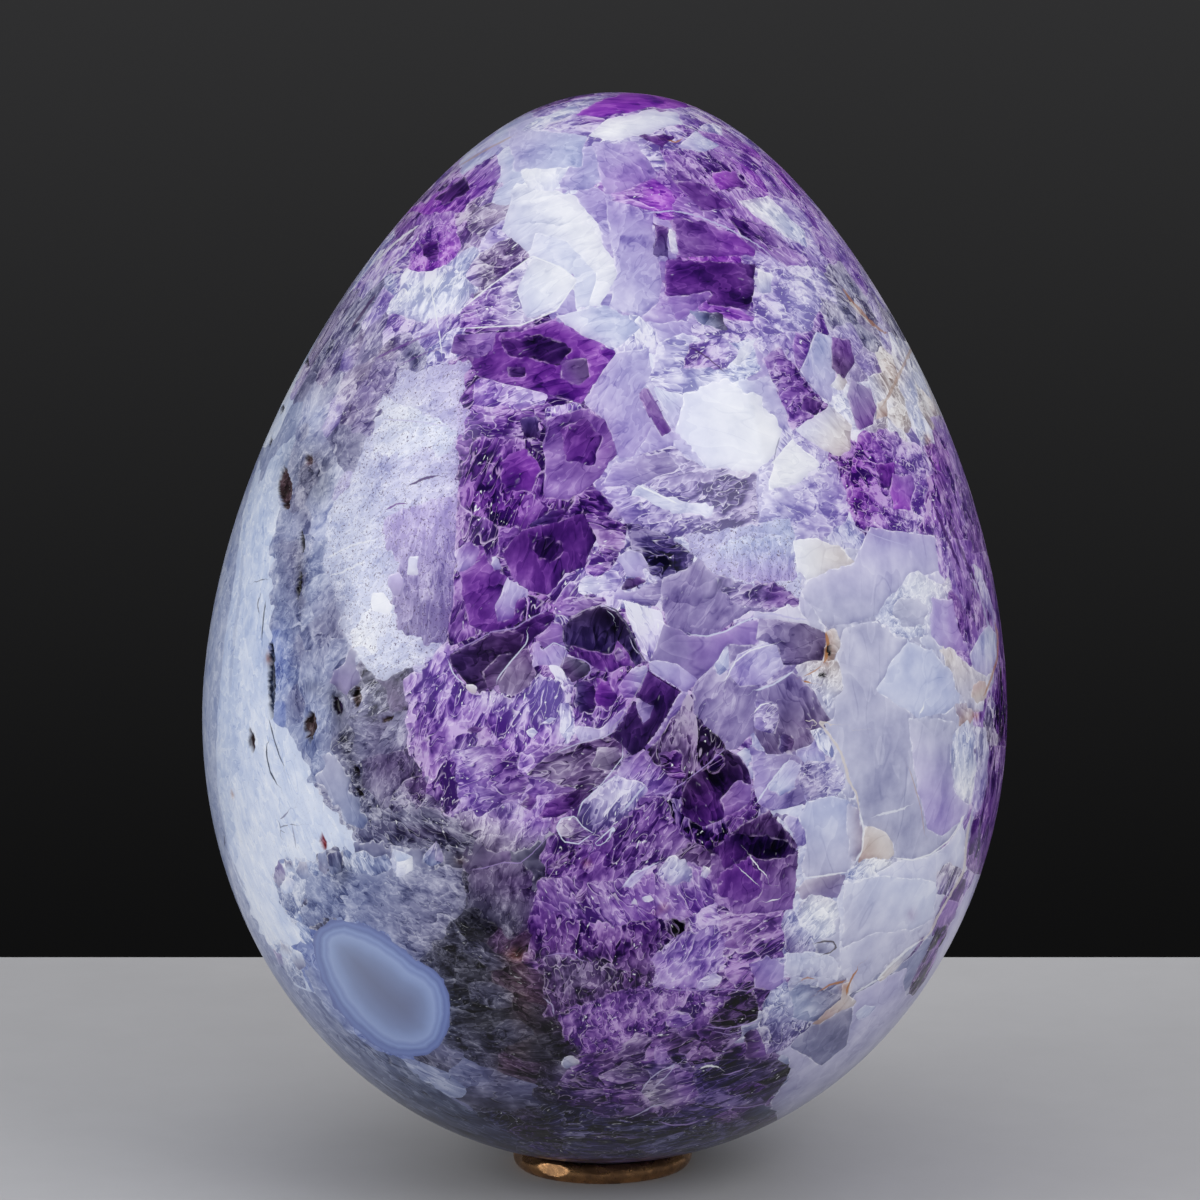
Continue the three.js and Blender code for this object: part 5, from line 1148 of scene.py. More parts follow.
def turned(points: np.ndarray, degrees: float) -> np.ndarray:
    """Places in axes that are turned anticlockwise by an angle.

    Args:
        points: Places, one per row.
        degrees: The angle.

    Returns:
        The places' coordinates in the turned axes.
    """
    angle = math.radians(degrees)
    cos, sin = math.cos(angle), math.sin(angle)
    return points @ np.array([[cos, -sin], [sin, cos]])


def inside(points: np.ndarray, outline: np.ndarray) -> np.ndarray:
    """Tells which places lie within a closed outline.

    Args:
        points: Places, one per row.
        outline: The outline's corners in order.

    Returns:
        True for each place within it.
    """
    within = np.zeros(len(points), dtype=bool)
    x, y = points[:, 0], points[:, 1]
    for (x0, y0), (x1, y1) in zip(outline, np.roll(outline, -1, axis=0)):
        if y0 == y1:
            continue
        crosses = (y0 > y) != (y1 > y)
        within ^= crosses & (x < (x1 - x0) * (y - y0) / (y1 - y0) + x0)
    return within


def offset_from(points: np.ndarray, path: np.ndarray) -> tuple[np.ndarray, np.ndarray]:
    """Signed sideways distance from a path, and how far along it each place lies.

    Args:
        points: Places, one per row.
        path: The path's corners in order.

    Returns:
        Distances, positive on the left, and shares of the path's length.
    """
    best = np.full(len(points), np.inf)
    side = np.ones(len(points))
    along = np.zeros(len(points))
    steps = np.diff(path, axis=0)
    lengths = np.hypot(steps[:, 0], steps[:, 1])
    walked = np.concatenate([[0], np.cumsum(lengths)])
    for start, step, length, behind in zip(path[:-1], steps, lengths, walked[:-1]):
        rel = points - start
        share = np.clip(rel @ step / length**2, 0, 1)
        away = rel - share[:, None] * step
        distance = np.hypot(away[:, 0], away[:, 1])
        nearer = distance < best
        best = np.where(nearer, distance, best)
        side = np.where(nearer, np.sign(step[0] * rel[:, 1] - step[1] * rel[:, 0]), side)
        along = np.where(nearer, (behind + share * length) / walked[-1], along)
    return best * np.where(side == 0, 1, side), along


@dataclass(frozen=True)
class Viewpoint:
    """Where the photograph was taken from, and the plane in which its millimetres are read."""

    aim: Triple = (-0.79, 0.0, 96.0)
    distance: float = 1000.0
    elevation: float = 9.7
    lens: float = 181.1
    sensor: float = 36.0

    @property
    def forward(self) -> np.ndarray:
        """Direction of sight."""
        angle = math.radians(self.elevation)
        return np.array([0, math.cos(angle), -math.sin(angle)])

    @property
    def upward(self) -> np.ndarray:
        """Upward direction in the picture."""
        angle = math.radians(self.elevation)
        return np.array([0, math.sin(angle), math.cos(angle)])

    @property
    def place(self) -> np.ndarray:
        """The camera's place in millimetres."""
        return np.array(self.aim) - self.distance * self.forward

    def picture(self, points: np.ndarray) -> np.ndarray:
        """Reads places as the viewer sees them, the back mirrored on to the front.

        Args:
            points: Places on the object in millimetres.

        Returns:
            Millimetres across and up in the picture's plane.
        """
        mirrored = points * [1, 0, 1] + np.abs(points[:, 1:2]) * [[0, -1, 0]]
        rel = mirrored - self.place
        scale = self.distance / (rel @ self.forward)
        across = rel[:, 0] * scale + self.aim[0]
        return np.column_stack([across, rel @ self.upward * scale + self.aim[2]])


@dataclass(frozen=True)
class EggForm:
    """The egg's outline, the same as the solid's, in millimetres."""

    radius: float = 66.75
    above: float = 102.9
    below: float = 75.0
    narrow_fullness: float = 2.317
    broad_fullness: float = 2.0375
    narrow_taper: float = 0.325
    taper_power: float = 1.6
    lean: float = 1.7
    pivot: Triple = (-0.34424, 0.0, 65.4535)
    widest_over_pivot: float = 11.6037
    heart: float = 9.0
    farthest: float = 120.0
    skin_halvings: int = 44
    seat_lowest: float = -5.0
    seat_halvings: int = 40

    def reach(self, height: np.ndarray) -> np.ndarray:
        """Half-width at heights over the widest level.

        Args:
            height: Heights along the egg's own axis.

        Returns:
            The egg's radius at each height.
        """
        low = np.clip(-height / self.below, 0, 1)
        high = np.clip(height / self.above, 0, 1)
        broad = (1 - low**self.broad_fullness) ** (1 / self.broad_fullness)
        narrow = (1 - high**self.narrow_fullness) ** (1 / self.narrow_fullness)
        narrow *= 1 - self.narrow_taper * high**self.taper_power
        return self.radius * np.where(height < 0, broad, narrow)

    def skin(self, directions: np.ndarray) -> tuple[np.ndarray, np.ndarray]:
        """Finds the skin in given directions from the egg's heart.

        Args:
            directions: Directions in the egg's own frame, one per row.

        Returns:
            Places on the skin and the outward normals there, in the object's frame.
        """
        unit = directions / np.linalg.norm(directions, axis=1, keepdims=True)
        sideways = np.hypot(unit[:, 0], unit[:, 1])
        near, far = np.zeros(len(unit)), np.full(len(unit), self.farthest)
        for _ in range(self.skin_halvings):
            middle = (near + far) / 2
            height = self.heart + middle * unit[:, 2]
            within = (height < self.above) & (height > -self.below)
            within &= middle * sideways < self.reach(height)
            near, far = np.where(within, middle, near), np.where(within, far, middle)
        local = unit * near[:, None] + [0, 0, self.heart]
        return self._leaning(local) + self._foot(), self._leaning(self._normals(local))

    def _normals(self, local: np.ndarray) -> np.ndarray:
        """Outward normals at places on the upright egg.

        Args:
            local: Places in the egg's own frame.

        Returns:
            Unit normals in that frame.
        """
        out = np.hypot(local[:, 0], local[:, 1])
        height = local[:, 2]
        low = np.clip(-height / self.below, 0, 1)
        high = np.clip(height / self.above, 0, 1)
        taper = 1 - self.narrow_taper * high**self.taper_power
        power = np.where(height < 0, self.broad_fullness, self.narrow_fullness)
        across = np.clip(out / (self.radius * taper), 0, 1)
        sideways = power * across ** (power - 1) / (self.radius * taper)
        slope = self.narrow_taper * self.taper_power * high ** (self.taper_power - 1) / taper
        upward = np.where(
            height < 0,
            -power * low ** (power - 1) / self.below,
            (power * high ** (power - 1) + power * across**power * slope) / self.above,
        )
        bearing = local[:, :2] / np.maximum(out, 1e-9)[:, None]
        normals = np.column_stack([bearing * sideways[:, None], upward])
        return normals / np.linalg.norm(normals, axis=1, keepdims=True)

    def underside(self, spots: np.ndarray, grown: float) -> np.ndarray:
        """Height of the egg's underside over given spots of the table.

        Args:
            spots: Places across and away, in millimetres.
            grown: How much thicker than itself the egg is taken to be.

        Returns:
            Heights over the table.
        """
        low, high = np.full(len(spots), self.seat_lowest), np.full(len(spots), self.pivot[2])
        angle = math.radians(self.lean)
        cos, sin = math.cos(angle), math.sin(angle)
        foot = self._foot()
        for _ in range(self.seat_halvings):
            middle = (low + high) / 2
            x, z = spots[:, 0] - foot[0], middle - foot[2]
            upright = np.column_stack([x * cos - z * sin, spots[:, 1] - foot[1], x * sin + z * cos])
            share = np.clip(-upright[:, 2] / (self.below + grown), 0, 1)
            reach = (self.radius + grown) * (1 - share**self.broad_fullness) ** (1 / self.broad_fullness)
            within = np.hypot(upright[:, 0], upright[:, 1]) < reach
            low, high = np.where(within, low, middle), np.where(within, middle, high)
        return (low + high) / 2

    def _leaning(self, vectors: np.ndarray) -> np.ndarray:
        """Vectors of the upright egg as they are on the leaning one.

        Args:
            vectors: Vectors in the egg's own frame, one per row.

        Returns:
            The same vectors in the object's frame.
        """
        angle = math.radians(self.lean)
        cos, sin = math.cos(angle), math.sin(angle)
        x, y, z = vectors.T
        return np.column_stack([x * cos + z * sin, y, -x * sin + z * cos])

    def _foot(self) -> np.ndarray:
        """Place of the middle of the egg's widest level."""
        return np.array(self.pivot) + self._leaning(np.array([[0, 0, self.widest_over_pivot]]))[0]


@dataclass
class Growth:
    """Says which crystal owns each point of the skin, and what that crystal is like.

    Lengths are in millimetres. The arrays from seeds to frames hold the small crystals only. In
    those from tints on, the listed crystals come first and the small ones follow.
    """

    form: EggForm
    view: Viewpoint
    crystals: tuple[Crystal, ...]
    zones: tuple[Zone, ...]
    coarse_wander: float = 5.2
    fine_wander: float = 1.9
    coarse_share: float = 1.4
    front_facing: float = 0.03
    rivals: int = 12
    face_wander: float = 0.1
    face_wave: float = 4.0
    tip_slope: float = 51.8
    drift_depth: float = 40.0
    drift: Span = (9.0, 14.0)
    drift_waves: Span = (70.0, 80.0)
    ripple: float = 1.2
    ripple_wave: float = 9.0
    tries: int = 9000
    hidden_facing: float = 0.1
    hidden_size: float = 4.2
    covered_loss: float = 0.8
    width_range: Span = (0.42, 0.62)
    length_range: Span = (1.3, 2.6)
    tilt_spread: float = 0.35
    grain_offset: float = 90.0
    shade_wave: float = 15.0
    shade_swing: float = 0.45
    shade_spread: float = 0.2
    fade_range: Span = (0.1, 0.4)
    lie_levels: tuple[float, ...] = (15, 45, 62, 92, 115)
    lie_angles: tuple[float, ...] = (4, 8, 42, 38, 0)
    steep_from: Point = (24, 40)
    steep_angle: float = 75
    crown_level: float = 118
    crown_rise: float = 25
    crown_lean: float = -1.1
    outlines: list[np.ndarray] = field(init=False)
    seeds: np.ndarray = field(init=False)
    seed_zones: np.ndarray = field(init=False)
    widths: np.ndarray = field(init=False)
    lengths: np.ndarray = field(init=False)
    frames: np.ndarray = field(init=False)
    tints: np.ndarray = field(init=False)
    deeps: np.ndarray = field(init=False)
    fade_space: np.ndarray = field(init=False)
    fade_plane: np.ndarray = field(init=False)
    fade_start: np.ndarray = field(init=False)
    turns: np.ndarray = field(init=False)
    offsets: np.ndarray = field(init=False)
    natures: np.ndarray = field(init=False)
    agate: np.ndarray = field(init=False)
    soft: np.ndarray = field(init=False)

    def __post_init__(self) -> None:
        """Grows the small crystals around the listed ones."""
        self.outlines = [np.array(crystal.outline, dtype=float) for crystal in self.crystals]
        self._seed_small()
        self._describe()

    def facing(self, points: np.ndarray, normals: np.ndarray) -> np.ndarray:
        """How squarely the skin faces the viewer.

        Args:
            points: Places on the skin.
            normals: The outward normals there.

        Returns:
            1 squarely, 0 at the rim, negative behind.
        """
        sight = self.view.place - points
        sight /= np.linalg.norm(sight, axis=1, keepdims=True)
        return np.einsum("ij,ij->i", normals, sight)

    def placed(self, points: np.ndarray, facing: np.ndarray) -> np.ndarray:
        """Finds the listed crystal over each point.

        Args:
            points: Places on the skin.
            facing: How squarely the skin faces the viewer there.

        Returns:
            The crystal's number, or -1 where there is none.
        """
        spots = self.view.picture(points)
        coarse = np.column_stack([waves(spots, self.coarse_wander, SEED + k) for k in (1, 2)])
        fine = np.column_stack([waves(spots, self.fine_wander, SEED + k) for k in (3, 4)])
        owner = np.full(len(points), -1)
        front = facing > self.front_facing
        for number, (crystal, outline) in enumerate(zip(self.crystals, self.outlines)):
            slack = 3 * crystal.ragged
            low, high = outline.min(axis=0) - slack, outline.max(axis=0) + slack
            near = ((spots > low) & (spots < high)).all(axis=1)
            if not crystal.through:
                near &= front
            chosen = np.flatnonzero(near)
            if len(chosen):
                wander = self.coarse_share * coarse[chosen] + fine[chosen]
                moved = spots[chosen] + crystal.ragged * wander
                owner[chosen[inside(moved, outline)]] = number
        return owner

    def small(self, points: np.ndarray) -> np.ndarray:
        """Finds the small crystal that owns each point.

        Args:
            points: Places on the skin.

        Returns:
            The crystals' numbers, which follow those of the listed ones.
        """
        tree = KDTree(len(self.seeds))
        for number, seed in enumerate(self.seeds):
            tree.insert(seed, number)
        tree.balance()
        nearest = np.array([[hit[1] for hit in tree.find_n(point, self.rivals)] for point in points])
        distances = np.column_stack([self.crystal_distance(points, rival) for rival in nearest.T])
        return nearest[np.arange(len(points)), distances.argmin(axis=1)] + len(self.crystals)

    def crystal_distance(self, points: np.ndarray, seeds: np.ndarray) -> np.ndarray:
        """Distance from small crystals, measured by their own hexagonal pointed shape.

        Args:
            points: Places on the skin.
            seeds: The small crystal to measure from, one for each place.

        Returns:
            1 on a crystal's own faces, less within it.
        """
        rel = np.einsum("nij,nj->ni", self.frames[seeds], points - self.seeds[seeds])
        wander = np.column_stack([waves(points, self.face_wave, SEED + k) for k in (11, 12, 13)])
        rel += self.face_wander * self.widths[seeds][:, None] * wander
        along, flat, side = np.abs(rel[:, 0]), rel[:, 1], rel[:, 2]
        half = math.sqrt(3) / 2
        round_about = np.maximum.reduce(
            [np.abs(flat), np.abs(flat / 2 + half * side), np.abs(flat / 2 - half * side)]
        )
        cos, sin = math.cos(math.radians(self.tip_slope)), math.sin(math.radians(self.tip_slope))
        tip = (cos * along + sin * round_about) / (self.lengths[seeds] * cos)
        return np.maximum(round_about / self.widths[seeds], tip)

    def zone_of(self, points: np.ndarray) -> np.ndarray:
        """Finds the zone of each point. Behind the egg, the front's layers run through with some drift.

        Args:
            points: Places on the skin.

        Returns:
            The zones' numbers.
        """
        depth = np.clip(points[:, 1:2] / self.drift_depth, 0, 1)
        drift = [
            far * waves(points, length, SEED + number)
            for far, length, number in zip(self.drift, self.drift_waves, (21, 22))
        ]
        ripple = [waves(points, self.ripple_wave, SEED + number) for number in (23, 24)]
        spots = self.view.picture(points) + depth * np.column_stack(drift)
        spots = spots + self.ripple * np.column_stack(ripple)
        scores = [
            np.hypot(*(turned(spots - np.array(zone.middle), zone.turn) / np.array(zone.reach)).T)
            for zone in self.zones
        ]
        return np.argmin(scores, axis=0)

    def _seed_small(self) -> None:
        """Scatters the small crystals, each zone at its own spacing."""
        rng = np.random.default_rng(SEED)
        directions = rng.normal(size=(self.tries, 3))
        spots, normals = self.form.skin(directions)
        zones = self.zone_of(spots)
        facing = self.facing(spots, normals)
        owner = self.placed(spots, facing)
        kept: list[int] = []
        taken = np.zeros((0, 3))
        spacing = np.zeros(0)
        for number in range(len(spots)):
            size = self.zones[zones[number]].size
            if facing[number] < self.hidden_facing:
                size = max(size, self.hidden_size)
            if owner[number] >= 0 and rng.random() < self.covered_loss:
                continue
            gaps = np.linalg.norm(taken - spots[number], axis=1)
            if (gaps < (spacing + size) / 2).any():
                continue
            kept.append(number)
            taken = np.vstack([taken, spots[number]])
            spacing = np.append(spacing, size)
        self.seeds, self.seed_zones = taken, zones[kept]
        count = len(kept)
        self.widths = spacing * rng.uniform(*self.width_range, count)
        self.lengths = self.widths * rng.uniform(*self.length_range, count)
        angle = np.radians(self._growth_angle(self.view.picture(taken)))
        axes = np.column_stack([np.cos(angle), np.zeros(count), np.sin(angle)])
        axes += rng.normal(scale=self.tilt_spread, size=(count, 3))
        sides = rng.normal(size=(count, 3))
        first = axes / np.linalg.norm(axes, axis=1, keepdims=True)
        third = np.cross(first, sides)
        third /= np.linalg.norm(third, axis=1, keepdims=True)
        self.frames = np.stack([first, np.cross(third, first), third], axis=1)

    def _growth_angle(self, spots: np.ndarray) -> np.ndarray:
        """Direction in which the small crystals lie.

        Args:
            spots: Places in the picture's plane.

        Returns:
            Angles in degrees from +across.
        """
        across, up = spots.T
        angle = np.interp(up, self.lie_levels, self.lie_angles)
        steep = (across > self.steep_from[0]) & (up > self.steep_from[1])
        angle = np.where(steep, self.steep_angle, angle)
        # Near the top they lean outwards, the more the further from the middle
        over = np.clip((up - self.crown_level) / self.crown_rise, 0, 1)
        return np.where(up > self.crown_level, self.crown_lean * across * over, angle)

    def _describe(self) -> None:
        """Writes down colour, fade, grain and nature of every crystal, by its number."""
        rng = np.random.default_rng(SEED + 5)
        count = len(self.crystals) + len(self.seeds)
        self.tints, self.deeps = np.zeros((count, 3)), np.zeros((count, 3))
        self.fade_space, self.fade_plane = np.zeros((count, 3)), np.zeros((count, 2))
        self.fade_start, self.turns = np.zeros(count), np.zeros((count, 3, 3))
        self.offsets = rng.uniform(-self.grain_offset, self.grain_offset, (count, 3))
        self.natures, self.agate, self.soft = np.zeros((count, 6)), np.zeros(count), np.zeros(count)
        for number in range(len(self.crystals)):
            self._describe_placed(number)
        patches = waves(self.seeds, self.shade_wave, SEED + 31)
        for small, patch in enumerate(patches):
            self._describe_small(small, patch, rng)

    def _describe_placed(self, number: int) -> None:
        """Writes down a listed crystal, whose colour fades across the picture's plane.

        Args:
            number: The crystal's number.
        """
        crystal, outline = self.crystals[number], self.outlines[number]
        angle = math.radians(crystal.fade)
        way = np.array([math.cos(angle), math.sin(angle)])
        low, high = (outline @ way).min(), (outline @ way).max()
        self.tints[number], self.deeps[number] = crystal.tint.colour, crystal.deep.colour
        self.fade_plane[number] = way / (high - low)
        self.fade_start[number] = -low / (high - low)
        right = np.array([1.0, 0, 0])
        first = way[0] * right + way[1] * self.view.upward
        second = -way[1] * right + way[0] * self.view.upward
        self.turns[number] = np.stack([first, second, self.view.forward]) / crystal.kind.value.grain
        self.agate[number] = crystal.kind is Kind.AGATE
        self._give_nature(number, crystal.kind)

    def _describe_small(self, small: int, patch: float, rng: np.random.Generator) -> None:
        """Writes down a small crystal, whose colour fades along one of its own axes.

        Args:
            small: The crystal's number among the small ones.
            patch: How light the stone is around it, from about -1 to 1.
            rng: Source of its own shade and fade.
        """
        number = len(self.crystals) + small
        zone = self.zones[self.seed_zones[small]]
        shades = np.array(sorted((tint.colour for tint in zone.tints), key=sum))
        level = 0.5 + self.shade_swing * patch + rng.normal(scale=self.shade_spread)
        self.tints[number] = self._shade(shades, level)
        self.deeps[number] = self._shade(shades, level - rng.uniform(*self.fade_range))
        way = self.frames[small][0] if rng.random() < 0.5 else self.frames[small][1]
        reach = 2 * self.widths[small]
        self.fade_space[number] = way / reach
        self.fade_start[number] = 0.5 - self.seeds[small] @ way / reach
        self.turns[number] = self.frames[small] / zone.kind.value.grain
        self._give_nature(number, zone.kind)

    def _give_nature(self, number: int, kind: Kind) -> None:
        """Writes down what a kind of crystal looks like inside."""
        self.natures[number] = kind.value[:6]
        self.soft[number] = kind.value.soft

    def _shade(self, shades: np.ndarray, level: float) -> np.ndarray:
        """A colour between the darkest and the lightest of several.

        Args:
            shades: The colours, from dark to light.
            level: How light, from 0 to 1.

        Returns:
            The colour.
        """
        place = min(max(level, 0.0), 0.999) * (len(shades) - 1)
        low = int(place)
        return shades[low] + (place - low) * (shades[low + 1] - shades[low])


def nothing_selected() -> None:
    """Leaves edit mode and deselects every object."""
    if bpy.context.mode != "OBJECT":
        bpy.ops.object.mode_set(mode="OBJECT")
    bpy.ops.object.select_all(action="DESELECT")


def vertex_places(mesh: bpy.types.Mesh) -> np.ndarray:
    """Reads a mesh's vertices.

    Args:
        mesh: The mesh.

    Returns:
        Their places, one per row.
    """
    flat = np.empty(len(mesh.vertices) * 3)
    mesh.vertices.foreach_get("co", flat)
    return flat.reshape(-1, 3)


def face_corners(mesh: bpy.types.Mesh) -> np.ndarray:
    """Reads the vertex numbers of a mesh made of triangles.

    Args:
        mesh: The mesh.

    Returns:
        Three vertex numbers for each triangle.
    """
    flat = np.empty(len(mesh.loops), dtype=np.int32)
    mesh.loops.foreach_get("vertex_index", flat)
    return flat.reshape(-1, 3)


@dataclass
class CrystalEgg:
    """The polished stone, as one piece of skin cut along its crystals."""

    form: EggForm
    view: Viewpoint
    crystals: tuple[Crystal, ...]
    veins: tuple[Vein, ...]
    soft_patches: tuple[StainOrPaintedLight, ...]
    zones: tuple[Zone, ...]
    pits: tuple[Pit, ...]
    rounds: int = 6
    front_facing: float = 0.2
    border_facing: float = 0.3
    halvings: int = 7
    edge_margin: float = 0.06
    pit_ends: float = 0.35
    pit_margin: float = 0.08
    pit_step: float = 0.08
    pit_slope: float = 1.5
    pit_dark: float = 0.3
    light: Triple = (-0.55, -0.1, 0.83)
    blur_rounds: int = 36
    blur_keep: float = 0.4
    blur_take: float = 0.3
    soft_inside: float = 0.06
    soft_border: float = 0.66
    soft_reach: float = 1.1
    patch_fall: float = 1.4
    patch_front: float = 2.0
    vein_far: float = 9.0
    vein_margin: float = 2.0
    vein_taper: float = 7.0
    vein_tip: float = 0.05
    name: str = "crystal_egg"
    growth: Growth = field(init=False)
    first_cut: int = field(init=False)

    def build(self) -> bpy.types.Object:
        """Models the egg and dresses it.

        Returns:
            The egg's object.
        """
        self.growth = Growth(self.form, self.view, self.crystals, self.zones)
        LOG.info("%d crystals by hand, %d small", len(self.crystals), len(self.growth.seeds))
        directions, triangles = self._blank()
        directions, triangles, owners = self._cut_along_crystals(directions, triangles)
        return self._finished(directions, triangles, owners)

    def _blank(self) -> tuple[np.ndarray, np.ndarray]:
        """Makes a ball of triangles, finer on the front, where crystals meet and in the hollows.

        Returns:
            The ball's vertices as directions, and its triangles.
        """
        nothing_selected()
        bpy.ops.mesh.primitive_ico_sphere_add(subdivisions=self.rounds, radius=1)
        ball = bpy.context.object
        for step in range(3):
            self._split_faces(ball, self._busy_faces(ball.data, step))
        directions, triangles = vertex_places(ball.data), face_corners(ball.data)
        bpy.data.objects.remove(ball)
        return directions, triangles

    def _busy_faces(self, mesh: bpy.types.Mesh, step: int) -> np.ndarray:
        """Chooses the faces to split: the front and all borders, the front's borders, the hollows.

        Args:
            mesh: The ball.
            step: How many times it has been split.

        Returns:
            True for each face to split.
        """
        places, normals = self.form.skin(vertex_places(mesh))
        corners = face_corners(mesh)
        facing = self.growth.facing(places, normals)[corners].max(axis=1)
        if step == 2:
            return self._pit_depth(places)[corners].max(axis=1) > 0
        owners = self._owners(places, normals)[corners]
        mixed = (owners != owners[:, :1]).any(axis=1)
        if step == 0:
            return mixed | (facing > self.front_facing)
        return mixed & (facing > self.border_facing)

    def _split_faces(self, ball: bpy.types.Object, chosen: np.ndarray) -> None:
        """Splits chosen faces of the ball and rounds it again.

        Args:
            ball: The ball.
            chosen: True for each face to split.
        """
        ball.data.polygons.foreach_set("select", np.zeros(len(ball.data.polygons), dtype=bool))
        ball.data.edges.foreach_set("select", np.zeros(len(ball.data.edges), dtype=bool))
        ball.data.vertices.foreach_set("select", np.zeros(len(ball.data.vertices), dtype=bool))
        ball.data.polygons.foreach_set("select", chosen)
        nothing_selected()
        ball.select_set(True)
        bpy.context.view_layer.objects.active = ball
        bpy.ops.object.mode_set(mode="EDIT")
        bpy.ops.mesh.select_mode(type="FACE")
        bpy.ops.mesh.subdivide(number_cuts=1)
        bpy.ops.mesh.select_all(action="SELECT")
        bpy.ops.mesh.quads_convert_to_tris(quad_method="SHORTEST_DIAGONAL", ngon_method="BEAUTY")
        bpy.ops.object.mode_set(mode="OBJECT")
        places = vertex_places(ball.data)
        places /= np.linalg.norm(places, axis=1, keepdims=True)
        ball.data.vertices.foreach_set("co", places.ravel())

    def _owners(self, places: np.ndarray, normals: np.ndarray) -> np.ndarray:
        """Finds the crystal that owns each place on the skin.

        Args:
            places: Places on the skin.
            normals: The outward normals there.

        Returns:
            The crystals' numbers.
        """
        owners = self.growth.placed(places, self.growth.facing(places, normals))
        free = np.flatnonzero(owners < 0)
        owners[free] = self.growth.small(places[free])
        return owners

    def _cut_along_crystals(
        self, directions: np.ndarray, triangles: np.ndarray
    ) -> tuple[np.ndarray, np.ndarray, np.ndarray]:
        """Cuts every triangle in which crystals meet along their border.

        Args:
            directions: The ball's vertices.
            triangles: Its triangles.

        Returns:
            Vertices, triangles and each triangle's crystal. The new vertices follow the old ones.
        """
        places, normals = self.form.skin(directions)
        owners = self._owners(places, normals)
        sides = [triangles[:, [0, 1]], triangles[:, [1, 2]], triangles[:, [2, 0]]]
        edges, which = np.unique(np.sort(np.vstack(sides), axis=1), axis=0, return_inverse=True)
        which = which.reshape(3, -1).T
        mixed = owners[edges[:, 0]] != owners[edges[:, 1]]
        crossed = np.flatnonzero(mixed)
        share = self._crossing(directions, edges[crossed], owners)
        a, b = directions[edges[crossed, 0]], directions[edges[crossed, 1]]
        cut_at = a + share[:, None] * (b - a)
        number = np.full(len(edges), -1)
        number[crossed] = len(directions) + np.arange(len(crossed))
        cuts = number[which]
        count = (cuts >= 0).sum(axis=1)
        whole = count == 0
        parts, labels = [triangles[whole]], [owners[triangles[whole, 0]]]
        for turn in range(3):
            # In these the corner numbered turn stands alone, and the edge opposite it is whole
            lone, second, third = (np.roll(triangles, -turn, axis=1)[:, k] for k in range(3))
            ahead, opposite, behind = (np.roll(cuts, -turn, axis=1)[:, k] for k in range(3))
            two = (count == 2) & (opposite < 0)
            for trio, owner in (
                ((lone, ahead, behind), lone),
                ((ahead, second, third), second),
                ((ahead, third, behind), second),
            ):
                parts.append(np.column_stack(trio)[two])
                labels.append(owners[owner[two]])
        three = np.flatnonzero(count == 3)
        all_cuts = np.vstack([directions, cut_at])
        hubs = len(all_cuts) + np.arange(len(three))
        hub_at = all_cuts[cuts[three]].mean(axis=1)
        for turn in range(3):
            corner = np.roll(triangles[three], -turn, axis=1)[:, 0]
            ahead = np.roll(cuts[three], -turn, axis=1)[:, 0]
            behind = np.roll(cuts[three], -turn, axis=1)[:, 2]
            for trio in ((corner, ahead, hubs), (corner, hubs, behind)):
                parts.append(np.column_stack(trio))
                labels.append(owners[corner])
        self.first_cut = len(directions)
        vertices = np.vstack([all_cuts, hub_at])
        vertices /= np.linalg.norm(vertices, axis=1, keepdims=True)
        return vertices, np.vstack(parts), np.concatenate(labels)

    def _crossing(self, directions: np.ndarray, edges: np.ndarray, owners: np.ndarray) -> np.ndarray:
        """Finds where along each edge its owner changes, by halving.

        Args:
            directions: The ball's vertices.
            edges: Pairs of vertices with different owners.
            owners: Each vertex's crystal.

        Returns:
            Shares of the edges' lengths.
        """
        placed_count = len(self.crystals)
        first, second = owners[edges[:, 0]], owners[edges[:, 1]]
        a, b = directions[edges[:, 0]], directions[edges[:, 1]]
        near, far = np.zeros(len(edges)), np.ones(len(edges))
        small_first = first >= placed_count
        both = small_first & (second >= placed_count)
        for _ in range(self.halvings):
            middle = (near + far) / 2
            places, normals = self.form.skin(a + middle[:, None] * (b - a))
            owner = self.growth.placed(places, self.growth.facing(places, normals))
            free = owner < 0
            guess = np.where(small_first, first, second)
            rivals = np.flatnonzero(free & both)
            if len(rivals):
                to_first, to_second = (
                    self.growth.crystal_distance(places[rivals], one[rivals] - placed_count)
                    for one in (first, second)
                )
                guess[rivals] = np.where(to_first < to_second, first[rivals], second[rivals])
            owner = np.where(free, guess, owner)
            stays = owner == first
            near, far = np.where(stays, middle, near), np.where(stays, far, middle)
        return np.clip((near + far) / 2, self.edge_margin, 1 - self.edge_margin)

    def _pit_depth(self, places: np.ndarray) -> np.ndarray:
        """Depth of the hollows below the polish.

        Args:
            places: Places on the skin.

        Returns:
            Depths in millimetres.
        """
        spots = self.view.picture(places)
        front = places[:, 1] < 0
        depth = np.zeros(len(places))
        for pit in self.pits:
            distance, along = offset_from(spots, np.array([pit.start, pit.end]))
            bow = np.sin(np.pi * np.clip(along, self.pit_margin, 1 - self.pit_margin))
            width = pit.half_width * (self.pit_ends + (1 - self.pit_ends) * bow)
            share = np.clip(1 - (distance / width) ** 2, 0, 1)
            depth = np.maximum(depth, np.where(front, pit.depth * np.sqrt(share), 0))
        return depth

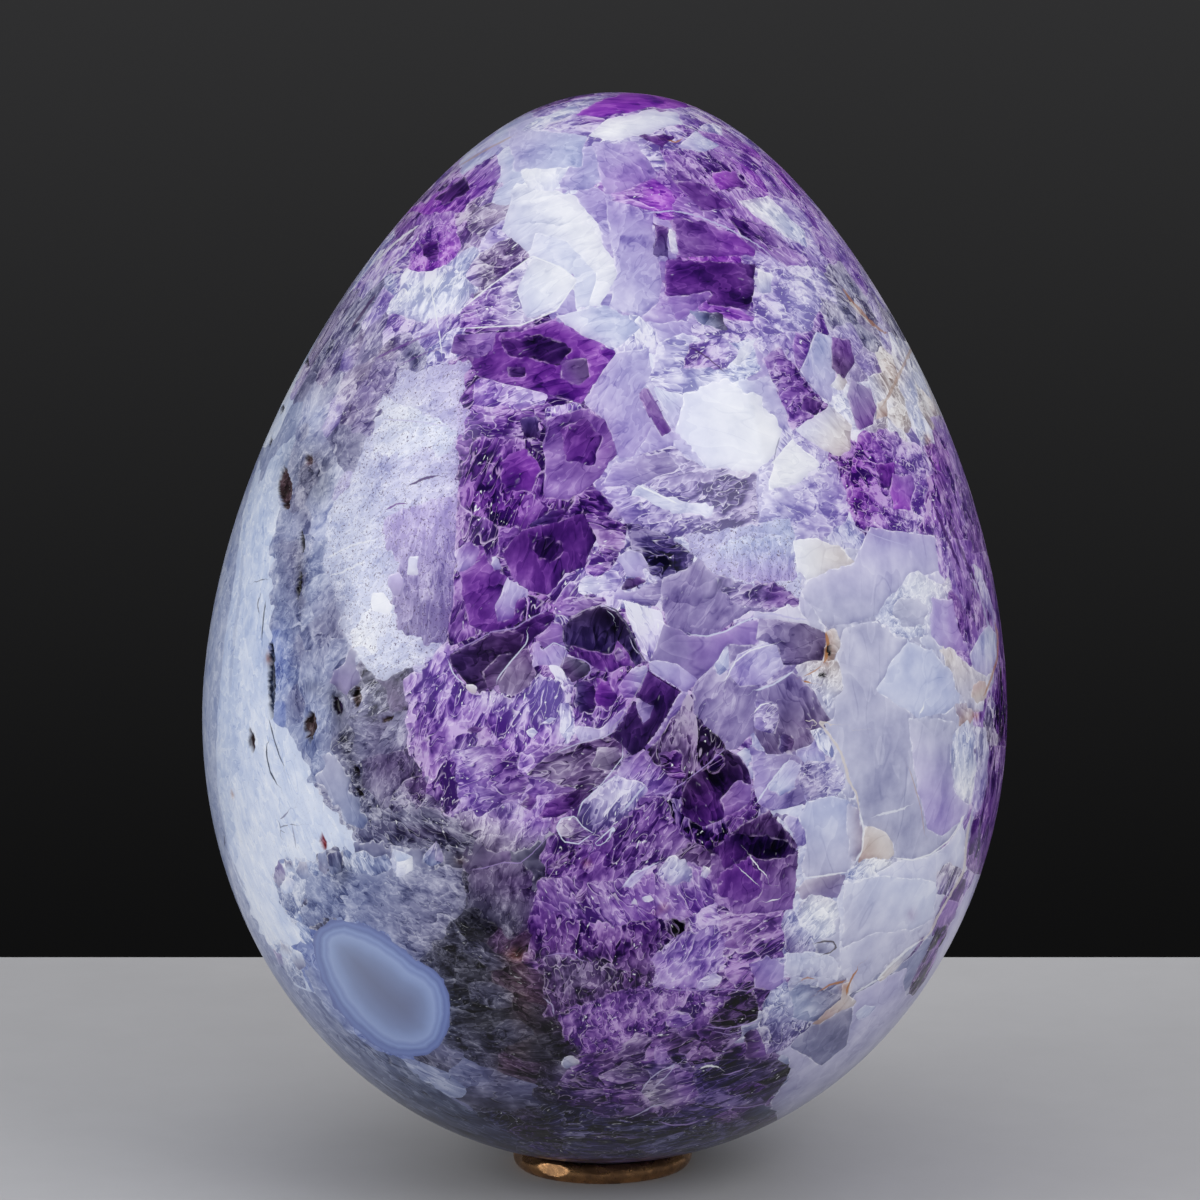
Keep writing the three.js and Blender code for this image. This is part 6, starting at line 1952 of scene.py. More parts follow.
    def _finished(
        self, directions: np.ndarray, triangles: np.ndarray, owners: np.ndarray
    ) -> bpy.types.Object:
        """Puts the cut skin on the egg and writes what the finish reads.

        Args:
            directions: Vertices on the ball.
            triangles: Triangles.
            owners: Each triangle's crystal.

        Returns:
            The egg's object.
        """
        places, normals = self.form.skin(directions)
        depth = self._pit_depth(places)
        mesh = bpy.data.meshes.new(self.name)
        sunk = places - depth[:, None] * normals
        mesh.vertices.add(len(sunk))
        mesh.vertices.foreach_set("co", (sunk * MM).ravel())
        mesh.loops.add(triangles.size)
        mesh.loops.foreach_set("vertex_index", triangles.ravel())
        mesh.polygons.add(len(triangles))
        mesh.polygons.foreach_set("loop_start", np.arange(0, triangles.size, 3))
        mesh.update()
        mesh.validate()
        egg = bpy.data.objects.new(self.name, mesh)
        bpy.context.scene.collection.objects.link(egg)
        mesh.polygons.foreach_set("use_smooth", np.ones(len(triangles), dtype=bool))
        mesh.normals_split_custom_set_from_vertices(self._shading(places, normals, depth))
        self._write_attributes(mesh, places, triangles, owners, depth)
        LOG.info("%s: %d triangles", self.name, len(triangles))
        return egg

    def _shading(self, places: np.ndarray, normals: np.ndarray, depth: np.ndarray) -> np.ndarray:
        """Exact normals of the polish, tilted into the hollows.

        Args:
            places: Places on the skin, before the hollows.
            normals: The polish's normals there.
            depth: Depths of the hollows there.

        Returns:
            Unit normals.
        """
        tilted = normals.copy()
        near = np.flatnonzero(depth > 0)
        step = self.pit_step
        for axis in np.eye(3):
            tangent = axis - normals[near] * (normals[near] @ axis)[:, None]
            ahead = self._pit_depth(places[near] + step * tangent)
            behind = self._pit_depth(places[near] - step * tangent)
            slope = np.clip((ahead - behind) / (2 * step), -self.pit_slope, self.pit_slope)
            tilted[near] += slope[:, None] * axis
        return tilted / np.linalg.norm(tilted, axis=1, keepdims=True)

    def _write_attributes(
        self,
        mesh: bpy.types.Mesh,
        places: np.ndarray,
        triangles: np.ndarray,
        owners: np.ndarray,
        depth: np.ndarray,
    ) -> None:
        """Writes colour, grain, nature and veins to the mesh.

        Args:
            mesh: The egg's mesh.
            places: Vertices on the skin.
            triangles: Triangles.
            owners: Each triangle's crystal.
            depth: Depth of the hollows at each vertex.
        """
        growth = self.growth
        corner = triangles.ravel()
        owner = np.repeat(owners, 3)
        at, spots = places[corner], self.view.picture(places)
        fade = (
            np.einsum("ij,ij->i", at, growth.fade_space[owner])
            + np.einsum("ij,ij->i", spots[corner], growth.fade_plane[owner])
            + growth.fade_start[owner]
        )
        fade = np.clip(fade, 0, 1)[:, None]
        fade = fade * fade * (3 - 2 * fade)
        colour = growth.tints[owner] * (1 - fade) + growth.deeps[owner] * fade
        gap, lit = self._border(places)
        colour = self._staining_and_painted_light(colour, spots[corner], places[corner])
        colour = self._softened(colour, triangles, growth.soft[owner], gap[corner])
        colour = self._pitted(colour, spots[corner], places[corner], depth[corner])
        alpha = growth.agate[owner][:, None]
        self._attribute(mesh, "tint", "FLOAT_COLOR", "CORNER", np.hstack([colour, alpha]))
        grain = np.einsum("nij,nj->ni", growth.turns[owner], at) + growth.offsets[owner]
        self._attribute(mesh, "grain", "FLOAT_VECTOR", "CORNER", grain)
        self._attribute(mesh, "habit", "FLOAT_VECTOR", "CORNER", growth.natures[owner][:, :3])
        self._attribute(mesh, "texture", "FLOAT_VECTOR", "CORNER", growth.natures[owner][:, 3:])
        vein, vein_tint = self._veins(spots, places, triangles)
        self._attribute(mesh, "vein", "FLOAT_VECTOR", "CORNER", vein)
        self._attribute(mesh, "vein_tint", "FLOAT_COLOR", "CORNER", vein_tint)
        fields = np.column_stack([gap, self._eye_depth(spots), depth])
        self._attribute(mesh, "fields", "FLOAT_VECTOR", "POINT", fields)
        # The bevel attribute is painted light on the crystals' edges, lit on one side and shaded on the
        # other.
        bevel = np.zeros((triangles.size, 3))
        bevel[:, 0] = self._edge_light(lit, triangles).ravel()
        self._attribute(mesh, "bevel", "FLOAT_VECTOR", "CORNER", bevel)

    def _attribute(
        self, mesh: bpy.types.Mesh, name: str, kind: str, domain: str, values: np.ndarray
    ) -> None:
        """Writes one attribute.

        Args:
            mesh: The mesh.
            name: The attribute's name.
            kind: Its data type.
            domain: What carries it.
            values: One row for each carrier.
        """
        layer = mesh.attributes.new(name, kind, domain)
        key = "color" if kind == "FLOAT_COLOR" else "vector"
        layer.data.foreach_set(key, values.astype(np.float32).ravel())

    def _border(self, places: np.ndarray) -> tuple[np.ndarray, np.ndarray]:
        """Looks for the nearest border between crystals.

        Args:
            places: Vertices on the skin.

        Returns:
            Each vertex's distance from it in millimetres, and how far the way there faces the light.
        """
        tree = KDTree(len(places) - self.first_cut)
        for number in range(self.first_cut, len(places)):
            tree.insert(places[number], number)
        tree.balance()
        gap, lit = np.zeros(len(places)), np.zeros(len(places))
        light = np.array(self.light)
        for number, place in enumerate(places[: self.first_cut]):
            nearest, _, gap[number] = tree.find(place)
            lit[number] = (np.array(nearest) - place) @ light / max(gap[number], 1e-6)
        return gap, lit

    def _edge_light(self, lit: np.ndarray, triangles: np.ndarray) -> np.ndarray:
        """Carries the painted light on the crystals' edges from their inner vertices to the border.

        Args:
            lit: How far each vertex's way to the border faces the light.
            triangles: Triangles.

        Returns:
            The same for each corner of each triangle.
        """
        inner = triangles < self.first_cut
        count = inner.sum(axis=1)
        mean = (lit[triangles] * inner).sum(axis=1) / np.maximum(count, 1)
        return np.where(inner, lit[triangles], mean[:, None])

    def _softened(
        self, colour: np.ndarray, triangles: np.ndarray, soft: np.ndarray, gap: np.ndarray
    ) -> np.ndarray:
        """Lets the crystals' colours run into each other, most of all near their borders.

        Args:
            colour: Colours of the triangles' corners.
            triangles: Triangles.
            soft: How far each corner's crystal lets the others' colours in.
            gap: Each corner's distance from the nearest border.

        Returns:
            The softened colours.
        """
        here, ahead = triangles.ravel(), np.roll(triangles, -1, axis=1).ravel()
        faces = np.bincount(here)[:, None]
        root = np.sqrt(np.maximum(colour, 0))
        blurred = np.column_stack([np.bincount(here, channel) for channel in root.T]) / faces
        for _ in range(self.blur_rounds):
            around = [np.bincount(here, one[ahead]) + np.bincount(ahead, one[here]) for one in blurred.T]
            blurred = self.blur_keep * blurred + self.blur_take * np.column_stack(around) / faces
        share = (soft * (self.soft_inside + self.soft_border * np.exp(-gap / self.soft_reach)))[:, None]
        return (root + share * (blurred[here] - root)) ** 2

    def _staining_and_painted_light(self, colour: np.ndarray, spots: np.ndarray, places: np.ndarray) -> np.ndarray:
        """Lays the soft patches over the crystals' colours: staining in the stone, and painted shade low on
        the egg and painted highlights.

        Args:
            colour: Colours of the triangles' corners.
            spots: The corners in the picture's plane.
            places: The corners on the skin.

        Returns:
            The colours with the staining, the painted shade and the painted highlights laid on.
        """
        front = places[:, 1] < self.patch_front
        for stain in self.soft_patches:
            rel = turned(spots - np.array(stain.middle), stain.turn) / np.array(stain.reach)
            amount = stain.strength * np.exp(-self.patch_fall * (rel**2).sum(axis=1))
            if not stain.through:
                amount = amount * front
            colour = colour + amount[:, None] * (np.array(stain.tint.colour) - colour)
        return colour

    def _pitted(
        self, colour: np.ndarray, spots: np.ndarray, places: np.ndarray, depth: np.ndarray
    ) -> np.ndarray:
        """Darkens the hollows towards each one's own tint, the more the deeper.

        Args:
            colour: Colours of the triangles' corners.
            spots: The corners in the picture's plane.
            places: The corners on the skin.
            depth: Depths of the hollows there.

        Returns:
            The colours with the hollows darkened.
        """
        for pit in self.pits:
            distance, _ = offset_from(spots, np.array([pit.start, pit.end]))
            own = (np.abs(distance) < pit.half_width) & (places[:, 1] < 0)
            amount = np.where(own, np.clip(depth / self.pit_dark, 0, 1), 0)
            colour = colour + amount[:, None] * (np.array(pit.tint.colour) - colour)
        return colour

    def _eye_depth(self, spots: np.ndarray) -> np.ndarray:
        """Distance within the agate eye from its outline.

        Args:
            spots: Places in the picture's plane.

        Returns:
            Distances in millimetres, negative outside the eye.
        """
        number = next(n for n, crystal in enumerate(self.crystals) if crystal.kind is Kind.AGATE)
        outline = self.growth.outlines[number]
        closed = np.vstack([outline, outline[:1]])
        distance = np.abs(offset_from(spots, closed)[0])
        return np.where(inside(spots, outline), distance, -distance)

    def _veins(
        self, spots: np.ndarray, places: np.ndarray, triangles: np.ndarray
    ) -> tuple[np.ndarray, np.ndarray]:
        """Gives each triangle the vein nearest to it.

        Args:
            spots: Vertices in the picture's plane.
            places: Vertices on the skin.
            triangles: Triangles.

        Returns:
            For each corner the signed distance, half width and raggedness, and the colour and strength.
        """
        middles = spots[triangles].mean(axis=1)
        front = places[triangles, 1].mean(axis=1) < 0
        nearest = np.full(len(triangles), np.inf)
        vein_at = np.tile([self.vein_far, 0.0, 0.0], (triangles.size, 1)).reshape(-1, 3, 3)
        vein_tint = np.zeros((len(triangles), 3, 4))
        for vein in self.veins:
            path = np.array(vein.path, dtype=float)
            low, high = path.min(axis=0) - self.vein_margin, path.max(axis=0) + self.vein_margin
            chosen = np.flatnonzero(front & ((middles > low) & (middles < high)).all(axis=1))
            if not len(chosen):
                continue
            away = np.abs(offset_from(middles[chosen], path)[0]) - vein.width / 2
            closer = away < nearest[chosen]
            chosen = chosen[closer]
            if not len(chosen):
                continue
            nearest[chosen] = away[closer]
            distance, along = offset_from(spots[triangles[chosen]].reshape(-1, 2), path)
            taper = np.sqrt(np.clip(np.minimum(along, 1 - along) * self.vein_taper, self.vein_tip, 1))
            rows = np.column_stack([distance, vein.width / 2 * taper, np.full(len(distance), vein.ragged)])
            vein_at[chosen] = rows.reshape(-1, 3, 3)
            vein_tint[chosen] = [*vein.tint.colour, vein.strength]
        return vein_at.reshape(-1, 3), vein_tint.reshape(-1, 4)


Socket = Any


class Graph:
    """A node tree that is written one line per node."""

    def __init__(self, tree: bpy.types.NodeTree) -> None:
        """Starts writing in a tree.

        Args:
            tree: The material's or group's tree.
        """
        self.tree = tree

    def node(
        self, kind: str, inputs: dict[str | int, Socket] | None = None, **settings: Any
    ) -> bpy.types.Node:
        """Adds a node.

        Args:
            kind: The node's type without its ShaderNode prefix.
            inputs: Values or sockets for its inputs.
            settings: Its other properties.

        Returns:
            The node.
        """
        family = "NodeGroup" if kind in ("Input", "Output") else "ShaderNode"
        node = self.tree.nodes.new(family + kind)
        for name, value in settings.items():
            setattr(node, name, value)
        for name, value in (inputs or {}).items():
            self.feed(node.inputs[name], value)
        return node

    def feed(self, target: bpy.types.NodeSocket, value: Socket) -> None:
        """Links a socket to an input, or sets the input's own value.

        Args:
            target: The input.
            value: A socket, a value, or None to leave the input as it is.
        """
        if isinstance(value, bpy.types.NodeSocket):
            self.tree.links.new(value, target)
        elif value is not None:
            target.default_value = value

    def math(
        self, operation: str, a: Socket, b: Socket = None, c: Socket = None, clamp: bool = False
    ) -> Socket:
        """Adds a Math node and gives its result."""
        return self.node("Math", {0: a, 1: b, 2: c}, operation=operation, use_clamp=clamp).outputs[0]

    def vector(self, operation: str, a: Socket, b: Socket = None) -> Socket:
        """Adds a Vector Math node and gives its vector."""
        return self.node("VectorMath", {0: a, 1: b}, operation=operation).outputs[0]

    def dot(self, a: Socket, b: Socket) -> Socket:
        """Adds a dot product and gives its number."""
        return self.node("VectorMath", {0: a, 1: b}, operation="DOT_PRODUCT").outputs["Value"]

    def scaled(self, a: Socket, factor: Socket) -> Socket:
        """Scales a vector by a number."""
        return self.node("VectorMath", {0: a, "Scale": factor}, operation="SCALE").outputs[0]

    def mix(self, factor: Socket, a: Socket, b: Socket, blend: str = "MIX") -> Socket:
        """Adds a colour Mix node and gives its result."""
        node = self.node("Mix", {0: factor, 6: a, 7: b}, data_type="RGBA", blend_type=blend)
        return node.outputs[2]

    def span(
        self, value: Socket, low: float, high: float, start: float = 0.0, end: float = 1.0
    ) -> Socket:
        """Maps a range smoothly on to another, held at its ends.

        Args:
            value: What is mapped.
            low: Start of its range.
            high: End of its range.
            start: Result at low.
            end: Result at high.

        Returns:
            The result.
        """
        inputs = {0: value, 1: low, 2: high, 3: start, 4: end}
        return self.node("MapRange", inputs, interpolation_type="SMOOTHSTEP").outputs[0]

    def ramp(self, value: Socket, stops: list[tuple[float, Colour]]) -> Socket:
        """Adds a straight colour ramp.

        Args:
            value: Place on the ramp, from 0 to 1.
            stops: Places and the colours there.

        Returns:
            The ramp's colour.
        """
        node = self.node("ValToRGB", {0: value})
        node.color_ramp.interpolation = "LINEAR"
        while len(node.color_ramp.elements) < len(stops):
            node.color_ramp.elements.new(1)
        for element, (place, colour) in zip(node.color_ramp.elements, stops):
            element.position = place
            element.color = (*colour, 1)
        return node.outputs[0]

    def noise(
        self, vector: Socket, scale: float, detail: float = 2.0, roughness: float = 0.5
    ) -> bpy.types.Node:
        """Adds a Noise texture."""
        inputs = {"Vector": vector, "Scale": scale, "Detail": detail, "Roughness": roughness}
        return self.node("TexNoise", inputs)

    def voronoi(self, vector: Socket, scale: float, feature: str = "F1") -> bpy.types.Node:
        """Adds a Voronoi texture."""
        return self.node("TexVoronoi", {"Vector": vector, "Scale": scale}, feature=feature)

    def attribute(self, name: str) -> bpy.types.Node:
        """Adds an Attribute node that reads the piece's own attribute."""
        return self.node("Attribute", attribute_name=name)

    def parts(self, vector: Socket) -> tuple[Socket, Socket, Socket]:
        """Separates a vector into its three numbers."""
        node = self.node("SeparateXYZ", {0: vector})
        return node.outputs[0], node.outputs[1], node.outputs[2]

    def bent(self, vector: Socket, scale: float, amount: float, detail: float = 1.0) -> Socket:
        """Bends a field of places by noise.

        Args:
            vector: The places.
            scale: Scale of the noise.
            amount: How far it moves them.
            detail: Detail of the noise.

        Returns:
            The moved places.
        """
        bend = self.vector("SUBTRACT", self.noise(vector, scale, detail).outputs["Color"], (0.5,) * 3)
        return self.vector("ADD", vector, self.scaled(bend, amount))


@dataclass
class Effects:
    """Shader groups for breaks, streaks, lines and painted light in the stone, each built once.

    A stretch squeezes a group's pattern along the three axes of the crystal.
    """

    chip_stretch: Triple = (0.55, 1.1, 1.1)
    chip_bend: float = 1.5
    chip_swell: float = 0.8
    chip_swell_gain: float = 3.0
    chip_scales: tuple[Span, ...] = ((0.75, 0.6), (1.9, 0.4))
    chip_light: Triple = (0.25, 0.75, 0.3)
    chip_edge: float = 0.2
    chip_inside: float = 0.25
    chip_gain: float = 0.8
    chip_rim: float = 0.07
    chip_rim_side: Span = (0.12, 0.4)
    chip_rim_tilt: Span = (-0.15, 0.1)
    chip_rim_extra: float = 0.3
    wrinkle_stretch: Triple = (0.28, 1.1, 1.1)
    wrinkle_bend: float = 0.9
    wrinkle_bend_scale: float = 0.7
    wrinkle_scale: float = 1.5
    wrinkle_width: float = 0.016
    wrinkle_shift: float = 0.045
    wrinkle_patch_scale: float = 0.8
    wrinkle_patch: Span = (0.42, 0.56)
    feather_block: float = 0.5
    feather_jump: float = 1.6
    feather_stretch: Triple = (0.4, 1.0, 1.0)
    feather_scale: float = 0.75
    feather_steps: float = 6.0
    feather_fall: float = 3.5
    streak_stretch: Triple = (0.35, 2.6, 2.6)
    curl_scale: float = 1.7
    curl_width: float = 0.034
    curl_patch_scale: float = 2.3
    curl_patch: Span = (0.49, 0.55)
    glint_stretch: Triple = (0.7, 1.7, 1.7)
    glint_bend: float = 1.4
    glint_bend_scale: float = 1.6
    glint_scale: float = 1.9
    glint_luck: Span = (0.4, 0.44)
    glint_size: Span = (0.07, 0.22)
    line_wander_scale: float = 0.9
    line_swell_scale: float = 0.5
    line_swell: Span = (1.4, 0.3)
    line_edge: Span = (-0.05, 0.07)
    chips: bpy.types.NodeTree = field(init=False)
    wrinkles: bpy.types.NodeTree = field(init=False)
    feathers: bpy.types.NodeTree = field(init=False)
    streaks: bpy.types.NodeTree = field(init=False)
    curls: bpy.types.NodeTree = field(init=False)
    glints: bpy.types.NodeTree = field(init=False)
    line: bpy.types.NodeTree = field(init=False)

    def __post_init__(self) -> None:
        """Builds the groups."""
        self.chips = self._chips()
        self.wrinkles = self._wrinkles()
        self.feathers = self._feathers()
        self.streaks = self._streaks()
        self.curls = self._curls()
        self.glints = self._glints()
        self.line = self._line()

    def place(
        self, graph: Graph, group: bpy.types.NodeTree, inputs: dict[str | int, Socket]
    ) -> bpy.types.Node:
        """Places a group in a material.

        Args:
            graph: The material's graph.
            group: The group.
            inputs: Values or sockets for the group's inputs.

        Returns:
            The group's node.
        """
        node = graph.tree.nodes.new("ShaderNodeGroup")
        node.node_tree = group
        for name, value in inputs.items():
            graph.feed(node.inputs[name], value)
        return node

    def _start(self, name: str, inputs: dict[str, str], outputs: dict[str, str]) -> tuple[Graph, Any, Any]:
        """Begins a group with named sockets.

        Args:
            name: The group's name.
            inputs: Socket types by input name.
            outputs: Socket types by output name.

        Returns:
            The group's graph, its input node and its output node.
        """
        tree = bpy.data.node_groups.new(name, "ShaderNodeTree")
        for label, kind in inputs.items():
            tree.interface.new_socket(label, in_out="INPUT", socket_type="NodeSocket" + kind)
        for label, kind in outputs.items():
            tree.interface.new_socket(label, in_out="OUTPUT", socket_type="NodeSocket" + kind)
        graph = Graph(tree)
        return graph, graph.node("Input"), graph.node("Output")

    def _chips(self) -> bpy.types.NodeTree:
        """Curved chips of broken crystal at two sizes, each with a painted highlight on one rim and painted
        shade at the other.

        Returns:
            The group.
        """
        graph, start, end = self._start(
            "crystal chips", {"Vector": "Vector"}, {"Tone": "Float", "Tilt": "Vector", "Rim": "Float"}
        )
        long = graph.vector("MULTIPLY", start.outputs[0], self.chip_stretch)
        bent = graph.bent(long, self.chip_swell, self.chip_bend, 1.5)
        swell = graph.noise(bent, self.chip_swell, 3, 0.6).outputs[0]
        tone = graph.math("MULTIPLY", graph.math("SUBTRACT", swell, 0.5), self.chip_swell_gain)
        tilts, rims = [], []
        for scale, weight in self.chip_scales:
            cells = graph.voronoi(bent, scale)
            edge = graph.voronoi(bent, scale, "DISTANCE_TO_EDGE").outputs["Distance"]
            tilt = graph.vector("SUBTRACT", cells.outputs["Color"], (0.5,) * 3)
            # Painted shade: each chip is lighter on the side towards a fixed light and darker on the other.
            leaning = graph.vector("ADD", tilt, self.chip_light)
            side = graph.dot(graph.vector("SUBTRACT", bent, cells.outputs["Position"]), leaning)
            side = graph.math("MULTIPLY", side, scale)
            near = graph.span(edge, 0.0, self.chip_edge, 1.0, self.chip_inside)
            level = graph.math("MULTIPLY_ADD", graph.parts(tilt)[0], 0.5, graph.math("MULTIPLY", side, near))
            tone = graph.math("MULTIPLY_ADD", level, self.chip_gain * weight, tone)
            # The rim is a painted highlight, on the lit side of each chip only.
            rim = graph.span(edge, 0.0, self.chip_rim, 1.0, 0.0)
            rim = graph.math("MULTIPLY", rim, graph.span(side, *self.chip_rim_side))
            rim = graph.math("MULTIPLY", rim, graph.span(graph.parts(tilt)[1], *self.chip_rim_tilt))
            tilts.append(graph.scaled(tilt, weight))
            rims.append(graph.math("MULTIPLY", rim, weight + self.chip_rim_extra))
        graph.feed(end.inputs[0], tone)
        graph.feed(end.inputs[1], graph.vector("ADD", *tilts))
        graph.feed(end.inputs[2], graph.math("MAXIMUM", *rims))
        return graph.tree

    def _wrinkles(self) -> bpy.types.NodeTree:
        """Thin painted glints along wrinkles, each with a painted shadow line beside it, in patches.

        Returns:
            The group.
        """
        graph, start, end = self._start(
            "painted wrinkle glints", {"Vector": "Vector"}, {"Light": "Float", "Dark": "Float"}
        )
        long = graph.vector("MULTIPLY", start.outputs[0], self.wrinkle_stretch)
        bent = graph.bent(long, self.wrinkle_bend_scale, self.wrinkle_bend)
        patch = graph.noise(start.outputs[0], self.wrinkle_patch_scale, 1).outputs[0]
        patch = graph.span(patch, *self.wrinkle_patch)
        for number, shift in enumerate((0.0, self.wrinkle_shift)):
            moved = graph.vector("ADD", bent, (shift, -shift, shift))
            height = graph.noise(moved, self.wrinkle_scale, 1).outputs[0]
            away = graph.math("ABSOLUTE", graph.math("SUBTRACT", height, 0.5))
            line = graph.span(away, 0.0, self.wrinkle_width, 1.0, 0.0)
            graph.feed(end.inputs[number], graph.math("MULTIPLY", line, patch))
        return graph.tree

    def _feathers(self) -> bpy.types.NodeTree:
        """Shell-shaped breaks that start at a sharp bright edge and fade away.

        Returns:
            The group.
        """
        graph, start, end = self._start("healed breaks", {"Vector": "Vector"}, {"Break": "Float"})
        block = graph.voronoi(start.outputs[0], self.feather_block).outputs["Color"]
        stretched = graph.vector("MULTIPLY", start.outputs[0], self.feather_stretch)
        jumped = graph.vector("ADD", stretched, graph.scaled(block, self.feather_jump))
        height = graph.noise(jumped, self.feather_scale, 3, 0.55).outputs[0]
        step = graph.math("FRACT", graph.math("MULTIPLY", height, self.feather_steps))
        fading = graph.math("POWER", graph.math("SUBTRACT", 1.0, step), self.feather_fall)
        graph.feed(end.inputs[0], fading)
        return graph.tree

    def _streaks(self) -> bpy.types.NodeTree:
        """Fine lines along a crystal's growth.

        Returns:
            The group.
        """
        graph, start, end = self._start("growth streaks", {"Vector": "Vector"}, {"Streak": "Float"})
        stretched = graph.vector("MULTIPLY", start.outputs[0], self.streak_stretch)
        graph.feed(end.inputs[0], graph.noise(stretched, 1.0, 4, 0.6).outputs[0])
        return graph.tree

    def _curls(self) -> bpy.types.NodeTree:
        """Short dark curls and dashes, in patches.

        Returns:
            The group.
        """
        graph, start, end = self._start("dark curls", {"Vector": "Vector"}, {"Curl": "Float"})
        line = graph.noise(start.outputs[0], self.curl_scale, 1.5).outputs[0]
        away = graph.math("ABSOLUTE", graph.math("SUBTRACT", line, 0.5))
        patch = graph.noise(start.outputs[0], self.curl_patch_scale, 1).outputs[0]
        patch = graph.span(patch, *self.curl_patch)
        curl = graph.span(away, 0.0, self.curl_width, 1.0, 0.0)
        graph.feed(end.inputs[0], graph.math("MULTIPLY", curl, patch))
        return graph.tree

    def _glints(self) -> bpy.types.NodeTree:
        """Small bright glints, thinly strewn.

        Returns:
            The group.
        """
        graph, start, end = self._start("small glints", {"Vector": "Vector"}, {"Glint": "Float"})
        long = graph.vector("MULTIPLY", start.outputs[0], self.glint_stretch)
        bent = graph.bent(long, self.glint_bend_scale, self.glint_bend)
        cells = graph.voronoi(bent, self.glint_scale)
        lucky = graph.span(graph.parts(cells.outputs["Color"])[0], *self.glint_luck)
        spot = graph.span(cells.outputs[0], *self.glint_size, 1.0, 0.0)
        graph.feed(end.inputs[0], graph.math("MULTIPLY", spot, lucky))
        return graph.tree

    def _line(self) -> bpy.types.NodeTree:
        """A line of a given width with a ragged edge.

        Returns:
            The group.
        """
        graph, start, end = self._start(
            "ragged line",
            {"Vector": "Vector", "Distance": "Float", "Half Width": "Float", "Ragged": "Float"},
            {"Line": "Float"},
        )
        wander = graph.noise(start.outputs[0], self.line_wander_scale, 3, 0.6).outputs[0]
        wander = graph.math("SUBTRACT", wander, 0.5)
        moved = graph.math("MULTIPLY_ADD", wander, start.outputs["Ragged"], start.outputs["Distance"])
        swell = graph.noise(start.outputs[0], self.line_swell_scale, 2).outputs[0]
        swell = graph.math("MULTIPLY_ADD", swell, *self.line_swell)
        half = graph.math("MULTIPLY", start.outputs["Half Width"], swell)
        rest = graph.math("SUBTRACT", half, graph.math("ABSOLUTE", moved))
        graph.feed(end.inputs[0], graph.span(rest, *self.line_edge))
        return graph.tree


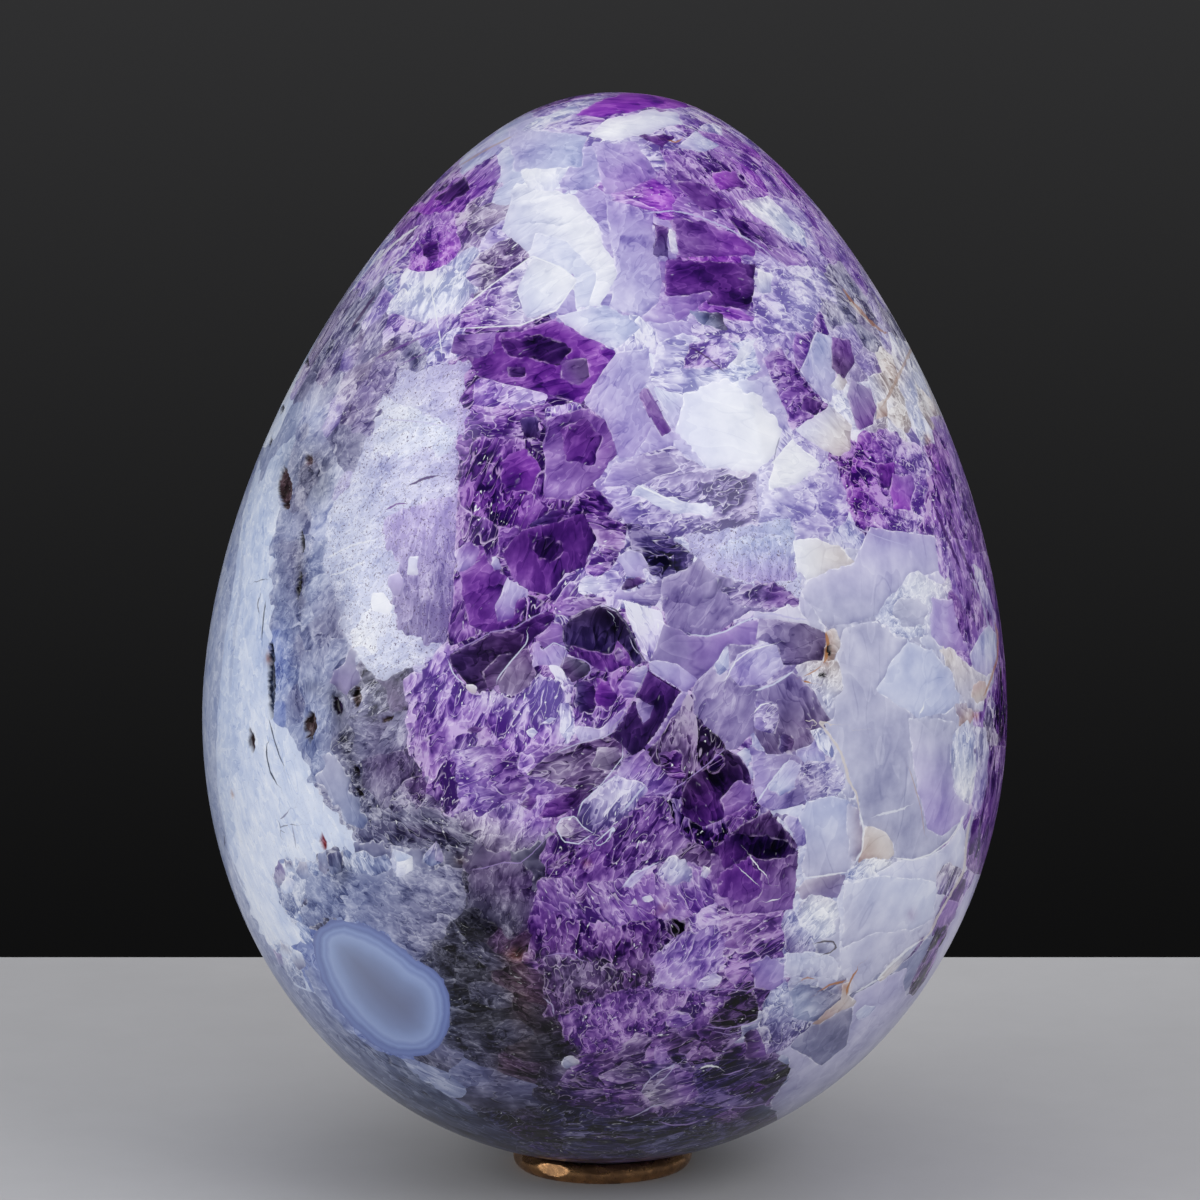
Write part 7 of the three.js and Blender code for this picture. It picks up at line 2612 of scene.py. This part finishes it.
@dataclass(frozen=True)
class PolishedStone:
    """Finish of the egg: clear and milky quartz under a polish."""

    effects: Effects
    tilt: float = 0.5
    polish: float = 0.36
    polish_roughness: float = 0.07
    roughness: float = 0.3
    hollow_roughness: float = 0.5
    shine: float = 0.1
    chip_gain: float = 4.0
    feather_gain: float = 1.4
    feather_middle: float = 0.25
    wrinkle_shadow_gain: float = -1.5
    streak_gain: float = 3.0
    cloud_gain: float = 3.4
    edge_light_gain: float = 0.6
    edge_light_reach: float = 1.5
    highlight_power: float = 0.3
    lightest_power: float = 0.44
    darkest_power: float = 2.15
    tinge: Colour = (0.84, 0.6, 0.94)
    wrinkle_glint_share: float = 0.8
    border_half_width: float = 0.2
    border_ragged: float = 0.6
    cloud_scale: float = 0.17
    busy_span: Span = (0.4, 0.58)
    busy_gain: Span = (0.4, 1.3)
    veil_span: Span = (0.42, 0.58)
    violet_span: Span = (0.1, 0.35)
    broken_scale: float = 0.8
    broken_span: Span = (0.42, 0.62)
    rim_shards: Span = (0.2, 0.9)
    wrinkle_feathers: Span = (0.25, 1.0)
    glint_shards: Span = (0.15, 0.7)
    border_lit_side: Span = (-0.5, 0.8)
    border_light: Span = (0.1, 1.0)
    eye_scale: float = 0.1
    eye_wobble: float = 0.7
    eye_body: float = 0.35

    def material(self) -> bpy.types.Material:
        """Builds the material.

        Returns:
            The polished stone.
        """
        material = bpy.data.materials.new("polished_amethyst")
        material.use_nodes = True
        graph = Graph(material.node_tree)
        shader = material.node_tree.nodes["Principled BSDF"]
        grain = graph.attribute("grain").outputs["Vector"]
        place = graph.scaled(graph.node("TexCoord").outputs["Object"], 1 / MM)
        shards, feathers, flecks = graph.parts(graph.attribute("habit").outputs["Vector"])
        clouds, rim, streaks = graph.parts(graph.attribute("texture").outputs["Vector"])
        gap, eye, depth = graph.parts(graph.attribute("fields").outputs["Vector"])
        bevel, _, _ = graph.parts(graph.attribute("bevel").outputs["Vector"])
        tint = graph.attribute("tint")
        chip = self.effects.place(graph, self.effects.chips, {"Vector": grain})
        wrinkle = self.effects.place(graph, self.effects.wrinkles, {"Vector": grain})
        feather = self.effects.place(graph, self.effects.feathers, {"Vector": grain}).outputs[0]
        streak = self.effects.place(graph, self.effects.streaks, {"Vector": grain}).outputs[0]
        clouding = graph.noise(place, self.cloud_scale, 4, 0.58)
        cloud, veil, busy = graph.parts(clouding.outputs["Color"])
        shards = graph.math("MULTIPLY", shards, graph.span(busy, *self.busy_span, *self.busy_gain))
        # The lift is the stone's own tone from chips, breaks, streaks and clouds, together with painted
        # shade: the chips' shaded sides and the shadow lines beside the wrinkle glints.
        lift = graph.math("MULTIPLY", graph.math("MULTIPLY", chip.outputs["Tone"], shards), self.chip_gain)
        for value, middle, amount, gain in (
            (feather, self.feather_middle, feathers, self.feather_gain),
            (wrinkle.outputs["Dark"], 0.0, feathers, self.wrinkle_shadow_gain),
            (streak, 0.5, streaks, self.streak_gain),
            (cloud, 0.5, clouds, self.cloud_gain),
        ):
            part = graph.math("MULTIPLY", graph.math("SUBTRACT", value, middle), amount)
            lift = graph.math("MULTIPLY_ADD", part, gain, lift)
        # Painted light and shade on the crystals' edges: lighter where an edge faces the light, darker where
        # it faces away.
        near = graph.math("POWER", graph.span(gap, 0.0, self.edge_light_reach, 1.0, 0.0), 2.0)
        slope = graph.math("MULTIPLY", graph.math("MULTIPLY", near, bevel), rim)
        lift = graph.math("MULTIPLY_ADD", slope, self.edge_light_gain, lift)
        body = tint.outputs["Color"]
        tinged = graph.mix(1.0, body, (*self.tinge, 1), "MULTIPLY")
        red, green, _ = graph.parts(body)
        violet = graph.math("DIVIDE", graph.math("SUBTRACT", red, green), graph.math("ADD", red, 0.01))
        tinge = graph.span(veil, *self.veil_span)
        tinge = graph.math("MULTIPLY", tinge, graph.span(violet, *self.violet_span))
        body = graph.mix(graph.math("MULTIPLY", tinge, clouds), body, tinged)
        # bright is the colour of the painted highlights on chip rims, wrinkles and lit borders.
        bright = graph.node("Gamma", {0: body, 1: self.highlight_power}).outputs[0]
        # The body colour is raised to a power, so that light shades stay pale and dark ones deepen
        power = graph.math("POWER", 2.0, graph.math("MULTIPLY", lift, -1.0))
        power = graph.math("MAXIMUM", power, self.lightest_power)
        power = graph.math("MINIMUM", power, self.darkest_power)
        colour = graph.node("Gamma", {0: body, 1: power}).outputs[0]
        broken = graph.span(graph.noise(place, self.broken_scale, 2).outputs[0], *self.broken_span)
        shown = graph.span(shards, *self.rim_shards)
        # Painted highlights on the lit rims of the chips and along the wrinkles.
        colour = graph.mix(graph.math("MULTIPLY", chip.outputs["Rim"], shown, clamp=True), colour, bright)
        thin = graph.span(feathers, *self.wrinkle_feathers)
        thin = graph.math("MULTIPLY", wrinkle.outputs["Light"], thin)
        colour = graph.mix(graph.math("MULTIPLY", thin, self.wrinkle_glint_share, clamp=True), colour, bright)
        glint = self.effects.place(graph, self.effects.glints, {"Vector": grain}).outputs[0]
        glint = graph.math("MULTIPLY", glint, graph.span(shards, *self.glint_shards))
        colour = graph.mix(glint, colour, (*Tint.WHITE.colour, 1))
        curl = self.effects.place(graph, self.effects.curls, {"Vector": place}).outputs[0]
        colour = graph.mix(graph.math("MULTIPLY", curl, flecks), colour, (*Tint.PLUM.colour, 1))
        # Thin bright borders are painted highlights, on the lit side of the crystals' edges only.
        border = self._line(graph, place, gap, self.border_half_width, self.border_ragged)
        border = graph.math("MULTIPLY", graph.math("MULTIPLY", border, rim), broken)
        lit_side = graph.span(bevel, *self.border_lit_side, *self.border_light)
        border = graph.math("MULTIPLY", border, lit_side)
        colour = graph.mix(border, colour, bright)
        vein = graph.attribute("vein")
        away, half, ragged = graph.parts(vein.outputs["Vector"])
        vein_tint = graph.attribute("vein_tint")
        seam = self._line(graph, place, away, half, ragged)
        seam = graph.math("MULTIPLY", seam, vein_tint.outputs["Alpha"])
        colour = graph.mix(seam, colour, vein_tint.outputs["Color"])
        colour = graph.mix(tint.outputs["Alpha"], colour, self._agate(graph, eye, place, body))
        graph.feed(shader.inputs["Base Color"], colour)
        lean = graph.scaled(chip.outputs["Tilt"], graph.math("MULTIPLY", shards, self.tilt))
        leaning = graph.vector("ADD", graph.node("NewGeometry").outputs["Normal"], lean)
        graph.feed(shader.inputs["Normal"], graph.vector("NORMALIZE", leaning))
        rough = graph.math("MULTIPLY_ADD", depth, self.hollow_roughness, self.roughness, clamp=True)
        graph.feed(shader.inputs["Roughness"], rough)
        shader.inputs["Specular IOR Level"].default_value = self.shine
        shader.inputs["Coat Weight"].default_value = self.polish
        shader.inputs["Coat Roughness"].default_value = self.polish_roughness
        return material

    def _line(self, graph: Graph, place: Socket, away: Socket, half: Socket, ragged: Socket) -> Socket:
        """Draws a ragged line.

        Args:
            graph: The material's graph.
            place: Places in millimetres.
            away: Distance from the line's middle.
            half: Half its width.
            ragged: How far its edge wanders.

        Returns:
            1 on the line and 0 beside it.
        """
        inputs = {"Vector": place, "Distance": away, "Half Width": half, "Ragged": ragged}
        return self.effects.place(graph, self.effects.line, inputs).outputs[0]

    def _agate(self, graph: Graph, eye: Socket, place: Socket, body: Socket) -> Socket:
        """Bands of the agate eye, from its rim inwards.

        Args:
            graph: The material's graph.
            eye: Distance within the eye from its outline.
            place: Places in millimetres.
            body: The stone's body colour there.

        Returns:
            The banded colour.
        """
        wobble = graph.math("SUBTRACT", graph.noise(place, 0.35, 3).outputs[0], 0.5)
        depth = graph.math("MULTIPLY_ADD", wobble, self.eye_wobble, eye)
        band = graph.math("MULTIPLY", depth, self.eye_scale, clamp=True)
        stops = [
            (0.0, (84, 96, 154)),
            (0.05, (112, 130, 184)),
            (0.10, (98, 114, 168)),
            (0.16, (144, 164, 208)),
            (0.20, (128, 146, 194)),
            (0.26, (158, 176, 214)),
            (0.34, (144, 162, 200)),
            (0.44, (128, 142, 174)),
            (0.62, (114, 122, 146)),
            (0.85, (104, 107, 120)),
        ]
        bands = graph.ramp(band, [(at, linear(rgb)) for at, rgb in stops])
        return graph.mix(self.eye_body, bands, body)


@dataclass(frozen=True)
class WornBronze:
    """Finish of the ring: bronze, hammered and rubbed bright."""

    tint: tuple[int, int, int] = (212, 162, 112)
    tarnish: tuple[int, int, int] = (140, 106, 80)
    patch_scale: float = 0.28
    patch_span: Span = (0.38, 0.62)
    patch_share: float = 0.75
    speck_scale: float = 1.9
    speck_span: Span = (0.52, 0.66)
    speck_share: float = 0.35
    roughness: float = 0.2
    worn_roughness: float = 0.2
    scratch_stretch: Triple = (1.0, 1.0, 6.0)
    scratch_scale: float = 1.6
    scratch_strength: float = 0.35
    scratch_depth: float = 0.00006

    def material(self) -> bpy.types.Material:
        """Builds the material.

        Returns:
            The worn bronze.
        """
        material = bpy.data.materials.new("bronze")
        material.use_nodes = True
        graph = Graph(material.node_tree)
        shader = material.node_tree.nodes["Principled BSDF"]
        place = graph.scaled(graph.node("TexCoord").outputs["Object"], 1 / MM)
        patches = graph.noise(place, self.patch_scale, 4, 0.6).outputs[0]
        patches = graph.math("MULTIPLY", graph.span(patches, *self.patch_span), self.patch_share)
        specks = graph.noise(place, self.speck_scale, 5, 0.7).outputs[0]
        specks = graph.span(specks, *self.speck_span)
        wear = graph.math("MULTIPLY_ADD", specks, self.speck_share, patches, clamp=True)
        colour = graph.mix(wear, (*linear(self.tint), 1), (*linear(self.tarnish), 1))
        graph.feed(shader.inputs["Base Color"], colour)
        rough = graph.math("MULTIPLY_ADD", wear, self.worn_roughness, self.roughness)
        graph.feed(shader.inputs["Roughness"], rough)
        shader.inputs["Metallic"].default_value = 1.0
        stretched = graph.vector("MULTIPLY", place, self.scratch_stretch)
        scratches = graph.noise(stretched, self.scratch_scale, 5, 0.7).outputs[0]
        inputs = {"Strength": self.scratch_strength, "Distance": self.scratch_depth, "Height": scratches}
        bump = graph.node("Bump", inputs)
        graph.feed(shader.inputs["Normal"], bump.outputs[0])
        return material


@dataclass
class RingStand:
    """The small bronze ring, dished to the egg and hammered outside."""

    form: EggForm
    middle: float = 13.15
    width: float = 3.7
    height: float = 3.6
    foot_width: float = 1.9
    wander: float = 0.16
    wander_turn: float = 35.0
    clearance: float = 0.3
    flat_count: int = 15
    flat_depth: float = 0.14
    flat_extra: float = 0.1
    flat_beat: float = 3.0
    flat_slants: tuple[int, int, int] = (38, 8, 24)
    flat_stray: float = 5.0
    round_steps: int = 360
    section_steps: int = 64
    weld: float = 0.00001
    smooth_angle: float = 14.0
    name: str = "bronze_ring"

    def build(self) -> bpy.types.Object:
        """Models the ring from a turned torus.

        Returns:
            The ring's object.
        """
        nothing_selected()
        bpy.ops.mesh.primitive_torus_add(
            major_radius=self.middle,
            minor_radius=self.width / 2,
            major_segments=self.round_steps,
            minor_segments=self.section_steps,
        )
        ring = bpy.context.object
        ring.name = ring.data.name = self.name
        places = self._dished(self._hammered(self._bent(vertex_places(ring.data))))
        ring.data.vertices.foreach_set("co", (places * MM).ravel())
        nothing_selected()
        ring.select_set(True)
        bpy.context.view_layer.objects.active = ring
        bpy.ops.object.mode_set(mode="EDIT")
        bpy.ops.mesh.select_all(action="SELECT")
        bpy.ops.mesh.remove_doubles(threshold=self.weld)
        bpy.ops.mesh.normals_make_consistent(inside=False)
        bpy.ops.object.mode_set(mode="OBJECT")
        bpy.ops.object.shade_smooth_by_angle(angle=math.radians(self.smooth_angle))
        LOG.info("%s: %d faces", self.name, len(ring.data.polygons))
        return ring

    def _bent(self, places: np.ndarray) -> np.ndarray:
        """Gives the torus its flat foot and the small wander of a hand-bent ring.

        Args:
            places: The torus's vertices in millimetres.

        Returns:
            The moved vertices.
        """
        foot_level = math.sqrt(1 - (self.foot_width / self.width) ** 2)
        half_height = self.height / (1 + foot_level)
        out = np.hypot(places[:, 0], places[:, 1])
        bearing = np.arctan2(places[:, 1], places[:, 0])
        grown = out + self.wander * np.cos(2 * (bearing - math.radians(self.wander_turn)))
        level = np.maximum(half_height * (foot_level + places[:, 2] / (self.width / 2)), 0)
        return np.column_stack([np.cos(bearing) * grown, np.sin(bearing) * grown, level])

    def _hammered(self, places: np.ndarray) -> np.ndarray:
        """Presses the hammer's flats into the outer face.

        Args:
            places: The ring's vertices in millimetres.

        Returns:
            The moved vertices.
        """
        moved = places.copy()
        for number in range(self.flat_count):
            bearing = math.radians(number * 360 / self.flat_count + self.flat_stray * math.sin(number**2))
            slant = math.radians(self.flat_slants[number % len(self.flat_slants)])
            depth = self.flat_depth + self.flat_extra * (1 + math.cos(self.flat_beat * number)) / 2
            reach = math.hypot(self.width / 2 * math.cos(slant), self.height / 2 * math.sin(slant))
            out = np.array([math.cos(bearing), math.sin(bearing), 0])
            normal = math.cos(slant) * out + np.array([0, 0, math.sin(slant)])
            centre = self.middle * out + np.array([0, 0, self.height / 2])
            over = np.maximum((moved - centre) @ normal - (reach - depth), 0)
            moved -= over[:, None] * normal
        moved[:, 2] = np.maximum(moved[:, 2], 0)
        return moved

    def _dished(self, places: np.ndarray) -> np.ndarray:
        """Moves the ring under the egg and lowers its crown to the seat.

        Args:
            places: The ring's vertices in millimetres.

        Returns:
            The moved vertices.
        """
        moved = places + [self.form.pivot[0], 0, 0]
        moved[:, 2] = np.minimum(moved[:, 2], self.form.underside(moved[:, :2], self.clearance))
        return moved


class Softbox(NamedTuple):
    """A large soft lamp: its place and size in millimetres, and its power in watts."""

    name: str
    place: Triple
    width: float
    height: float
    power: float


@dataclass(frozen=True)
class Studio:
    """Table, light and camera."""

    view: Viewpoint
    lamps: tuple[Softbox, ...] = (
        Softbox("key", (-1120, -450, 530), 560, 1000, 4.8),
        Softbox("fill", (730, -790, 800), 600, 600, 4.3),
        Softbox("top", (-120, 60, 1250), 700, 700, 0.9),
    )
    lamp_aim: Triple = (0, 0, 90)
    table: tuple[int, int, int] = (190, 190, 192)
    table_size: Triple = (0.36, 0.26, 0.012)
    table_place: Triple = (0, 0.024, -0.006)
    table_edge: float = 0.002
    table_grain: float = 60.0
    table_shades: Span = (0.94, 1.04)
    table_roughness: float = 0.8
    table_shine: float = 0.15
    dark: tuple[int, int, int] = (58, 58, 59)
    dark_floor: float = 0.1
    room: float = 0.55
    window: float = 1.3
    room_blue: float = 1.02
    window_top: float = 0.5
    dusk: Span = (-0.25, 0.05)
    sight_end: float = 20

    def build(self) -> None:
        """Sets up the studio around the object."""
        self._table()
        self._world()
        for lamp in self.lamps:
            self._hang(lamp)
        self._camera()
        bpy.context.scene.view_settings.view_transform = "Standard"

    def _table(self) -> None:
        """Makes the pale slab on which the object stands."""
        nothing_selected()
        bpy.ops.mesh.primitive_cube_add(size=1)
        slab = bpy.context.object
        slab.name = "studio_table"
        slab.scale = self.table_size
        slab.location = self.table_place
        bpy.ops.object.transform_apply(location=True, rotation=False, scale=True)
        bevel = slab.modifiers.new("edge", "BEVEL")
        bevel.width, bevel.segments = self.table_edge, 3
        bpy.ops.object.modifier_apply(modifier="edge")
        material = bpy.data.materials.new("studio_slate")
        material.use_nodes = True
        graph = Graph(material.node_tree)
        shader = material.node_tree.nodes["Principled BSDF"]
        place = graph.node("TexCoord").outputs["Object"]
        shade = graph.noise(place, self.table_grain, 6, 0.7).outputs[0]
        slate = linear(self.table)
        shades = [(*(c * k for c in slate), 1) for k in self.table_shades]
        graph.feed(shader.inputs["Base Color"], graph.mix(shade, *shades))
        shader.inputs["Roughness"].default_value = self.table_roughness
        shader.inputs["Specular IOR Level"].default_value = self.table_shine
        slab.data.materials.append(material)

    def _world(self) -> None:
        """Fills the room with plain soft light, most of it from the front, before a dark background."""
        world = bpy.data.worlds.new("studio")
        world.use_nodes = True
        graph = Graph(world.node_tree)
        light = world.node_tree.nodes["Background"]
        _, away, height = graph.parts(graph.node("TexCoord").outputs["Generated"])
        level = graph.span(graph.math("ABSOLUTE", height), 0.0, self.window_top, 1.0, 0.0)
        front = graph.math("MULTIPLY", level, graph.math("MULTIPLY", away, -1.0, clamp=True))
        rooms = [(k, k, k * self.room_blue, 1) for k in (self.room, self.window)]
        graph.feed(light.inputs["Color"], graph.mix(front, *rooms))
        rays = graph.node("LightPath").outputs
        seen = graph.math("MAXIMUM", rays["Is Camera Ray"], rays["Is Glossy Ray"])
        seen = graph.math("MAXIMUM", seen, rays["Is Transmission Ray"])
        glow = graph.span(height, *self.dusk)
        dark = linear(self.dark)
        shade = graph.mix(glow, (*(c * self.dark_floor for c in dark), 1), (*dark, 1))
        backdrop = graph.node("Background", {"Color": shade})
        mixed = graph.node("MixShader", {0: seen, 1: light.outputs[0], 2: backdrop.outputs[0]})
        graph.feed(world.node_tree.nodes["World Output"].inputs["Surface"], mixed.outputs[0])
        bpy.context.scene.world = world

    def _hang(self, softbox: Softbox) -> None:
        """Hangs a softbox, pointed at the egg.

        Args:
            softbox: The lamp.
        """
        light = bpy.data.lights.new(softbox.name, "AREA")
        light.shape = "RECTANGLE"
        light.size, light.size_y = softbox.width * MM, softbox.height * MM
        light.energy = softbox.power
        lamp = bpy.data.objects.new(softbox.name, light)
        lamp.location = Vector(softbox.place) * MM
        sight = Vector(self.lamp_aim) - Vector(softbox.place)
        lamp.rotation_euler = sight.to_track_quat("-Z", "Y").to_euler()
        bpy.context.scene.collection.objects.link(lamp)

    def _camera(self) -> None:
        """Puts the camera where the photograph was taken."""
        data = bpy.data.cameras.new("camera")
        data.sensor_fit, data.sensor_width, data.lens = "HORIZONTAL", self.view.sensor, self.view.lens
        data.clip_end = self.sight_end
        camera = bpy.data.objects.new("camera", data)
        camera.location = Vector(self.view.place) * MM
        camera.rotation_euler = Vector(self.view.forward).to_track_quat("-Z", "Y").to_euler()
        bpy.context.scene.collection.objects.link(camera)
        bpy.context.scene.camera = camera


def main() -> None:
    """Builds the studio, the ring and the egg."""
    logging.basicConfig(level=logging.INFO, format="%(message)s")
    form, view = EggForm(), Viewpoint()
    Studio(view).build()
    effects = Effects()
    ring = RingStand(form).build()
    ring.data.materials.append(WornBronze().material())
    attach(ring, "ring_stand")
    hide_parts("ring_stand")
    egg = CrystalEgg(form, view, CRYSTALS, VEINS, STAINING_AND_PAINTED_LIGHT, ZONES, PITS).build()
    egg.data.materials.append(PolishedStone(effects).material())
    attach(egg, "egg")
    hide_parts("egg")


if __name__ == "__main__":
    main()
